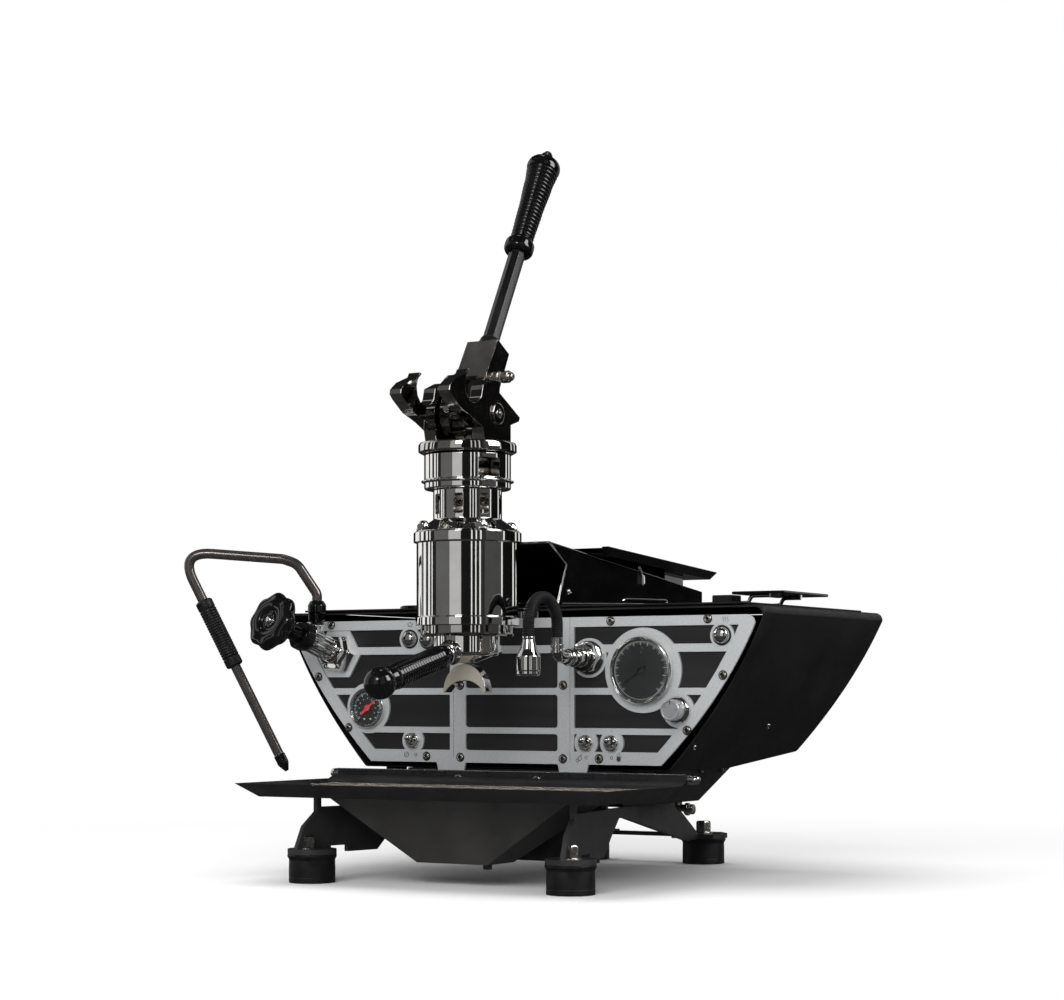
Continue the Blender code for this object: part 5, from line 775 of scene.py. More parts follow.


# Trim screws. Round-headed socket screws of bright steel, each in a small countersink whose shade is painted as a
# dark disc round the head.
TRIM_SCREW_RADIUS = 0.0037
TRIM_SCREW_HEIGHT = 0.0019
TRIM_SCREWS = ((0.2180, 0.2565), (0.2340, 0.2025), (0.1960, 0.1495), (0.1000, 0.1210), (0.0595, 0.1205),
               (0.0597, 0.1932))
TOP_SCREW = (0.1128, 0.2558)
PAINTED_SHADE_RING = 0.0047
SEAT = 0.0003

screw_places = [(side * x, 0, z) for x, z in TRIM_SCREWS for side in (-1, 1)]
screw_places.append((TOP_SCREW[0], 0, TOP_SCREW[1]))
# A dark steel colour, used for the painted shade in the screws' countersinks and for the button rings.
dark_steel_and_recess_shade = finish("dark_steel_recess_shade", ((0.012, 0.012, 0.012), (0.030, 0.029, 0.028)), (0.30, 0.50),
                    metallic=0.4, grain=0.0005, relief=0.00002, cloud=0.003)
show("trim_screws", [
    part for place in screw_places
    for part in socket_screw(TRIM_SCREW_RADIUS, TRIM_SCREW_HEIGHT, place, FACING_FRONT)
], plated)
# A thin dark disc round each screw head is painted shade for its countersink.
show("trim_screw_recess_shade", [washer(PAINTED_SHADE_RING, SEAT, place, FACING_FRONT) for place in screw_places], dark_steel_and_recess_shade)


# Marks on the trim. Plain pictures filled with dark paint in shallow engraving: drops, a wave, a
# cup, circles and strokes beside the controls.
MARK_LIFT = 0.00012
MARK_STROKE = 0.00055
FINE_STROKE = 0.0004
DROP_RADIUS = 0.0008
DROPS = ((-0.1225, 0.2562), (-0.1200, 0.2575), (-0.1175, 0.2562), (-0.1188, 0.2540), (-0.1214, 0.2540))
MARK_CIRCLES = [((-0.1245, 0.1225), 0.0026), ((0.0785, 0.1212), 0.0020), ((0.0758, 0.1190), 0.0015)]
CUP_BOWL = ((0.1218, 0.1208), 0.0024)
MARK_LINES = [
    (MARK_STROKE, (-0.1258, 0.1212), (-0.1232, 0.1238)),
    (MARK_STROKE, (0.0790, 0.1235), (0.0812, 0.1250)),
    (0.0008, (0.1190, 0.1232), (0.1250, 0.1232)),
    (FINE_STROKE, (0.1206, 0.1242), (0.1214, 0.1256), (0.1208, 0.1268)),
    (FINE_STROKE, (0.1226, 0.1242), (0.1234, 0.1256), (0.1228, 0.1268)),
]
WAVES = 3
WAVE_STEP = 0.0024
WAVE_LINE = ((0.2338, 0.2532), (0.2350, 0.2550), (0.2336, 0.2566), (0.2348, 0.2582))
TOGGLE_STROKE = (0.0003, 0.0105, 0.0130)
TOGGLE_CIRCLE = (0.0014, 0.0145, 0.0035)


def mark_line(width, *points):
    """A painted line through places on the front."""
    strokes = []
    for start, end in zip(map(Vector, points), map(Vector, points[1:])):
        line = end - start
        across = Vector((-line.y, line.x)).normalized() * width / 2
        corners = (start + across, start - across, end - across, end + across)
        strokes.append(plate([tuple(corner) for corner in corners], 2 * MARK_LIFT, turn=FACING_FRONT))
    return strokes


def mark_circle(place, radius, stroke=MARK_STROKE):
    """A painted circle."""
    outer, inner = radius + stroke / 2, radius - stroke / 2
    profile = [(outer, MARK_LIFT), (outer, 0), (inner, 0), (inner, MARK_LIFT)]
    return turned(profile, steps=24, at=(place[0], 0, place[1]), turn=FACING_FRONT)


def mark_dot(place, radius):
    """A painted dot."""
    return turned([(0, MARK_LIFT), (radius, MARK_LIFT), (radius, 0), (0, 0)], steps=16,
                  at=(place[0], 0, place[1]), turn=FACING_FRONT)


marks = [mark_dot(place, DROP_RADIUS) for place in DROPS]
marks.append(mark_dot(*CUP_BOWL))
for name, (mark_x, mark_z) in TOGGLES.items():
    stroke_width, stroke_low, stroke_high = TOGGLE_STROKE
    circle_radius, circle_drop, circle_shift = TOGGLE_CIRCLE
    marks += mark_line(stroke_width, (mark_x, mark_z + stroke_low), (mark_x, mark_z + stroke_high))
    aside = circle_shift if name == "left" else 0
    marks.append(mark_circle((mark_x + aside, mark_z - circle_drop), circle_radius))
marks += [mark_circle(*circle) for circle in MARK_CIRCLES]
for line in MARK_LINES:
    marks += mark_line(*line)
for wave in range(WAVES):
    marks += mark_line(FINE_STROKE, *[(x + wave * WAVE_STEP, z) for x, z in WAVE_LINE])
mark_paint = finish("mark_paint", ((0.020, 0.020, 0.022), (0.050, 0.050, 0.052)),
                    (0.45, 0.60), cloud=0.002)
show("trim_marks", marks, mark_paint)


# Deck. A flat black sheet, powder coated like the hull, closes the hull's top behind a narrow
# front lip. It is laid in from above.
DECK_EDGE = 0.0007

show("top_deck", [from_solid("top_deck", DECK_EDGE)], powder_coat)


# Filler cap. A low black screw cap for the water tank, with a raised grip across it and fine
# notches round its edge.
CAP = (-0.1580, 0.0800)
CAP_RADIUS = 0.0220
CAP_HEIGHT = 0.0055
CAP_EDGE = 0.0008
CAP_GRIP_EDGE = 0.0010
CAP_SHARES = ((0, 0.62), (0.80, 0.62), (0.84, 1), (1, 0.80), (1, 0), (0, 0))
CAP_NOTCHES = 24
DECK_SHEET = 0.0020
DECK_TOP = HULL_TOP + SEAT + DECK_SHEET

gloss_black = finish("gloss_black_shown", ((0.0024, 0.0024, 0.0028), (0.0052, 0.0052, 0.0058)),
                     (0.06, 0.13), grain=0.0015, relief=0.00001, cloud=0.02)
cap_notches = [
    block((CAP_RADIUS * 0.97, -CAP_RADIUS * 0.03, -CAP_HEIGHT),
          (CAP_RADIUS * 1.10, CAP_RADIUS * 0.03, CAP_HEIGHT * 2), turn=(0, 0, math.tau * index / CAP_NOTCHES))
    for index in range(CAP_NOTCHES)
]
cap_grip = block((-CAP_RADIUS * 0.78, -CAP_RADIUS * 0.12, CAP_HEIGHT * 0.3),
                 (CAP_RADIUS * 0.78, CAP_RADIUS * 0.12, CAP_HEIGHT * 0.98), CAP_GRIP_EDGE)
cap_body = lathe(sized(CAP_SHARES, CAP_RADIUS, CAP_HEIGHT), CAP_EDGE, steps=96)
show("filler_cap", [worked(cap_body, cap_notches), cap_grip], gloss_black, at=(*CAP, DECK_TOP + SEAT))


# Cup plate. A small black enamelled plate at the right of the deck. It stands on two chromed rods
# cranked like a Z, beside a small black box.
PLATE_MIDDLE = (0.2335, 0.1350)
PLATE_HALF = (0.0285, 0.0550)
PLATE_LIFT = 0.0100
PLATE_LOW = DECK_TOP + SEAT + PLATE_LIFT
PLATE_THICKNESS = 0.0030
PLATE_EDGE = 0.0013
PLATE_ROD = 0.0020
ROD_BEND = 0.0035
ROD_SHARES = ((-1.05, 0), (-0.62, 0), (-0.50, 1), (0.20, 1))
SWITCH_BOX = ((0.1790, 0.0900, DECK_TOP + SEAT), (0.2010, 0.1120, DECK_TOP + 0.0105))
SWITCH_BOX_EDGE = 0.0010

chrome = finish("mirror_chrome_shown", ((0.74, 0.73, 0.71), (0.84, 0.83, 0.81)),
                (0.025, 0.060), metallic=1.0, grain=0.004, relief=0.000004, cloud=0.02)
plate_x, plate_y = PLATE_MIDDLE
half_x, half_y = PLATE_HALF
show("cup_plate", [block((-half_x, -half_y, 0), (half_x, half_y, PLATE_THICKNESS), PLATE_EDGE)], gloss_black,
     at=(plate_x, plate_y, PLATE_LOW))
rod_low = DECK_TOP + PLATE_ROD + SEAT
rod_rise = PLATE_LOW - PLATE_ROD / 2 - rod_low
show("cup_plate_rods", [
    pipe(rounded([(plate_x + half_x * out, plate_y + end * half_y * 0.7, rod_low + rod_rise * up)
                  for out, up in ROD_SHARES], ROD_BEND, 6), PLATE_ROD)
    for end in (-1, 1)
], chrome)
show("switch_box", [block(*SWITCH_BOX, SWITCH_BOX_EDGE)], powder_coat)


# Hood. A folded sheet wedge over the group's connection, enamelled gloss black. Its front edges
# are bare polished metal, and a bright bead runs along its foot.
HOOD_HALVES = (0.0520, 0.0800)
HOOD_TOPS = (0.3340, 0.2950)
HOOD_DEPTHS = (-0.0140, 0.2720)
HOOD_NECK_Y = 0.0150
HOOD_NECK_SHARE = 0.66
HOOD_EDGE = 0.0008
HOOD_BEAD = 0.0011
FOOT_BEAD_OFF = 0.0006
FOOT_BEAD_ENDS = ((0.0060, 0.0016), (0.2680, 0.0092))
TOP_BEAD_END = 0.2000
SIDE_BEAD_LIFT = 0.0010


def hood_at(ends, y):
    """A measure of the hood at a depth, from its front and rear ones."""
    return ends[0] + (ends[1] - ends[0]) * (y - HOOD_DEPTHS[0]) / (HOOD_DEPTHS[1] - HOOD_DEPTHS[0])


def hood_side(side, y, z, off=0.0):
    """A place on the hood's side, or a little off it."""
    return side * (hood_at(HOOD_HALVES, y) + off), y, z


show("hood", [from_solid("hood", HOOD_EDGE)], gloss_black)
front_y, front_top = HOOD_DEPTHS[0], HOOD_TOPS[0]
neck_z = DECK_TOP + (front_top - DECK_TOP) * HOOD_NECK_SHARE
beads = [pipe([hood_side(side, front_y, front_top) for side in (-1, 1)], HOOD_BEAD, 6)]
for side in (-1, 1):
    beads.append(pipe([hood_side(side, 0, DECK_TOP + SIDE_BEAD_LIFT), hood_side(side, HOOD_NECK_Y, neck_z),
                       hood_side(side, front_y, front_top)], HOOD_BEAD, 6))
    beads.append(pipe([hood_side(side, y, hood_at(HOOD_TOPS, y)) for y in (front_y, TOP_BEAD_END)],
                      HOOD_BEAD * 0.8, 6, swell=[1.0, 0.5]))
    beads.append(pipe([hood_side(side, y, DECK_TOP + lift, FOOT_BEAD_OFF) for y, lift in FOOT_BEAD_ENDS],
                      HOOD_BEAD * 0.8, 6))
show("hood_beads", beads, chrome)


# Hood catch. A bright hinged catch hooks over the hood's edge, with a round-headed screw and a
# short handle strip below it. The left side has the same.
CATCH_Y = 0.1490
CATCH_LENGTH = 0.0190
CATCH_WIDTH = 0.0045
CATCH_OFF = 0.0015
CATCH_WIRE = 0.0012
CATCH_HOOK = ((-0.0060, 0.0055), (0, -0.0010), (0.0030, -CATCH_LENGTH * 0.75))
CATCH_TONGUE = (0.0040, -0.0040)
CATCH_EDGE = 0.0008
STRIP_LIFT = 0.0100
STRIP_WIRE = 0.0009
STRIP_BEND = 0.0020
STRIP_LINE = ((0.1150, -0.0020, 0.0004), (0.1190, 0, 0.0016), (0.1970, 0.0012, 0.0016), (0.2010, -0.0020, 0.0004))
CATCH_SCREW = (0.0030, 0.0018)
CATCH_SCREW_PLACE = (0.0190, DECK_TOP + 0.0140)

catch_top = hood_at(HOOD_TOPS, CATCH_Y)
catch_parts = []
for side in (-1, 1):
    catch_x = side * (hood_at(HOOD_HALVES, CATCH_Y) + CATCH_OFF)
    tongue_y, tongue_z = CATCH_TONGUE
    catch_parts += [
        pipe([(catch_x, CATCH_Y + y, catch_top + z) for y, z in CATCH_HOOK], CATCH_WIRE, 6),
        block((-CATCH_WIDTH / 2, -CATCH_WIDTH, -CATCH_LENGTH / 2), (CATCH_WIDTH / 2, 0, 0), CATCH_EDGE,
              at=(catch_x, CATCH_Y + tongue_y, catch_top + tongue_z)),
        pipe(rounded([hood_side(side, y, DECK_TOP + STRIP_LIFT + lift, off) for y, lift, off in STRIP_LINE],
                     STRIP_BEND), STRIP_WIRE, 6),
        *socket_screw(*CATCH_SCREW, hood_side(side, *CATCH_SCREW_PLACE), (0, side * math.pi / 2, 0)),
    ]
show("hood_catches", catch_parts, chrome)


# Cup shelf. A shallow pressed tray, tilted on the hood, in gloss black enamel, with lips at its
# sides and rear, an open front and a bracket under its overhanging rear.
SHELF_FRONT = (0.0630, 0.3241)
SHELF_INNER_HALF = 0.0715
SHELF_FLOOR = 0.0026
SHELF_LIP = 0.0120
SHELF_TILT = math.radians(-3.48)
SHELF_EDGE = 0.0009

shelf_mouth = block((-SHELF_INNER_HALF, -SHELF_LIP, SHELF_FLOOR), (SHELF_INNER_HALF, SHELF_LIP, 2 * SHELF_LIP),
                    at=(0, *SHELF_FRONT), turn=(SHELF_TILT, 0, 0))
show("cup_shelf", [worked(from_solid("cup_shelf"), [shelf_mouth], edge=SHELF_EDGE, steps=3)], gloss_black)


# Boiler and the group's connection. A lying steel boiler inside the hull, and the polished casting
# that carries the group from it through the deck.
MOUNT_EDGE = 0.0020

brushed_steel = finish("brushed_steel", ((0.36, 0.35, 0.34), (0.50, 0.49, 0.48)), (0.24, 0.38),
                       metallic=1.0, grain=0.0005, relief=0.00002, cloud=0.006)
repainted("boiler", brushed_steel)
show("group_mount", [from_solid("group_mount", MOUNT_EDGE, steps=3)], chrome)


# Group barrel. A turned tube, polished and chromed, with a stepped foot and head band. The bayonet
# ring is screwed under it, with a perforated screen in its mouth.
GROUP_Y = -0.0830
GROUP = (0, GROUP_Y, 0)
BARREL_LOW = 0.2505
BARREL_HIGH = 0.3405
BARREL_RADIUS = 0.0495
BARREL_BORE = 0.0300
FOOT_BAND = (0.0507, 0.0080)
HEAD_BAND = (0.0524, 0.0095)
GROUP_GROOVE = 0.0006

band_low, band_high = BARREL_LOW + FOOT_BAND[1], BARREL_HIGH - HEAD_BAND[1]
show("group_barrel", [lathe([
    (BARREL_BORE, BARREL_HIGH), (HEAD_BAND[0], BARREL_HIGH), (HEAD_BAND[0], band_high),
    (BARREL_RADIUS, band_high - GROUP_GROOVE), (BARREL_RADIUS, band_low + GROUP_GROOVE),
    (FOOT_BAND[0], band_low), (FOOT_BAND[0], BARREL_LOW), (BARREL_BORE, BARREL_LOW),
], GROUP_GROOVE, 3, steps=160)], chrome, at=GROUP)

BAYONET_RADIUS = 0.0460
BAYONET_LOW = 0.2402
BAYONET_HIGH = 0.2502
BAYONET_CHAMFER = 0.0022
BAYONET_CHANNEL = 0.0412
BAYONET_LIP = 0.0356
BAYONET_LIP_TOP = 0.2432
BAYONET_MOUTH = 0.0300
BAYONET_MOUTH_TURN = -50.0
BAYONET_NOTCH = (0.0060, 0.2448)
BAYONET_NOTCH_ANGLES = (-118.0, 2.0, 122.0)
BAYONET_EDGE = 0.0004

black_chrome = finish("black_chrome_shown", ((0.48, 0.46, 0.45), (0.60, 0.58, 0.56)),
                      (0.03, 0.07), metallic=1.0, grain=0.003, relief=0.000006, cloud=0.02)
ring_body = turned([
    (BAYONET_RADIUS, BAYONET_HIGH), (BAYONET_RADIUS, BAYONET_LOW + BAYONET_CHAMFER * 1.09),
    (BAYONET_RADIUS - BAYONET_CHAMFER * 0.27, BAYONET_LOW + BAYONET_CHAMFER * 0.73),
    (BAYONET_RADIUS - BAYONET_CHAMFER, BAYONET_LOW), (BAYONET_LIP, BAYONET_LOW),
    (BAYONET_LIP, BAYONET_LIP_TOP), (BAYONET_CHANNEL, BAYONET_LIP_TOP), (BAYONET_CHANNEL, BAYONET_HIGH),
], steps=128)
mouth_cut = block((-BAYONET_CHANNEL, -BAYONET_MOUTH / 2, BAYONET_LOW - PAST),
                  (BAYONET_CHANNEL, BAYONET_MOUTH / 2, BAYONET_LIP_TOP + GROUP_GROOVE),
                  turn=(0, 0, math.radians(BAYONET_MOUTH_TURN)))
notch_radius, notch_low = BAYONET_NOTCH
notch_high = BAYONET_HIGH + PAST
notches = [
    turned([(0, notch_high), (notch_radius, notch_high), (notch_radius, notch_low), (0, notch_low)], steps=32,
           at=(BAYONET_RADIUS * 1.06 * math.cos(angle), BAYONET_RADIUS * 1.06 * math.sin(angle), 0))
    for angle in map(math.radians, BAYONET_NOTCH_ANGLES)
]
show("bayonet_ring", [worked(ring_body, [mouth_cut, *notches], edge=BAYONET_EDGE, angle=40.0)], black_chrome,
     at=GROUP)
repainted("shower_screen", brushed_steel)


# Cone and sleeve. One turned piece bolted onto the barrel by four domed nuts, with tall windows
# round its neck that show the spring.
CONE_LOW = 0.3408
CONE_HIGH = 0.3533
CONE_RADIUS = 0.0505
CONE_FLANGE = 0.0014
CONE_CHAMFER = 0.0010
SLEEVE_RADIUS = 0.0334
SLEEVE_HIGH = 0.3818
SLEEVE_BORE = 0.0270
SLEEVE_EDGE = 0.0007
SLEEVE_WINDOWS = 8
SLEEVE_WINDOW = 0.0095
SLEEVE_MARGIN = 0.0045
SLEEVE_TURN_SHARE = 0.35
WINDOW_ROUND = 0.0018
CUT_EDGE = 0.0003
NUT_ACROSS = 0.0122
NUT_RING = 0.0443
NUT_ANGLES = (-41.3, 48.7, 138.7, 228.7)
NUT_HEIGHT = 0.0098
NUT_FLATS_SHARE = 0.52


def domed_nut(across, height, at=ORIGIN, turn=ORIGIN):
    """A cap nut on its collar: a hexagon with a dome on top."""
    flats = height * NUT_FLATS_SHARE
    dome = lathe([(0, height), (across * 0.20, height * 0.97), (across * 0.36, height * 0.84),
                  (across * 0.43, flats), (0, flats)], across * 0.15, 5, steps=48)
    parts = (hexagon_head(across, flats, at=(0, 0, across * 0.08)), washer(across * 0.62, across * 0.10), dome)
    return [moved(part, at, turn) for part in parts]


cone_body = lathe([
    (SLEEVE_BORE, SLEEVE_HIGH), (SLEEVE_RADIUS, SLEEVE_HIGH), (SLEEVE_RADIUS, CONE_HIGH),
    (CONE_RADIUS - CONE_CHAMFER, CONE_LOW + CONE_FLANGE), (CONE_RADIUS, CONE_LOW + CONE_FLANGE * 0.6),
    (CONE_RADIUS, CONE_LOW), (SLEEVE_BORE, CONE_LOW),
], SLEEVE_EDGE, 3, steps=128)
sleeve_windows = [
    block((SLEEVE_BORE * 0.7, -SLEEVE_WINDOW / 2, CONE_HIGH + SLEEVE_MARGIN),
          (SLEEVE_RADIUS * 1.3, SLEEVE_WINDOW / 2, SLEEVE_HIGH - SLEEVE_MARGIN), WINDOW_ROUND,
          turn=(0, 0, math.tau * (index + SLEEVE_TURN_SHARE) / SLEEVE_WINDOWS), steps=4)
    for index in range(SLEEVE_WINDOWS)
]
show("group_sleeve", [worked(cone_body, sleeve_windows, edge=CUT_EDGE, angle=40.0)], chrome, at=GROUP)
nuts = []
for angle in map(math.radians, NUT_ANGLES):
    nuts += domed_nut(NUT_ACROSS, NUT_HEIGHT, (NUT_RING * math.cos(angle), GROUP_Y + NUT_RING * math.sin(angle),
                                               CONE_LOW + CONE_FLANGE))
show("cone_nuts", nuts, chrome)


# Collar. A wider turned ring over the sleeve, with a thin raised ring round it and a window at the
# front right through which the coil shows.
COLLAR_RADIUS = 0.0421
COLLAR_LOW = 0.3821
COLLAR_HIGH = 0.4154
COLLAR_CHAMFER = 0.0012
COLLAR_EDGE = 0.0005
COLLAR_RING = (0.0450, 0.3883, 0.3917)
COLLAR_RING_LAND = 0.0006
COLLAR_WINDOW = 0.0230
COLLAR_WINDOW_ROUND = 0.0015
COLLAR_WINDOW_MARGINS = (0.0010, 0.0045)
COLLAR_WINDOW_ANGLE = -28.0

ring_radius, ring_low, ring_high = COLLAR_RING
ring_middle = (ring_low + ring_high) / 2
collar_body = lathe([
    (SLEEVE_BORE, COLLAR_HIGH), (COLLAR_RADIUS, COLLAR_HIGH), (COLLAR_RADIUS, ring_high),
    (ring_radius, ring_middle + COLLAR_RING_LAND), (ring_radius, ring_middle - COLLAR_RING_LAND),
    (COLLAR_RADIUS, ring_low), (COLLAR_RADIUS, COLLAR_LOW + COLLAR_CHAMFER),
    (COLLAR_RADIUS - COLLAR_CHAMFER, COLLAR_LOW), (SLEEVE_BORE, COLLAR_LOW),
], COLLAR_EDGE, 3, steps=128)
collar_window = block((0, -COLLAR_WINDOW / 2, ring_high + COLLAR_WINDOW_MARGINS[0]),
                      (COLLAR_RADIUS * 1.4, COLLAR_WINDOW / 2, COLLAR_HIGH - COLLAR_WINDOW_MARGINS[1]),
                      COLLAR_WINDOW_ROUND, turn=(0, 0, math.radians(COLLAR_WINDOW_ANGLE)), steps=4)
show("group_collar", [worked(collar_body, [collar_window], edge=CUT_EDGE, angle=40.0)], chrome, at=GROUP)


# Main spring. One round coil of dark spring steel between the piston and the head. The piston
# presses it together from below as the lever comes down.
SPRING_RADIUS = 0.0200
SPRING_WIRE = 0.0027
SPRING_CURLS = 10
SPRING_LOW = 0.2953
SPRING_HIGH = 0.4124
SPRING_STEPS = 40

spring_steel = finish("spring_steel", ((0.46, 0.43, 0.39), (0.60, 0.56, 0.52)), (0.16, 0.28),
                      metallic=0.60, grain=0.0005, relief=0.00002, cloud=0.006)
coil = []
for step in range(SPRING_CURLS * SPRING_STEPS + 1):
    angle = math.tau * step / SPRING_STEPS
    rise = (SPRING_HIGH - SPRING_LOW) * step / (SPRING_CURLS * SPRING_STEPS)
    coil.append((SPRING_RADIUS * math.cos(angle), SPRING_RADIUS * math.sin(angle), SPRING_LOW + rise))
spring = show("group_spring", [pipe(coil, SPRING_WIRE, 5)], spring_steel, at=GROUP)
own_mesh(spring)


# Piston, rod and yoke. One turned and milled piece of ground steel, seen through the windows and
# between the cheeks.
PISTON_EDGE = 0.0005

polished_steel = finish("polished_steel", ((0.50, 0.46, 0.40), (0.62, 0.57, 0.50)), (0.08, 0.16),
                        metallic=0.75, grain=0.002, relief=0.000004, cloud=0.008)
show("piston_rod", [from_solid("piston_rod", PISTON_EDGE)], polished_steel, "piston")


# Head fork. One casting, ground smooth and plated black: a ring on the collar that carries two
# cheeks. Each cheek has a notch and a hook that catch the lever's roller pin.
FORK_EDGE = 0.0017

show("head_fork", [from_solid("head_fork", FORK_EDGE, steps=4, angle=40.0)], black_chrome)


# Lever. A forged knuckle turns on the pivot pin. A faceted bar is screwed into it, in satin black,
# and carries a turned and lacquered grip that a domed nut holds.
PIVOT_Z = 0.4545
LEVER_TURN = (math.radians(-29.0), 0, 0)
ON_LEVER = {"body": "lever", "at": (0, GROUP_Y, PIVOT_Z), "turn": LEVER_TURN}
CHEEK_OUTER = 0.0335
KNUCKLE_TOP = 0.0805
KNUCKLE_EDGE = 0.0015
BAR_EDGE = 0.0005
BAR_ROOT = (0.0108, 0.0900)
BAR_ROOT_EDGE = 0.0016
GRIP_START = 0.1972
GRIP_END = 0.3180
GRIP_CORE = 0.0053
GRIP_DIMPLE = 0.0010
GRIP_HEAD = (0.0172, 0.0130)
GRIP_HEAD_EDGE = 0.0022
GRIP_HEAD_SHARES = ((0.431, 1), (0.60, 0.908), (0.93, 0.523), (1, 0.192), (1, 0))
GRIP_LINE = ((0.2155, 0.0118), (0.2500, 0.0128), (0.2850, 0.0147), (0.3010, 0.0163))
GRIP_RIBS = 19
GRIP_RIB_DEPTH = 0.0011
GRIP_GAP = 0.0006
GRIP_FLANGE = (0.0150, 0.0120)
GRIP_FLANGE_EDGE = 0.0028
GRIP_FLANGE_SHARES = ((1, 1), (1, 0.25), (0.82, 0))
END_NUT = (0.0105, 0.0092)


def between(places, z):
    """The radius at a height, on a smooth line through places of (height, radius)."""
    for (low_z, low_radius), (high_z, high_radius) in zip(places, places[1:]):
        if z <= high_z:
            share = max(0.0, (z - low_z) / (high_z - low_z))
            return low_radius + (high_radius - low_radius) * share * share * (3 - 2 * share)
    return places[-1][1]


def ribbed(places, ribs, depth, steps=8, flank=0.0):
    """Ribs along a smooth line through places of (height, radius), from the top down. They are
    round, or flat ones that slope to their upper end over a share of their width."""
    low_z, high_z = places[0][0], places[-1][0]
    line = []
    for step in range(ribs * steps, -1, -1):
        z = low_z + (high_z - low_z) * step / (ribs * steps)
        share = (step % steps) / steps
        bulge = min(1.0, share * steps, (1 - share) / flank) if flank else math.sin(math.pi * share)
        line.append((between(places, z) - depth * (1 - bulge), z))
    return line


bar_black = finish("satin_black_bar", ((0.0050, 0.0050, 0.0052), (0.0100, 0.0098, 0.0096)),
                   (0.24, 0.38), metallic=0.2, grain=0.0004, relief=0.00003, cloud=0.02, stretch=(1.0, 1.0, 0.05))
show("lever_bar", [from_solid("lever_bar", BAR_EDGE)], bar_black, "lever")
(line_low, line_low_radius), (line_high, line_high_radius) = GRIP_LINE[0], GRIP_LINE[-1]
flange_radius, flange_height = GRIP_FLANGE
show("lever_grip", [turned([
    (GRIP_CORE, GRIP_END - GRIP_DIMPLE),
    *rounded([*sized(GRIP_HEAD_SHARES, *GRIP_HEAD, GRIP_END - GRIP_HEAD[1]),
              (line_high_radius, line_high + GRIP_GAP)], GRIP_HEAD_EDGE, 5),
    *ribbed(GRIP_LINE, GRIP_RIBS, GRIP_RIB_DEPTH),
    *rounded([(line_low_radius - GRIP_RIB_DEPTH, line_low - GRIP_GAP),
              (line_low_radius, GRIP_START + flange_height * 1.25),
              *sized(GRIP_FLANGE_SHARES, flange_radius, flange_height, GRIP_START), (GRIP_CORE, GRIP_START)],
             GRIP_FLANGE_EDGE, 6),
], steps=96)], gloss_black, **ON_LEVER)
show("lever_end_nut", domed_nut(*END_NUT, at=(0, 0, GRIP_END + SEAT)), gloss_black, **ON_LEVER)
knuckle_cut = block((-CHEEK_OUTER, -CHEEK_OUTER, KNUCKLE_TOP),
                    (CHEEK_OUTER, CHEEK_OUTER, KNUCKLE_TOP + CHEEK_OUTER), at=ON_LEVER["at"], turn=LEVER_TURN)
show("lever_knuckle", [worked(from_solid("lever_knuckle"), [knuckle_cut], edge=KNUCKLE_EDGE, steps=4, angle=40.0)],
     black_chrome, "lever")
root_radius, root_top = BAR_ROOT
show("lever_root", [lathe([
    (0, root_top), (root_radius * 0.90, root_top), (root_radius, (root_top + KNUCKLE_TOP) / 2),
    (root_radius, KNUCKLE_TOP + SEAT), (0, KNUCKLE_TOP + SEAT),
], BAR_ROOT_EDGE, 5, steps=64)], bar_black, **ON_LEVER)


# Lever pins. The pivot pin's turned heads lie on the cheeks, and the plated roller pin runs in the
# hooks with a grooved roller at each side of the knuckle's web.
PIN_HEAD = (0.0105, 0.0045)
PIN_SHARES = ((0, 1), (0.22, 0.90), (0.36, 0.45), (0.40, 0.40), (0.95, 0.40), (1, 0.30), (1, 0), (0.52, 0))
PIN_EDGE = 0.0005
ROLLER_AT = 0.0435
ROLLER_RADIUS = 0.0060
ROLLER_REACH = 0.0400
ROLLER_END = 0.0056
ROLLER_END_SHARES = ((0, 1), (0.55, 0.821), (0.80, 0.286), (0.84, 0.107), (1, 0))
ROLLER_GROOVE = 0.0095
ROLLER_GROOVE_SHARES = ((1, 1), (0.78, 0.926), (0.78, 0.695), (1, 0.632))
WEB_OUTER = 0.0175


def both_ways(profile, edge, steps):
    """A turned end to the left and to the right, from its profile along the axis."""
    return [lathe(profile, edge, 3, steps=steps, turn=(0, side * math.pi / 2, 0)) for side in (-1, 1)]


show("pivot_pin", both_ways([*sized(PIN_SHARES, *PIN_HEAD, CHEEK_OUTER + SEAT), (PIN_HEAD[0] * 0.52, 0), (0, 0)],
                            PIN_EDGE, 64), black_chrome, at=ON_LEVER["at"], slot="satin_steel")
show("roller_pin", both_ways([
    *sized(ROLLER_END_SHARES, ROLLER_RADIUS, ROLLER_END, ROLLER_REACH - ROLLER_END),
    *sized(ROLLER_GROOVE_SHARES, ROLLER_RADIUS, ROLLER_GROOVE, WEB_OUTER),
    (ROLLER_RADIUS, WEB_OUTER + SEAT), (ROLLER_RADIUS * 0.66, WEB_OUTER + SEAT), (ROLLER_RADIUS * 0.66, 0), (0, 0),
], PIN_EDGE, 48), plated, "lever",
    at=(0, GROUP_Y + ROLLER_AT * math.sin(-LEVER_TURN[0]), PIVOT_Z + ROLLER_AT * math.cos(LEVER_TURN[0])))


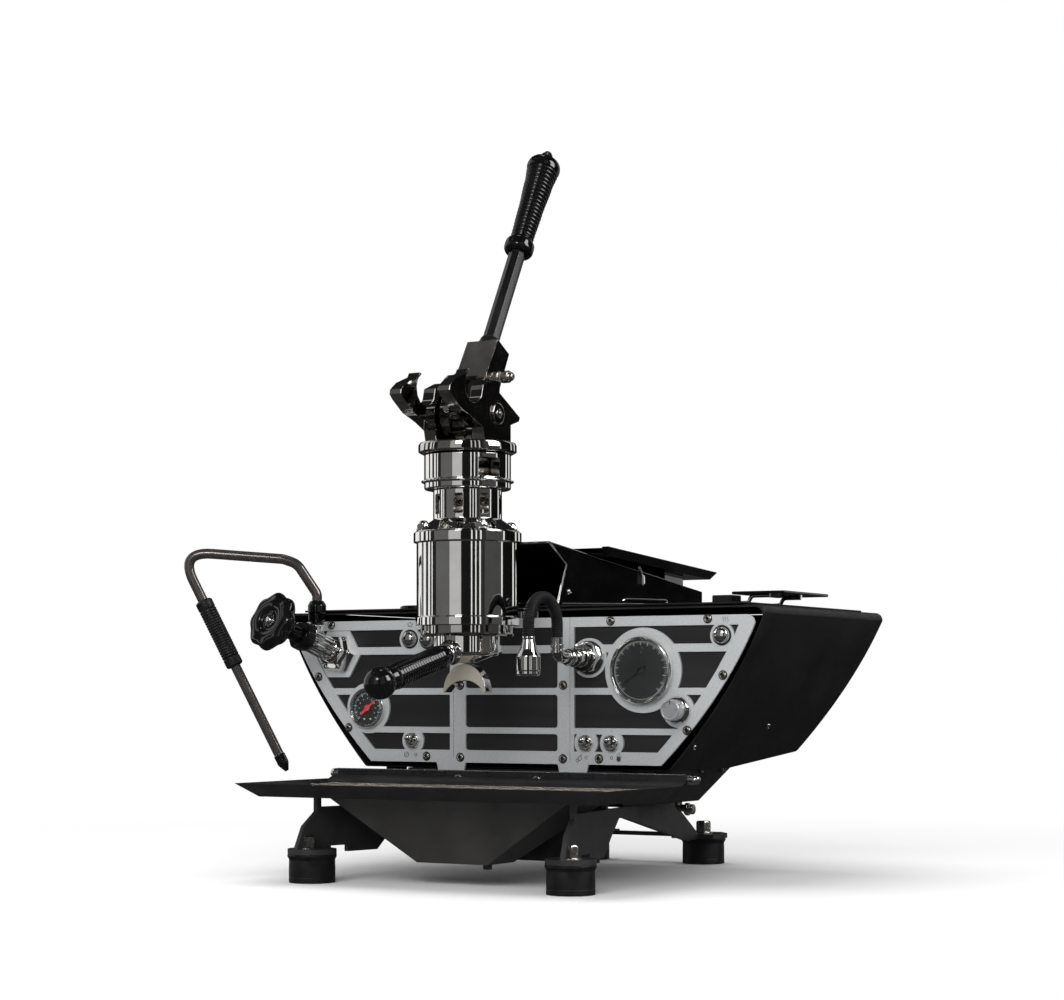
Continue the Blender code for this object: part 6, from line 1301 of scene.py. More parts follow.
# Portafilter. A chromed bowl hangs in the bayonet ring by two lugs and holds the steel basket. The
# handle is screwed onto its flared neck.
BOWL_RADIUS = 0.0335
BOWL_TOP = 0.2485
BOWL_LOW = 0.2215
BOWL_TIP = 0.2145
BOWL_WALL = 0.0025
BOWL_EDGE = 0.0012
BOWL_TIP_RADIUS = 0.0110
LUG_OUTER = 0.0385
LUG_WIDTH = 0.0160
LUG_LOW = 0.2438
LUG_HIGH = 0.2474
LUG_EDGE = 0.0008
BASKET_EDGE = 0.0003
HANDLE_ROOT = (0, GROUP_Y, 0.2320)
HANDLE_TURN = (math.pi / 2 + math.radians(13.8), 0, 0)
NECK_END = 0.0440
NECK_RADIUS = 0.0080
NECK_EDGE = 0.0007
NECK_COLLAR = 0.0034
NECK_COLLAR_SHARES = ((0, 1), (1.28, 1), (1.28, 0.1765), (1, 0))
NECK_FLARE = 0.0042
NECK_FLARE_SHARES = ((1, 1), (1.20, 0.762), (1.55, -0.119), (1.55, -0.595), (0, -0.595))


def round_arc(centre, radius, start, end, steps):
    """Points along an arc that don't cross the axis, angles in degrees."""
    angles = [math.radians(start + (end - start) * step / steps) for step in range(steps + 1)]
    return [(centre[0] + radius * math.cos(angle), centre[1] + radius * math.sin(angle)) for angle in angles]


def half_arc(height, radius, start, end, steps):
    """The profile of a ball on the axis, between two angles."""
    return [(max(0.0, out), up) for out, up in round_arc((0, height), radius, start, end, steps)]


bowl_parts = [lathe([
    (BOWL_RADIUS - BOWL_WALL, BOWL_TOP), (BOWL_RADIUS, BOWL_TOP), (BOWL_RADIUS, BOWL_LOW + BOWL_WALL),
    (BOWL_RADIUS - BOWL_WALL, BOWL_LOW), (BOWL_TIP_RADIUS, BOWL_TIP + BOWL_WALL * 0.4),
    (BOWL_TIP_RADIUS * 0.9, BOWL_TIP), (BOWL_TIP_RADIUS * 0.3, BOWL_TIP), (BOWL_TIP_RADIUS * 0.3, BOWL_LOW),
    (BOWL_RADIUS - 2 * BOWL_WALL, BOWL_LOW + BOWL_WALL), (BOWL_RADIUS - BOWL_WALL, BOWL_LOW + 2 * BOWL_WALL),
], BOWL_EDGE, steps=128)]
for side in (-1, 1):
    near_x, far_x = sorted((side * (BOWL_RADIUS - BOWL_WALL / 2), side * LUG_OUTER))
    bowl_parts.append(block((near_x, -LUG_WIDTH / 2, LUG_LOW), (far_x, LUG_WIDTH / 2, LUG_HIGH), LUG_EDGE))
bowl_parts.append(lathe([
    *sized(NECK_COLLAR_SHARES, NECK_RADIUS, NECK_COLLAR, NECK_END - NECK_COLLAR),
    *sized(NECK_FLARE_SHARES, NECK_RADIUS, NECK_FLARE, BOWL_RADIUS),
], NECK_EDGE, steps=64, at=(0, 0, HANDLE_ROOT[2]), turn=HANDLE_TURN))
show("portafilter_bowl", bowl_parts, chrome, "portafilter", at=GROUP)
show("filter_basket", [from_solid("filter_basket", BASKET_EDGE)], brushed_steel, "portafilter")


# Spout. A cast crescent, ground and chromed dark, with a beige nickel face and a short boss that
# screws it to the bowl.
SPOUT_LOW = 0.1860
SPOUT_OUTER = 0.0275
SPOUT_HALF = 0.0238
SPOUT_END = 0.0222
SPOUT_CROWN = 0.0120
SPOUT_THICKNESS = 0.0130
SPOUT_FACE = 0.0008
SPOUT_EDGE = 0.0005
SPOUT_STEPS = 40
SPOUT_GAP = 0.0004
SPOUT_STEM = (0.0050, 0.0062)
SPOUT_BOSS = 0.0060

crown_radius = (SPOUT_END**2 + SPOUT_CROWN**2) / (2 * SPOUT_CROWN)
crown_angle = math.degrees(math.asin(SPOUT_END / crown_radius))
crescent = [
    *[(x * SPOUT_HALF / SPOUT_OUTER, z) for x, z in round_arc(ORIGIN, SPOUT_OUTER, 0, 180, SPOUT_STEPS)],
    *round_arc((0, SPOUT_CROWN - crown_radius), crown_radius, 90 + crown_angle, 90 - crown_angle, SPOUT_STEPS),
]
nickel = finish("polished_nickel_shown", ((0.42, 0.390, 0.335), (0.48, 0.445, 0.385)),
                (0.20, 0.28), metallic=0.40, grain=0.0014, relief=0.000001, cloud=0.014)
stem_top = BOWL_TIP - SPOUT_GAP
boss_low = SPOUT_LOW + SPOUT_OUTER - SPOUT_BOSS
show("portafilter_spout", [
    plate(crescent, SPOUT_THICKNESS - SPOUT_FACE, at=(0, SPOUT_FACE / 2, SPOUT_LOW), turn=FACING_FRONT,
          edge=SPOUT_EDGE, steps=3),
    lathe([(0, stem_top), (SPOUT_STEM[0], stem_top), (SPOUT_STEM[0], boss_low + SPOUT_BOSS * 0.80),
           (SPOUT_STEM[1], boss_low + SPOUT_BOSS * 0.633), (SPOUT_STEM[1], boss_low), (0, boss_low)],
          SPOUT_GAP, steps=48),
], black_chrome, "portafilter", at=GROUP, slot="polished_nickel")
show("portafilter_spout_face", [
    plate(crescent, SPOUT_FACE, at=(0, (SPOUT_FACE - SPOUT_THICKNESS) / 2, SPOUT_LOW), turn=FACING_FRONT,
          edge=CUT_EDGE),
], nickel, "portafilter", at=GROUP)


# Portafilter handle. A turned grip with flat ribs and a ball end, lacquered gloss black and screwed
# onto the bowl's neck.
HANDLE_RADIUS = 0.0108
HANDLE_LINE = ((0.0560, 0.0120), (0.0900, 0.0117), (0.1350, 0.0122))
HANDLE_RIBS = 18
HANDLE_RIB_DEPTH = 0.0010
HANDLE_FLANK_SHARE = 0.50
HANDLE_GAP = 0.0004
HANDLE_COLLAR = (0.1370, 0.1405)
HANDLE_COLLAR_EDGE = 0.0008
HANDLE_SHOULDER = (0.0012, 0.0035)
HANDLE_SHOULDER_EDGE = 0.0022
BALL_RADIUS = 0.0152
BALL_AT = 0.1576

ball_start = math.degrees(math.acos(HANDLE_RADIUS * 0.86 / BALL_RADIUS))
ball_end = half_arc(BALL_AT, BALL_RADIUS, 90, -ball_start, 28)
(line_low, line_low_radius), (line_high, line_high_radius) = HANDLE_LINE[0], HANDLE_LINE[-1]
show("portafilter_handle", [turned([
    *ball_end,
    *rounded([(HANDLE_RADIUS * 0.86, ball_end[-1][1] - HANDLE_GAP / 2), (HANDLE_RADIUS * 1.06, HANDLE_COLLAR[1]),
              (HANDLE_RADIUS * 1.08, HANDLE_COLLAR[0]),
              (line_high_radius - HANDLE_RIB_DEPTH, line_high + HANDLE_GAP)], HANDLE_COLLAR_EDGE, 3),
    *ribbed(HANDLE_LINE, HANDLE_RIBS, HANDLE_RIB_DEPTH, flank=HANDLE_FLANK_SHARE),
    *rounded([(line_low_radius - HANDLE_RIB_DEPTH, line_low - HANDLE_GAP),
              (HANDLE_RADIUS * 1.04, line_low - HANDLE_SHOULDER[0]),
              (HANDLE_RADIUS, NECK_END + HANDLE_SHOULDER[1]), (HANDLE_RADIUS * 0.80, NECK_END + SEAT),
              (0, NECK_END + SEAT)], HANDLE_SHOULDER_EDGE, 5),
], steps=96)], gloss_black, "portafilter", at=HANDLE_ROOT, turn=HANDLE_TURN)


# Steam valve. It leans out of the panel: two stepped hexagonal plates, a fluted chromed body, a
# black union nut and a spindle guide. Its outlet rises into the wand's swivel.
VALVE_AXIS = Vector((-0.2200, -1.0, 0.3600)).normalized()
VALVE_AT = Vector((VALVE[0], 0, VALVE[1]))
ON_VALVE = {"at": tuple(VALVE_AT), "turn": tuple(VALVE_AXIS.to_track_quat("Z", "Y").to_euler())}
VALVE_PLATES = ((0.0205, -0.0060, 0.0055), (0.0172, 0.0055, 0.0128))
VALVE_PLATE_CHAMFER = 0.0012
VALVE_BOLTS = 6
VALVE_BOLT = (0.0022, 0.0016)
VALVE_BOLT_RING = 0.0182
VALVE_BODY = (0.0125, 0.0470)
VALVE_COLLARS = (0.0160, 0.0435)
VALVE_COLLAR_STEP = 0.0005
VALVE_FLUTES = 14
VALVE_FLUTE_SHARE = 0.12
FLUTE_BAND = (0.0164, 0.0432)
VALVE_NUT = (0.0150, 0.0600)
VALVE_STEM = (0.0090, 0.0760)
VALVE_STEM_EDGE = 0.0006
VALVE_CHAMFER = 0.0020
VALVE_EDGE = 0.0005
SWIVEL = VALVE_AT + VALVE_AXIS * 0.0320
SWIVEL_LOW = 0.2559
OUTLET_RADIUS = 0.0070
OUTLET_COLLAR = 0.0100


def pressed(mesh, count, depth):
    """Presses flutes or lobes into a turned mesh. Their depth is a share of a place's radius, given
    for its radius and height."""
    for vertex in mesh.vertices:
        x, y, z = vertex.co
        press = 1 - depth(math.hypot(x, y), z) * (1 - math.cos(count * math.atan2(y, x))) / 2
        vertex.co.x *= press
        vertex.co.y *= press
    return mesh


body_radius, body_end = VALVE_BODY
hexagons = []
for plate_radius, plate_low, plate_high in VALVE_PLATES:
    hexagons.append(lathe([
        (0, plate_high), (plate_radius * 0.90, plate_high), (plate_radius, plate_high - VALVE_PLATE_CHAMFER),
        (plate_radius, plate_low), (0, plate_low),
    ], VALVE_EDGE, 3, steps=96, across=plate_radius * 2 * math.cos(math.pi / 6)))
for bolt in range(VALVE_BOLTS):
    angle = math.tau * bolt / VALVE_BOLTS
    hexagons += socket_screw(*VALVE_BOLT, (VALVE_BOLT_RING * math.cos(angle), VALVE_BOLT_RING * math.sin(angle),
                                           VALVE_PLATES[0][2]))
show("valve_plates", hexagons, chrome, **ON_VALVE)
body_low = VALVE_PLATES[1][2]
low_collar, high_collar = VALVE_COLLARS
fluted_body = turned([
    (0, body_end), (body_radius * 0.92, body_end), (body_radius, body_end - 2 * VALVE_COLLAR_STEP),
    (body_radius, high_collar), (body_radius * 0.99, high_collar - VALVE_COLLAR_STEP),
    (body_radius * 0.99, low_collar + VALVE_COLLAR_STEP), (body_radius, low_collar), (body_radius, body_low),
    (0, body_low),
], steps=216)
show("steam_valve_body", [
    pressed(fluted_body, VALVE_FLUTES, lambda radius, z: VALVE_FLUTE_SHARE * (FLUTE_BAND[0] <= z <= FLUTE_BAND[1])),
], chrome, **ON_VALVE)
nut_radius, nut_end = VALVE_NUT
stem_radius, stem_end = VALVE_STEM
show("valve_union", [
    lathe([(0, nut_end), (nut_radius * 0.86, nut_end), (nut_radius, nut_end - VALVE_CHAMFER),
           (nut_radius, body_end + VALVE_CHAMFER), (nut_radius * 0.90, body_end), (0, body_end)], VALVE_EDGE,
          steps=96, across=nut_radius * 1.86),
    lathe([(0, stem_end), (stem_radius * 0.80, stem_end), (stem_radius, stem_end - VALVE_CHAMFER),
           (stem_radius, nut_end), (0, nut_end)], VALVE_STEM_EDGE, steps=64),
], gloss_black, **ON_VALVE)
outlet_top = SWIVEL_LOW - SEAT
show("valve_outlet", [lathe([
    (0, outlet_top), (OUTLET_RADIUS, outlet_top), (OUTLET_RADIUS, SWIVEL.z + OUTLET_COLLAR * 1.1),
    (OUTLET_RADIUS * 1.12, SWIVEL.z + OUTLET_COLLAR), (OUTLET_RADIUS * 1.12, SWIVEL.z), (0, SWIVEL.z),
], VALVE_EDGE, steps=48)], chrome, at=(SWIVEL.x, SWIVEL.y, 0))


# Steam knob. A moulded hand wheel with eight lobes and a dished face, gloss black, held by a
# chromed dome screw on a washer.
KNOB_RADIUS = 0.0310
KNOB_LOW = 0.0886
KNOB_HIGH = 0.1046
KNOB_EDGE = 0.0026
KNOB_SHARES = ((0, 0.71875), (0.36, 0.71875), (0.44, 0.9625), (0.62, 1), (0.86, 0.925), (1, 0.675), (1, 0.325),
               (0.84, 0))
KNOB_HUB = (0.0110, 0.0766)
KNOB_LOBES = 8
KNOB_LOBE_SHARE = 0.10
KNOB_DISH = 0.0045
KNOB_WASHER = (0.0068, 0.0012)
KNOB_SCREW = (0.0048, 0.0032)
KNOB_SCREW_SHARES = ((0, 1), (0.542, 0.875), (0.917, 0.375), (1, 0), (0, 0))
KNOB_SCREW_EDGE = 0.0006
KNOB_SCREW_LOW = KNOB_HIGH - 0.0034

wheel = turned([
    *rounded([*sized(KNOB_SHARES, KNOB_RADIUS, KNOB_HIGH - KNOB_LOW, KNOB_LOW), (KNOB_HUB[0], KNOB_LOW)],
             KNOB_EDGE, 6),
    KNOB_HUB, (0, KNOB_HUB[1]),
], steps=192)
show("steam_knob", [
    pressed(wheel, KNOB_LOBES, lambda radius, z: KNOB_LOBE_SHARE * (radius / KNOB_RADIUS) ** 3),
], gloss_black, "steam_handwheel", **ON_VALVE)
show("steam_knob_screw", [
    washer(*KNOB_WASHER, (0, 0, KNOB_HIGH - KNOB_DISH)),
    lathe(sized(KNOB_SCREW_SHARES, *KNOB_SCREW, KNOB_SCREW_LOW), KNOB_SCREW_EDGE, steps=48),
], chrome, "steam_handwheel", **ON_VALVE)


# Steam wand. A black swivel nut with a hexagon below it, a bent tube of drawn steel, a ribbed
# rubber grip and a pointed black tip.
SWIVEL_HIGH = 0.2810
SWIVEL_RADIUS = 0.0095
SWIVEL_CAP_SHARES = ((0, 1), (0.66, 1), (0.80, 0.944), (1, 0.801), (1, 0.52), (0.90, 0.46), (0, 0.46))
SWIVEL_NUT_SHARES = ((0, 0.46), (0.98, 0.46), (0.98, 0.20), (0.737, 0.12), (0.737, 0), (0, 0))
SWIVEL_EDGE = 0.0007
TUBE_RADIUS = 0.0052
WAND_TURN = math.radians(210.0)
WAND_BEND = 0.0200
WAND_LINE = ((0.0000, 0.2813), (0.0000, 0.2880), (0.0205, 0.3190), (0.0350, 0.3240), (0.1430, 0.3320),
             (0.0395, 0.1224))
BEND_REACH_SHARE = 0.48
STEAM_GRIP_RADIUS = 0.0090
STEAM_GRIP_SHARES = (0.11, 0.49)
STEAM_GRIP_END = 0.0108
STEAM_GRIP_END_SHARES = ((0.80, 0), (1, 0.139), (1, 0.85), (0.93, 0.95))
STEAM_GRIP_EDGE = 0.0008
STEAM_GRIP_RIBS = 19
STEAM_RIB_DEPTH = 0.0004
TIP_RADIUS = 0.0062
TIP_LENGTH = 0.0190
TIP_SHARES = ((0, 1), (0.30, 1), (0.86, 0.62), (1, 0.52), (1, 0.06), (0.88, 0), (0, 0))
TIP_EDGE = 0.0005


def bent(points, bend, steps):
    """A line with its corners bent to a radius as far as its straights allow."""
    corners = [Vector(point) for point in points]
    line = [corners[0]]
    for before, corner, after in zip(corners, corners[1:], corners[2:]):
        back, ahead = before - corner, after - corner
        half_turn = (math.pi - back.angle(ahead)) / 2
        reach = min(bend * math.tan(half_turn), back.length * BEND_REACH_SHARE, ahead.length * BEND_REACH_SHARE)
        start, end = corner + back.normalized() * reach, corner + ahead.normalized() * reach
        for share in (step / steps for step in range(steps + 1)):
            line.append(start * (1 - share) ** 2 + corner * 2 * share * (1 - share) + end * share**2)
    return [*line, corners[-1]]


swivel_at = Vector((SWIVEL.x, SWIVEL.y, 0))
swivel_size = (SWIVEL_RADIUS, SWIVEL_HIGH - SWIVEL_LOW, SWIVEL_LOW)
show("steam_swivel", [
    lathe(sized(SWIVEL_CAP_SHARES, *swivel_size), SWIVEL_EDGE),
    lathe(sized(SWIVEL_NUT_SHARES, *swivel_size), TIP_EDGE, steps=96, across=SWIVEL_RADIUS * 1.80),
], gloss_black, "wand", at=tuple(swivel_at))
tube_steel = finish("drawn_steel_tube", ((0.115, 0.105, 0.099), (0.155, 0.141, 0.132)),
                    (0.16, 0.22), metallic=0.80, grain=0.0008, relief=0.000001, cloud=0.012)
wand_line = [Vector((out, 0, up)) for out, up in bent(WAND_LINE, WAND_BEND, 16)]
show("steam_tube", [pipe(wand_line, TUBE_RADIUS)], tube_steel, "wand", at=tuple(swivel_at), turn=(0, 0, WAND_TURN))
wand_spin = Matrix.Rotation(WAND_TURN, 3, "Z")
wand_start, wand_down = wand_line[-2], wand_line[-1] - wand_line[-2]
ON_WAND = {"body": "wand", "at": tuple(swivel_at + wand_spin @ wand_start),
           "turn": tuple((wand_spin @ wand_down).to_track_quat("Z", "Y").to_euler())}
grip_low, grip_high = (wand_down.length * share for share in STEAM_GRIP_SHARES)
rib_line = [(grip_low + STEAM_GRIP_END, STEAM_GRIP_RADIUS), (grip_high - STEAM_GRIP_END, STEAM_GRIP_RADIUS)]
show("steam_grip", [turned([
    (TUBE_RADIUS, grip_high),
    *rounded(sized(STEAM_GRIP_END_SHARES, STEAM_GRIP_RADIUS, -STEAM_GRIP_END, grip_high), STEAM_GRIP_EDGE),
    *ribbed(rib_line, STEAM_GRIP_RIBS, STEAM_RIB_DEPTH),
    *rounded(sized(STEAM_GRIP_END_SHARES[::-1], STEAM_GRIP_RADIUS, STEAM_GRIP_END, grip_low), STEAM_GRIP_EDGE),
    (TUBE_RADIUS, grip_low),
], steps=64)], rubber, **ON_WAND)
show("steam_tip", [lathe(sized(TIP_SHARES, TIP_RADIUS, TIP_LENGTH, wand_down.length + SEAT), TIP_EDGE, steps=96,
                         across=TIP_RADIUS * 1.84)], gloss_black, **ON_WAND)


# Hot-water tap. A flange and hexagon nut on the panel, and an elbow of stepped rings that turns up
# into a rubber-covered hose. The hose arches forward and down to a chromed aerator.
TAP_FLANGE = (0.0170, 0.0030)
TAP_FLANGE_SHARES = ((0, 1), (0.90, 1), (1, 0.5), (1, 0.1), (0, 0.1))
TAP_NUT = (0.0150, 0.0120)
TAP_NUT_SHARES = ((0, 1), (0.86, 1), (1, 0.867), (1, 0), (0, 0))
TAP_BODY = (0.0095, 0.0180)
TAP_BODY_SHARES = ((0, 1), (0.92, 1), (1, 0.944), (1, 0.667), (0.90, 0.622), (0.90, 0.167), (1, 0.122), (1, 0),
                   (0, 0))
TAP_EDGES = (0.0009, 0.0004, 0.0006)
ELBOW_RADIUS = 0.0060
ELBOW_STEP = 0.0150
ELBOW_SHARES = ((0, 1), (1, 1), (1.20, 0.90), (1.20, 0.767), (1.275, 0.667), (1.417, 0.567), (1.417, 0.30),
                (1.275, 0.20), (1, 0), (0, 0))
ELBOW_BEND = 0.0080
ELBOW_Y = -0.0635
ELBOW_TOP = 0.2385
ELBOW_RING = 0.0016
ELBOW_RING_EDGE = 0.0005
ELBOW_RINGS = (0.0055, 0.0105)
HOSE_RADIUS = 0.0058
HOSE_REACH = 0.0550
HOSE_RISE = 0.0380
HOSE_STEPS = 40
HOSE_RINGS = 48
HOSE_RING_SHARE = 0.10
NOZZLE_RADIUS = 0.0114
NOZZLE_LOW = 0.2015
NOZZLE_EDGE = 0.0006
NOZZLE_SHARES = ((0, 1), (0.56, 1), (0.56, 0.951), (0.482, 0.935), (0.70, 0.681), (0.80, 0.616), (1, 0.50),
                 (1, 0.135), (0.97, 0.124), (0.97, 0.043), (0.90, 0), (0.60, 0), (0.55, 0.054), (0, 0.054))

tap_x, tap_z = TAP
body_edge, nut_edge, flange_edge = TAP_EDGES
nut_end = TAP_FLANGE[1] + TAP_NUT[1]
# The tap and elbow take a darker copy of the chrome: painted shade that dims the reflections on their rings.
tap_chrome_painted_shade = finish("chrome_dimmed_by_painted_shade", ((0.50, 0.49, 0.475), (0.60, 0.59, 0.575)), (0.04, 0.09),
                    metallic=1.0, grain=0.002, relief=0.000006, cloud=0.012)
show("water_tap_body", [
    lathe(sized(TAP_BODY_SHARES, *TAP_BODY, nut_end), body_edge, steps=64),
    lathe(sized(TAP_NUT_SHARES, *TAP_NUT, TAP_FLANGE[1]), nut_edge, steps=96, across=TAP_NUT[0] * 1.80),
    lathe(sized(TAP_FLANGE_SHARES, *TAP_FLANGE), flange_edge, steps=96),
], tap_chrome_painted_shade, at=(tap_x, 0, tap_z), turn=FACING_FRONT)
elbow_start = nut_end + TAP_BODY[1] + SEAT
elbow_line = rounded([(0, 0, elbow_start), (0, 0, -ELBOW_Y), (0, ELBOW_TOP - tap_z, -ELBOW_Y)], ELBOW_BEND, 10)
elbow_parts = [
    lathe(sized(ELBOW_SHARES, ELBOW_RADIUS, ELBOW_STEP, elbow_start), flange_edge, steps=64),
    pipe(elbow_line, ELBOW_RADIUS * 0.92, 10),
]
for ring_rise in ELBOW_RINGS:
    elbow_parts.append(lathe([
        (ELBOW_RADIUS * 0.5, ELBOW_RING), (ELBOW_RADIUS * 1.12, ELBOW_RING), (ELBOW_RADIUS * 1.12, -ELBOW_RING),
        (ELBOW_RADIUS * 0.5, -ELBOW_RING),
    ], ELBOW_RING_EDGE, steps=48, at=(0, ring_rise, -ELBOW_Y), turn=FACING_FRONT))
show("water_tap_elbow", elbow_parts, tap_chrome_painted_shade, at=(tap_x, 0, tap_z), turn=FACING_FRONT)

hose_low = ELBOW_TOP + SEAT
hose_spring = hose_low + 2 * HOSE_RADIUS
hose_line = [(0, 0, hose_low)]
for step in range(HOSE_STEPS + 1):
    angle = math.pi * step / HOSE_STEPS
    hose_line.append((0, HOSE_REACH / 2 * (math.cos(angle) - 1),
                      hose_spring + (ELBOW_TOP + HOSE_RISE - hose_spring) * math.sin(angle)))
hose_line.append((0, -HOSE_REACH, hose_low))


def along(points, count):
    """Evenly spaced places on a line of points."""
    corners = [Vector(point) for point in points]
    lengths = [(after - before).length for before, after in zip(corners, corners[1:])]
    places = []
    for step in range(count + 1):
        left = sum(lengths) * step / count
        for before, after, length in zip(corners, corners[1:], lengths):
            if left <= length or after is corners[-1]:
                places.append(before.lerp(after, min(1.0, left / length)))
                break
            left -= length
    return places


hose_places = along(hose_line, HOSE_RINGS * 4)
hose_swell = [1 - HOSE_RING_SHARE * (step % 4 in (0, 1)) for step in range(len(hose_places))]
hose_rubber = finish("hose_rubber", ((0.0055, 0.0055, 0.0062), (0.0100, 0.0100, 0.0115)),
                     (0.44, 0.58), grain=0.0008, relief=0.00002, cloud=0.010, sheen=0.25)
show("water_hose", [pipe(hose_places, HOSE_RADIUS, 10, hose_swell)], hose_rubber, "water_spout",
     at=(tap_x, ELBOW_Y, 0))
show("water_nozzle", [
    lathe(sized(NOZZLE_SHARES, NOZZLE_RADIUS, ELBOW_TOP - NOZZLE_LOW, NOZZLE_LOW), NOZZLE_EDGE, steps=96),
], chrome, "water_spout", at=(tap_x, ELBOW_Y - HOSE_REACH, 0))


# Gauges. A large pressure gauge and a small one for the boiler. Each has a stepped chrome rim on a
# can, a black printed face, a pointer on a boss and a flat glass. The small one's pointer is red.
GAUGE_RIM = 0.0035
RIM_RELIEF = 0.0010
RIM_SHARES = ((0, -0.8), (0.18, 0), (0.36, -0.3), (0.42, -1.2), (0.50, -0.6), (0.72, -0.2))
RIM_EDGE = 0.0004
FACE_DEPTH = 0.0045
DIAL_THICKNESS = 0.0010
DIAL_GAP = 0.0004
GLASS_THICKNESS = 0.0008
GLASS_DEPTH = 0.0006
GLASS_EDGE = 0.0002
TICK_LIFT = 0.00015
HAND_THICKNESS = 0.0006
HAND_EDGE = 0.00012
BOSS_EDGE = 0.0003
BIG_SIZES = (0.0332, 0.0080, 0.0300)
SMALL_SIZES = (0.0207, 0.0060, 0.0172)
SMALL_FACE_HALF = 0.0002
BIG_TICKS = ((0.94, 0.82, 135, 17, 0.00055), (0.94, 0.88, 135, 81, 0.00022))
SMALL_TICKS = ((0.95, 0.76, 135, 11, 0.0006), (0.95, 0.84, 135, 51, 0.00022), (0.62, 0.54, 120, 9, 0.0005))
RING_SHARES = (0.955, 0.945)
BIG_HAND_SHARES = (0.80, 0.24, 0.10)
SMALL_HAND_SHARES = (0.80, 0.62, 0.20)
DOT_RADIUS = 0.0010
DOT_SHARES = (0.22, -0.66)


def gauge_case(radius, bezel, can_radius):
    """A stepped bezel with its can behind the panel, as one turned shape."""
    floor, inner = bezel - FACE_DEPTH, radius - GAUGE_RIM
    return lathe([
        (0, floor), (inner, floor),
        *[(inner + GAUGE_RIM * out, bezel + RIM_RELIEF * up) for out, up in RIM_SHARES], (radius, bezel * 0.72),
        (radius, SEAT), (can_radius, SEAT), (can_radius, -can_radius), (0, -can_radius),
    ], RIM_EDGE, 3, steps=160)


def disc(radius, low, high, edge=0.0, **place):
    """A flat round sheet between two heights, its rim rounded by an edge."""
    profile = [(0, high), (radius, high), (radius, low), (0, low)]
    return lathe(profile, edge, **place) if edge else turned(profile, **place)


def ticks(reach, height, rows):
    """Printed strokes on a face in rows, each between two shares of its reach, over a sweep to both
    sides of the top."""
    strokes = []
    for outer, inner, sweep, count, width in rows:
        for index in range(count):
            angle = math.radians(sweep * (2 * index / (count - 1) - 1))
            strokes.append(block((-width / 2, reach * inner, height), (width / 2, reach * outer, height + TICK_LIFT),
                                 turn=(0, 0, -angle)))
    return strokes


def hand(reach, shares, height):
    """A tapered pointer with a spade end and its boss, from shares of the face's reach."""
    length, tail, width = (reach * share for share in shares)
    outline = [(0.45, -tail), (0.28, length * 0.55), (0.50, length * 0.62)]
    right = [(width * out, up) for out, up in outline]
    left = [(-x, up) for x, up in reversed(right)]
    boss = [(0, 1.6), (0.85, 1.6), (1, 0.8), (1, 0), (0, 0)]
    return [
        plate([*right, (0, length), *left], HAND_THICKNESS, at=(0, 0, height + HAND_THICKNESS / 2), edge=HAND_EDGE),
        lathe(sized(boss, width, HAND_THICKNESS, height), BOSS_EDGE, steps=40),
    ]


big_radius, big_bezel, _ = BIG_SIZES
big_inner, big_floor = big_radius - GAUGE_RIM, big_bezel - FACE_DEPTH
on_big = {"at": (BIG_GAUGE[0], 0, BIG_GAUGE[1]), "turn": FACING_FRONT}
dial_top = big_floor + SEAT + DIAL_THICKNESS
face_black = finish("gauge_face_dark", ((0.0030, 0.0030, 0.0034), (0.0060, 0.0060, 0.0066)),
                    (0.36, 0.48), grain=0.0008, relief=0.00001, cloud=0.012, sheen=0.3)
white_print = finish("white_print", ((0.34, 0.36, 0.37), (0.46, 0.48, 0.48)), (0.45, 0.60),
                     cloud=0.004)
red_paint = finish("pointer_paint", ((0.42, 0.012, 0.010), (0.56, 0.022, 0.018)), (0.30, 0.42),
                   grain=0.0006, relief=0.00001, cloud=0.004)
glass = finish("clear_gauge_glass", ((0.94, 0.96, 0.96), (0.98, 0.99, 0.99)), (0.0, 0.03),
               cloud=0.02)
glass.node_tree.nodes["Principled BSDF"].inputs["Transmission Weight"].default_value = 1.0
glass.node_tree.nodes["Principled BSDF"].inputs["IOR"].default_value = 1.10
teal_print = finish("teal_print", ((0.30, 0.45, 0.46), (0.46, 0.60, 0.60)), (0.45, 0.60),
                    cloud=0.004)

show("pressure_gauge_case", [gauge_case(*BIG_SIZES)], chrome, **on_big)
show("pressure_gauge_dial", [disc(big_inner - DIAL_GAP, big_floor + SEAT, dial_top, steps=120)], face_black,
     **on_big)
ring_outer, ring_inner = (big_inner * share for share in RING_SHARES)
ring_top = dial_top + TICK_LIFT
show("pressure_gauge_print", [
    turned([(ring_outer, ring_top), (ring_outer, dial_top), (ring_inner, dial_top), (ring_inner, ring_top)],
           steps=120),
    *ticks(big_inner, dial_top, BIG_TICKS),
], white_print, **on_big)
show("pressure_pointer_shown", hand(big_inner, BIG_HAND_SHARES, dial_top + SEAT), gloss_black, "pressure_needle",
     at=on_big["at"], turn=(math.pi / 2, math.radians(-125.0), 0), slot="red_pointer",
     node="pressure_gauge_pointer")
glass_top = big_bezel - GLASS_DEPTH
show("pressure_gauge_glass", [
    disc(big_inner - SEAT, glass_top - GLASS_THICKNESS, glass_top, GLASS_EDGE, steps=120),
], glass, **on_big)

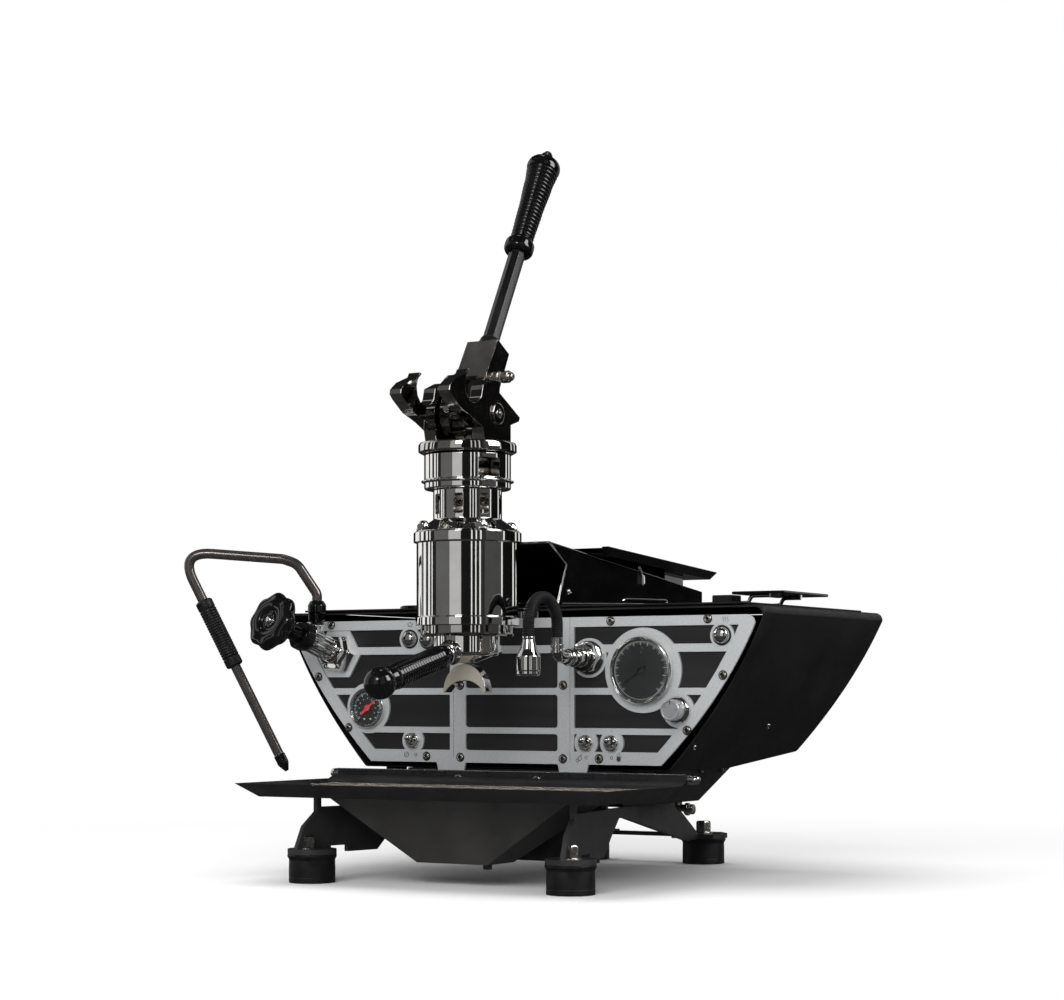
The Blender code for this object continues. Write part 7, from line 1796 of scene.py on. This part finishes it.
small_radius, small_bezel, _ = SMALL_SIZES
small_inner, small_floor = small_radius - GAUGE_RIM, small_bezel - FACE_DEPTH
on_small = {"at": (SMALL_GAUGE[0], 0, SMALL_GAUGE[1]), "turn": FACING_FRONT}
face_top = small_floor + SMALL_FACE_HALF
show("boiler_gauge_case", [gauge_case(*SMALL_SIZES)], chrome, **on_small)
show("boiler_gauge_face", [
    disc(small_inner - SMALL_FACE_HALF / 2, small_floor - SMALL_FACE_HALF, face_top, steps=96),
], face_black, **on_small)
show("boiler_gauge_print", ticks(small_inner, face_top, SMALL_TICKS), teal_print, **on_small)
show("boiler_gauge_dots", [
    disc(DOT_RADIUS, face_top, face_top + TICK_LIFT, steps=20,
         at=(small_inner * side * DOT_SHARES[0], small_inner * DOT_SHARES[1], 0))
    for side in (-1, 1)
], white_print, **on_small)
show("boiler_pointer_shown", hand(small_inner, SMALL_HAND_SHARES, small_floor + SEAT), red_paint, "boiler_needle",
     at=on_small["at"], turn=(math.pi / 2, math.radians(50.0), 0), node="boiler_gauge_pointer")
glass_top = small_bezel - GLASS_DEPTH
show("boiler_gauge_glass", [
    disc(small_inner - GLASS_EDGE, glass_top - GLASS_THICKNESS, glass_top, GLASS_EDGE, steps=96),
], glass, **on_small)


# Selector. A turned knob with a satin face on a bright conical skirt, with a marker line cut in
# its edge.
SELECTOR_RADIUS = 0.0100
SELECTOR_LENGTH = 0.0190
SELECTOR_SHARES = ((0, 0.952), (0.80, 0.952), (0.84, 1), (0.92, 1), (1, 0.921), (1, 0), (0, 0))
SELECTOR_SKIRT = (0.0135, 0.0050)
SKIRT_RISE = 0.0012
SKIRT_GAP = 0.0014
SELECTOR_EDGE = 0.0004
STEM_RADIUS = 0.0045
STEM_LENGTH = 0.0100
MARKER_HALF = 0.0005
MARKER_EDGE = 0.0002

on_selector = {"body": "selector", "at": (SELECTOR[0], 0, SELECTOR[1]), "turn": FACING_FRONT}
stem = [(STEM_RADIUS, -STEM_LENGTH), (0, -STEM_LENGTH)]
skirt_radius, skirt_height = SELECTOR_SKIRT
show("selector_skirt", [lathe([
    (0, skirt_height + SKIRT_RISE), (SELECTOR_RADIUS * 1.06, skirt_height + SKIRT_RISE),
    (skirt_radius * 0.90, skirt_height), (skirt_radius, skirt_height / 2), (skirt_radius, SEAT),
    (STEM_RADIUS, SEAT), *stem,
], SELECTOR_EDGE, steps=120)], chrome, **on_selector)
selector_grey = finish("selector_aluminium", ((0.46, 0.47, 0.49), (0.54, 0.55, 0.57)),
                       (0.26, 0.36), metallic=0.7, grain=0.0006, relief=0.000006, cloud=0.005)
body_low = skirt_height + SKIRT_GAP
selector_body = lathe(sized(SELECTOR_SHARES, SELECTOR_RADIUS, SELECTOR_LENGTH - body_low, body_low), SELECTOR_EDGE,
                      steps=120)
marker = block((-MARKER_HALF, SELECTOR_RADIUS * 0.55, skirt_height),
               (MARKER_HALF, skirt_radius, SELECTOR_LENGTH + 2 * MARKER_HALF))
show("selector_knob", [worked(selector_body, [marker], edge=MARKER_EDGE, angle=50.0)], selector_grey, **on_selector)


# Toggles. Three short chromed bats with ball ends, each on a ball in a small threaded collar.
TOGGLE_BALL = 0.0043
TOGGLE_BAT = 0.0022
TOGGLE_TIP = 0.0038
TOGGLE_LENGTH = 0.0150
TOGGLE_TURN = (math.pi / 2 - math.radians(14.0), 0, 0)
TOGGLE_COLLAR = (0.0082, 0.0034)
TOGGLE_COLLAR_SHARES = ((0.64, 1), (0.86, 1), (1, 0.7), (1, 0), (0.64, 0))
TOGGLE_EDGE = 0.0005

for name, (toggle_x, toggle_z) in TOGGLES.items():
    bat = turned([*half_arc(TOGGLE_LENGTH - TOGGLE_TIP, TOGGLE_TIP, 90, -50, 14), (TOGGLE_BAT, TOGGLE_BALL * 1.05),
                  *half_arc(0, TOGGLE_BALL, 55, -90, 14)], steps=48)
    show(f"toggle_{name}", [bat], chrome, f"switch_{name}", at=(toggle_x, TRIM_THICKNESS / 2, toggle_z),
         turn=TOGGLE_TURN)
    collar = lathe(sized(TOGGLE_COLLAR_SHARES, *TOGGLE_COLLAR), TOGGLE_EDGE, across=TOGGLE_COLLAR[0] * 1.86)
    show(f"toggle_{name}_collar", [collar], chrome, at=(toggle_x, 0, toggle_z), turn=FACING_FRONT)


# Push buttons. Three domed chromed buttons, each in a turned ring with a narrow groove round it.
BUTTON_RADIUS = 0.0075
BUTTON_LIFT = 0.0040
BUTTON_DOME = 0.0035
BUTTON_STEPS = 16
BUTTON_RING = (0.0098, 0.0012)
BUTTON_RING_SHARES = ((0.811, 0.6), (0.888, 1), (0.96, 1), (1, 0.5), (1, 0), (0.811, 0))
BUTTON_RING_EDGE = 0.0003

dome = [(0, BUTTON_LIFT + BUTTON_DOME)]
for step in range(1, BUTTON_STEPS + 1):
    angle = math.pi / 2 * step / BUTTON_STEPS
    dome.append((BUTTON_RADIUS * math.sin(angle), BUTTON_LIFT + BUTTON_DOME * math.cos(angle)))
dome += [(BUTTON_RADIUS, BUTTON_LIFT - BUTTON_DOME * 0.2), (STEM_RADIUS, BUTTON_LIFT - BUTTON_DOME * 0.2), *stem]
for name, (button_x, button_z) in BUTTONS.items():
    on_button = {"at": (button_x, 0, button_z), "turn": FACING_FRONT}
    show(f"button_{name}", [turned(dome)], chrome, f"push_{name}", **on_button)
    show(f"button_{name}_ring", [lathe(sized(BUTTON_RING_SHARES, *BUTTON_RING), BUTTON_RING_EDGE)], dark_steel_and_recess_shade,
         slot="mirror_chrome", **on_button)


# Drip tray. A shallow box folded from satin dark sheet, hung from the rail, with a lip at its rear
# and a slotted cover with bright wire rims. A funnel under it leads to a drain stub.
TRAY_EDGES = {"drip_tray": 0.0009, "hopper": 0.0006, "tray_grid": 0.0004}
TRAY_LIP = ((-0.0275, 0.0962), (-0.0162, 0.1002))
TRAY_LIP_SHEET = 0.0012
TRAY_LIP_HALF = 0.2030
GRID_HALF = 0.1966
GRID_FRONT = -0.1732
GRID_REAR = -0.0327
GRID_TOP = 0.0935
GRID_COLUMNS = 13
GRID_ROWS = 3
GRID_SLOT_SHARE = 0.62
GRID_RIM = 0.0006
GRID_WAVE = 0.0050

tray_dark = finish("satin_dark_tray_shown", ((0.024, 0.023, 0.023), (0.040, 0.038, 0.038)),
                   (0.34, 0.48), metallic=0.55, grain=0.0006, relief=0.00003, cloud=0.03)
# The hopper is the tray's satin dark sheet in lighter shades: painted light, for the light falling on its front.
hopper_painted_light = finish("satin_dark_hopper_painted_light", ((0.046, 0.044, 0.043), (0.066, 0.063, 0.061)),
                     (0.36, 0.48), metallic=0.45, grain=0.0006, relief=0.00003, cloud=0.04)
show("drip_tray", [from_solid("drip_tray", TRAY_EDGES["drip_tray"], steps=3)], tray_dark, "tray")
show("tray_grid", [from_solid("tray_grid", TRAY_EDGES["tray_grid"])], tray_dark, "grid")
show("hopper", [from_solid("hopper", TRAY_EDGES["hopper"])], hopper_painted_light, "tray")
upper_side = [(y, z + TRAY_LIP_SHEET) for y, z in reversed(TRAY_LIP)]
show("tray_rear_lip", [plate([*TRAY_LIP, *upper_side], 2 * TRAY_LIP_HALF, turn=FACING_SIDE)], tray_dark, "tray")
pitch_x = 2 * GRID_HALF / (GRID_COLUMNS + 1)
pitch_y = (GRID_REAR - GRID_FRONT) / (GRID_ROWS + 0.5)
rim_half_x, rim_half_y = (pitch * GRID_SLOT_SHARE / 2 + 2 * GRID_RIM for pitch in (pitch_x, pitch_y))
rim_z = GRID_TOP + GRID_RIM / 2
grid_rims = []
for row in range(GRID_ROWS):
    rim_y = GRID_FRONT + pitch_y * (row + 0.75)
    for column in range(GRID_COLUMNS - row % 2):
        rim_x = pitch_x * (column + 1 + 0.5 * (row % 2)) - GRID_HALF
        grid_rims.append(pipe([
            (rim_x + side_x * rim_half_x, rim_y + side_y * rim_half_y, rim_z)
            for side_x, side_y in ((-1, -1), (1, -1), (1, 1), (-1, 1), (-1, -1))
        ], GRID_RIM, 3))
    if row < GRID_ROWS - 1:
        grid_rims.append(pipe([
            (pitch_x * step / 2 - GRID_HALF * 0.96, rim_y + pitch_y / 2 + GRID_WAVE * (-1) ** step, rim_z)
            for step in range(2 * GRID_COLUMNS + 1)
        ], GRID_RIM, 3))
show("tray_grid_rims", grid_rims, polished_steel, "grid")


# Tray rail. A square black bar on the trim's two tabs, with half-round chromed caps on its ends
# and two chromed hooks that hold the tray.
RAIL_HALF = 0.2010
RAIL_DEPTH = 0.0130
RAIL_LOW = 0.0975
RAIL_HEIGHT = 0.0100
RAIL_EDGE = 0.0009
RAIL_BEAD = 0.0007
RAIL_CAP = (0.0049, 0.0118)
RAIL_CAP_SHARES = ((0, 1), (0.62, 0.97), (0.92, 0.80), (1, 0.55), (1, 0), (0, 0))
HOOK_RADIUS = 0.0012
HOOK_LOOP = 0.0031
HOOK_PLACES = (-0.0530, 0.0380)

# The rail's dark anodised black is lifted to a bluish grey, a painted reflection of the room in its face.
rail_black_painted_reflection = finish("anodised_rail_painted_reflection", ((0.016, 0.017, 0.020), (0.028, 0.030, 0.034)), (0.22, 0.32),
                    metallic=0.5, grain=0.0006, relief=0.00001, cloud=0.03)
rail_front = -SEAT - RAIL_DEPTH
rail_top = RAIL_LOW + RAIL_HEIGHT
show("tray_rail", [block((-RAIL_HALF, rail_front, RAIL_LOW), (RAIL_HALF, -SEAT, rail_top), RAIL_EDGE)], rail_black_painted_reflection)
rail_caps = []
for side in (-1, 1):
    rail_caps.append(lathe(sized(RAIL_CAP_SHARES, *RAIL_CAP), RAIL_EDGE, steps=48, turn=(0, side * math.pi / 2, 0),
                           at=(side * RAIL_HALF, rail_front + RAIL_DEPTH / 2, rail_top - RAIL_HEIGHT / 2)))
rail_caps.append(pipe([(side * RAIL_HALF, rail_front + RAIL_BEAD / 3, rail_top - RAIL_BEAD / 3)
                       for side in (-1, 1)], RAIL_BEAD, 4))
show("rail_end_caps", rail_caps, chrome)
show("tray_hooks", [
    pipe([(hook_x + x, rail_front - HOOK_RADIUS, RAIL_LOW + RAIL_HEIGHT * 0.2 + z)
          for x, z in round_arc(ORIGIN, HOOK_LOOP, -60, 240, 20)], HOOK_RADIUS, 6)
    for hook_x in HOOK_PLACES
], chrome)
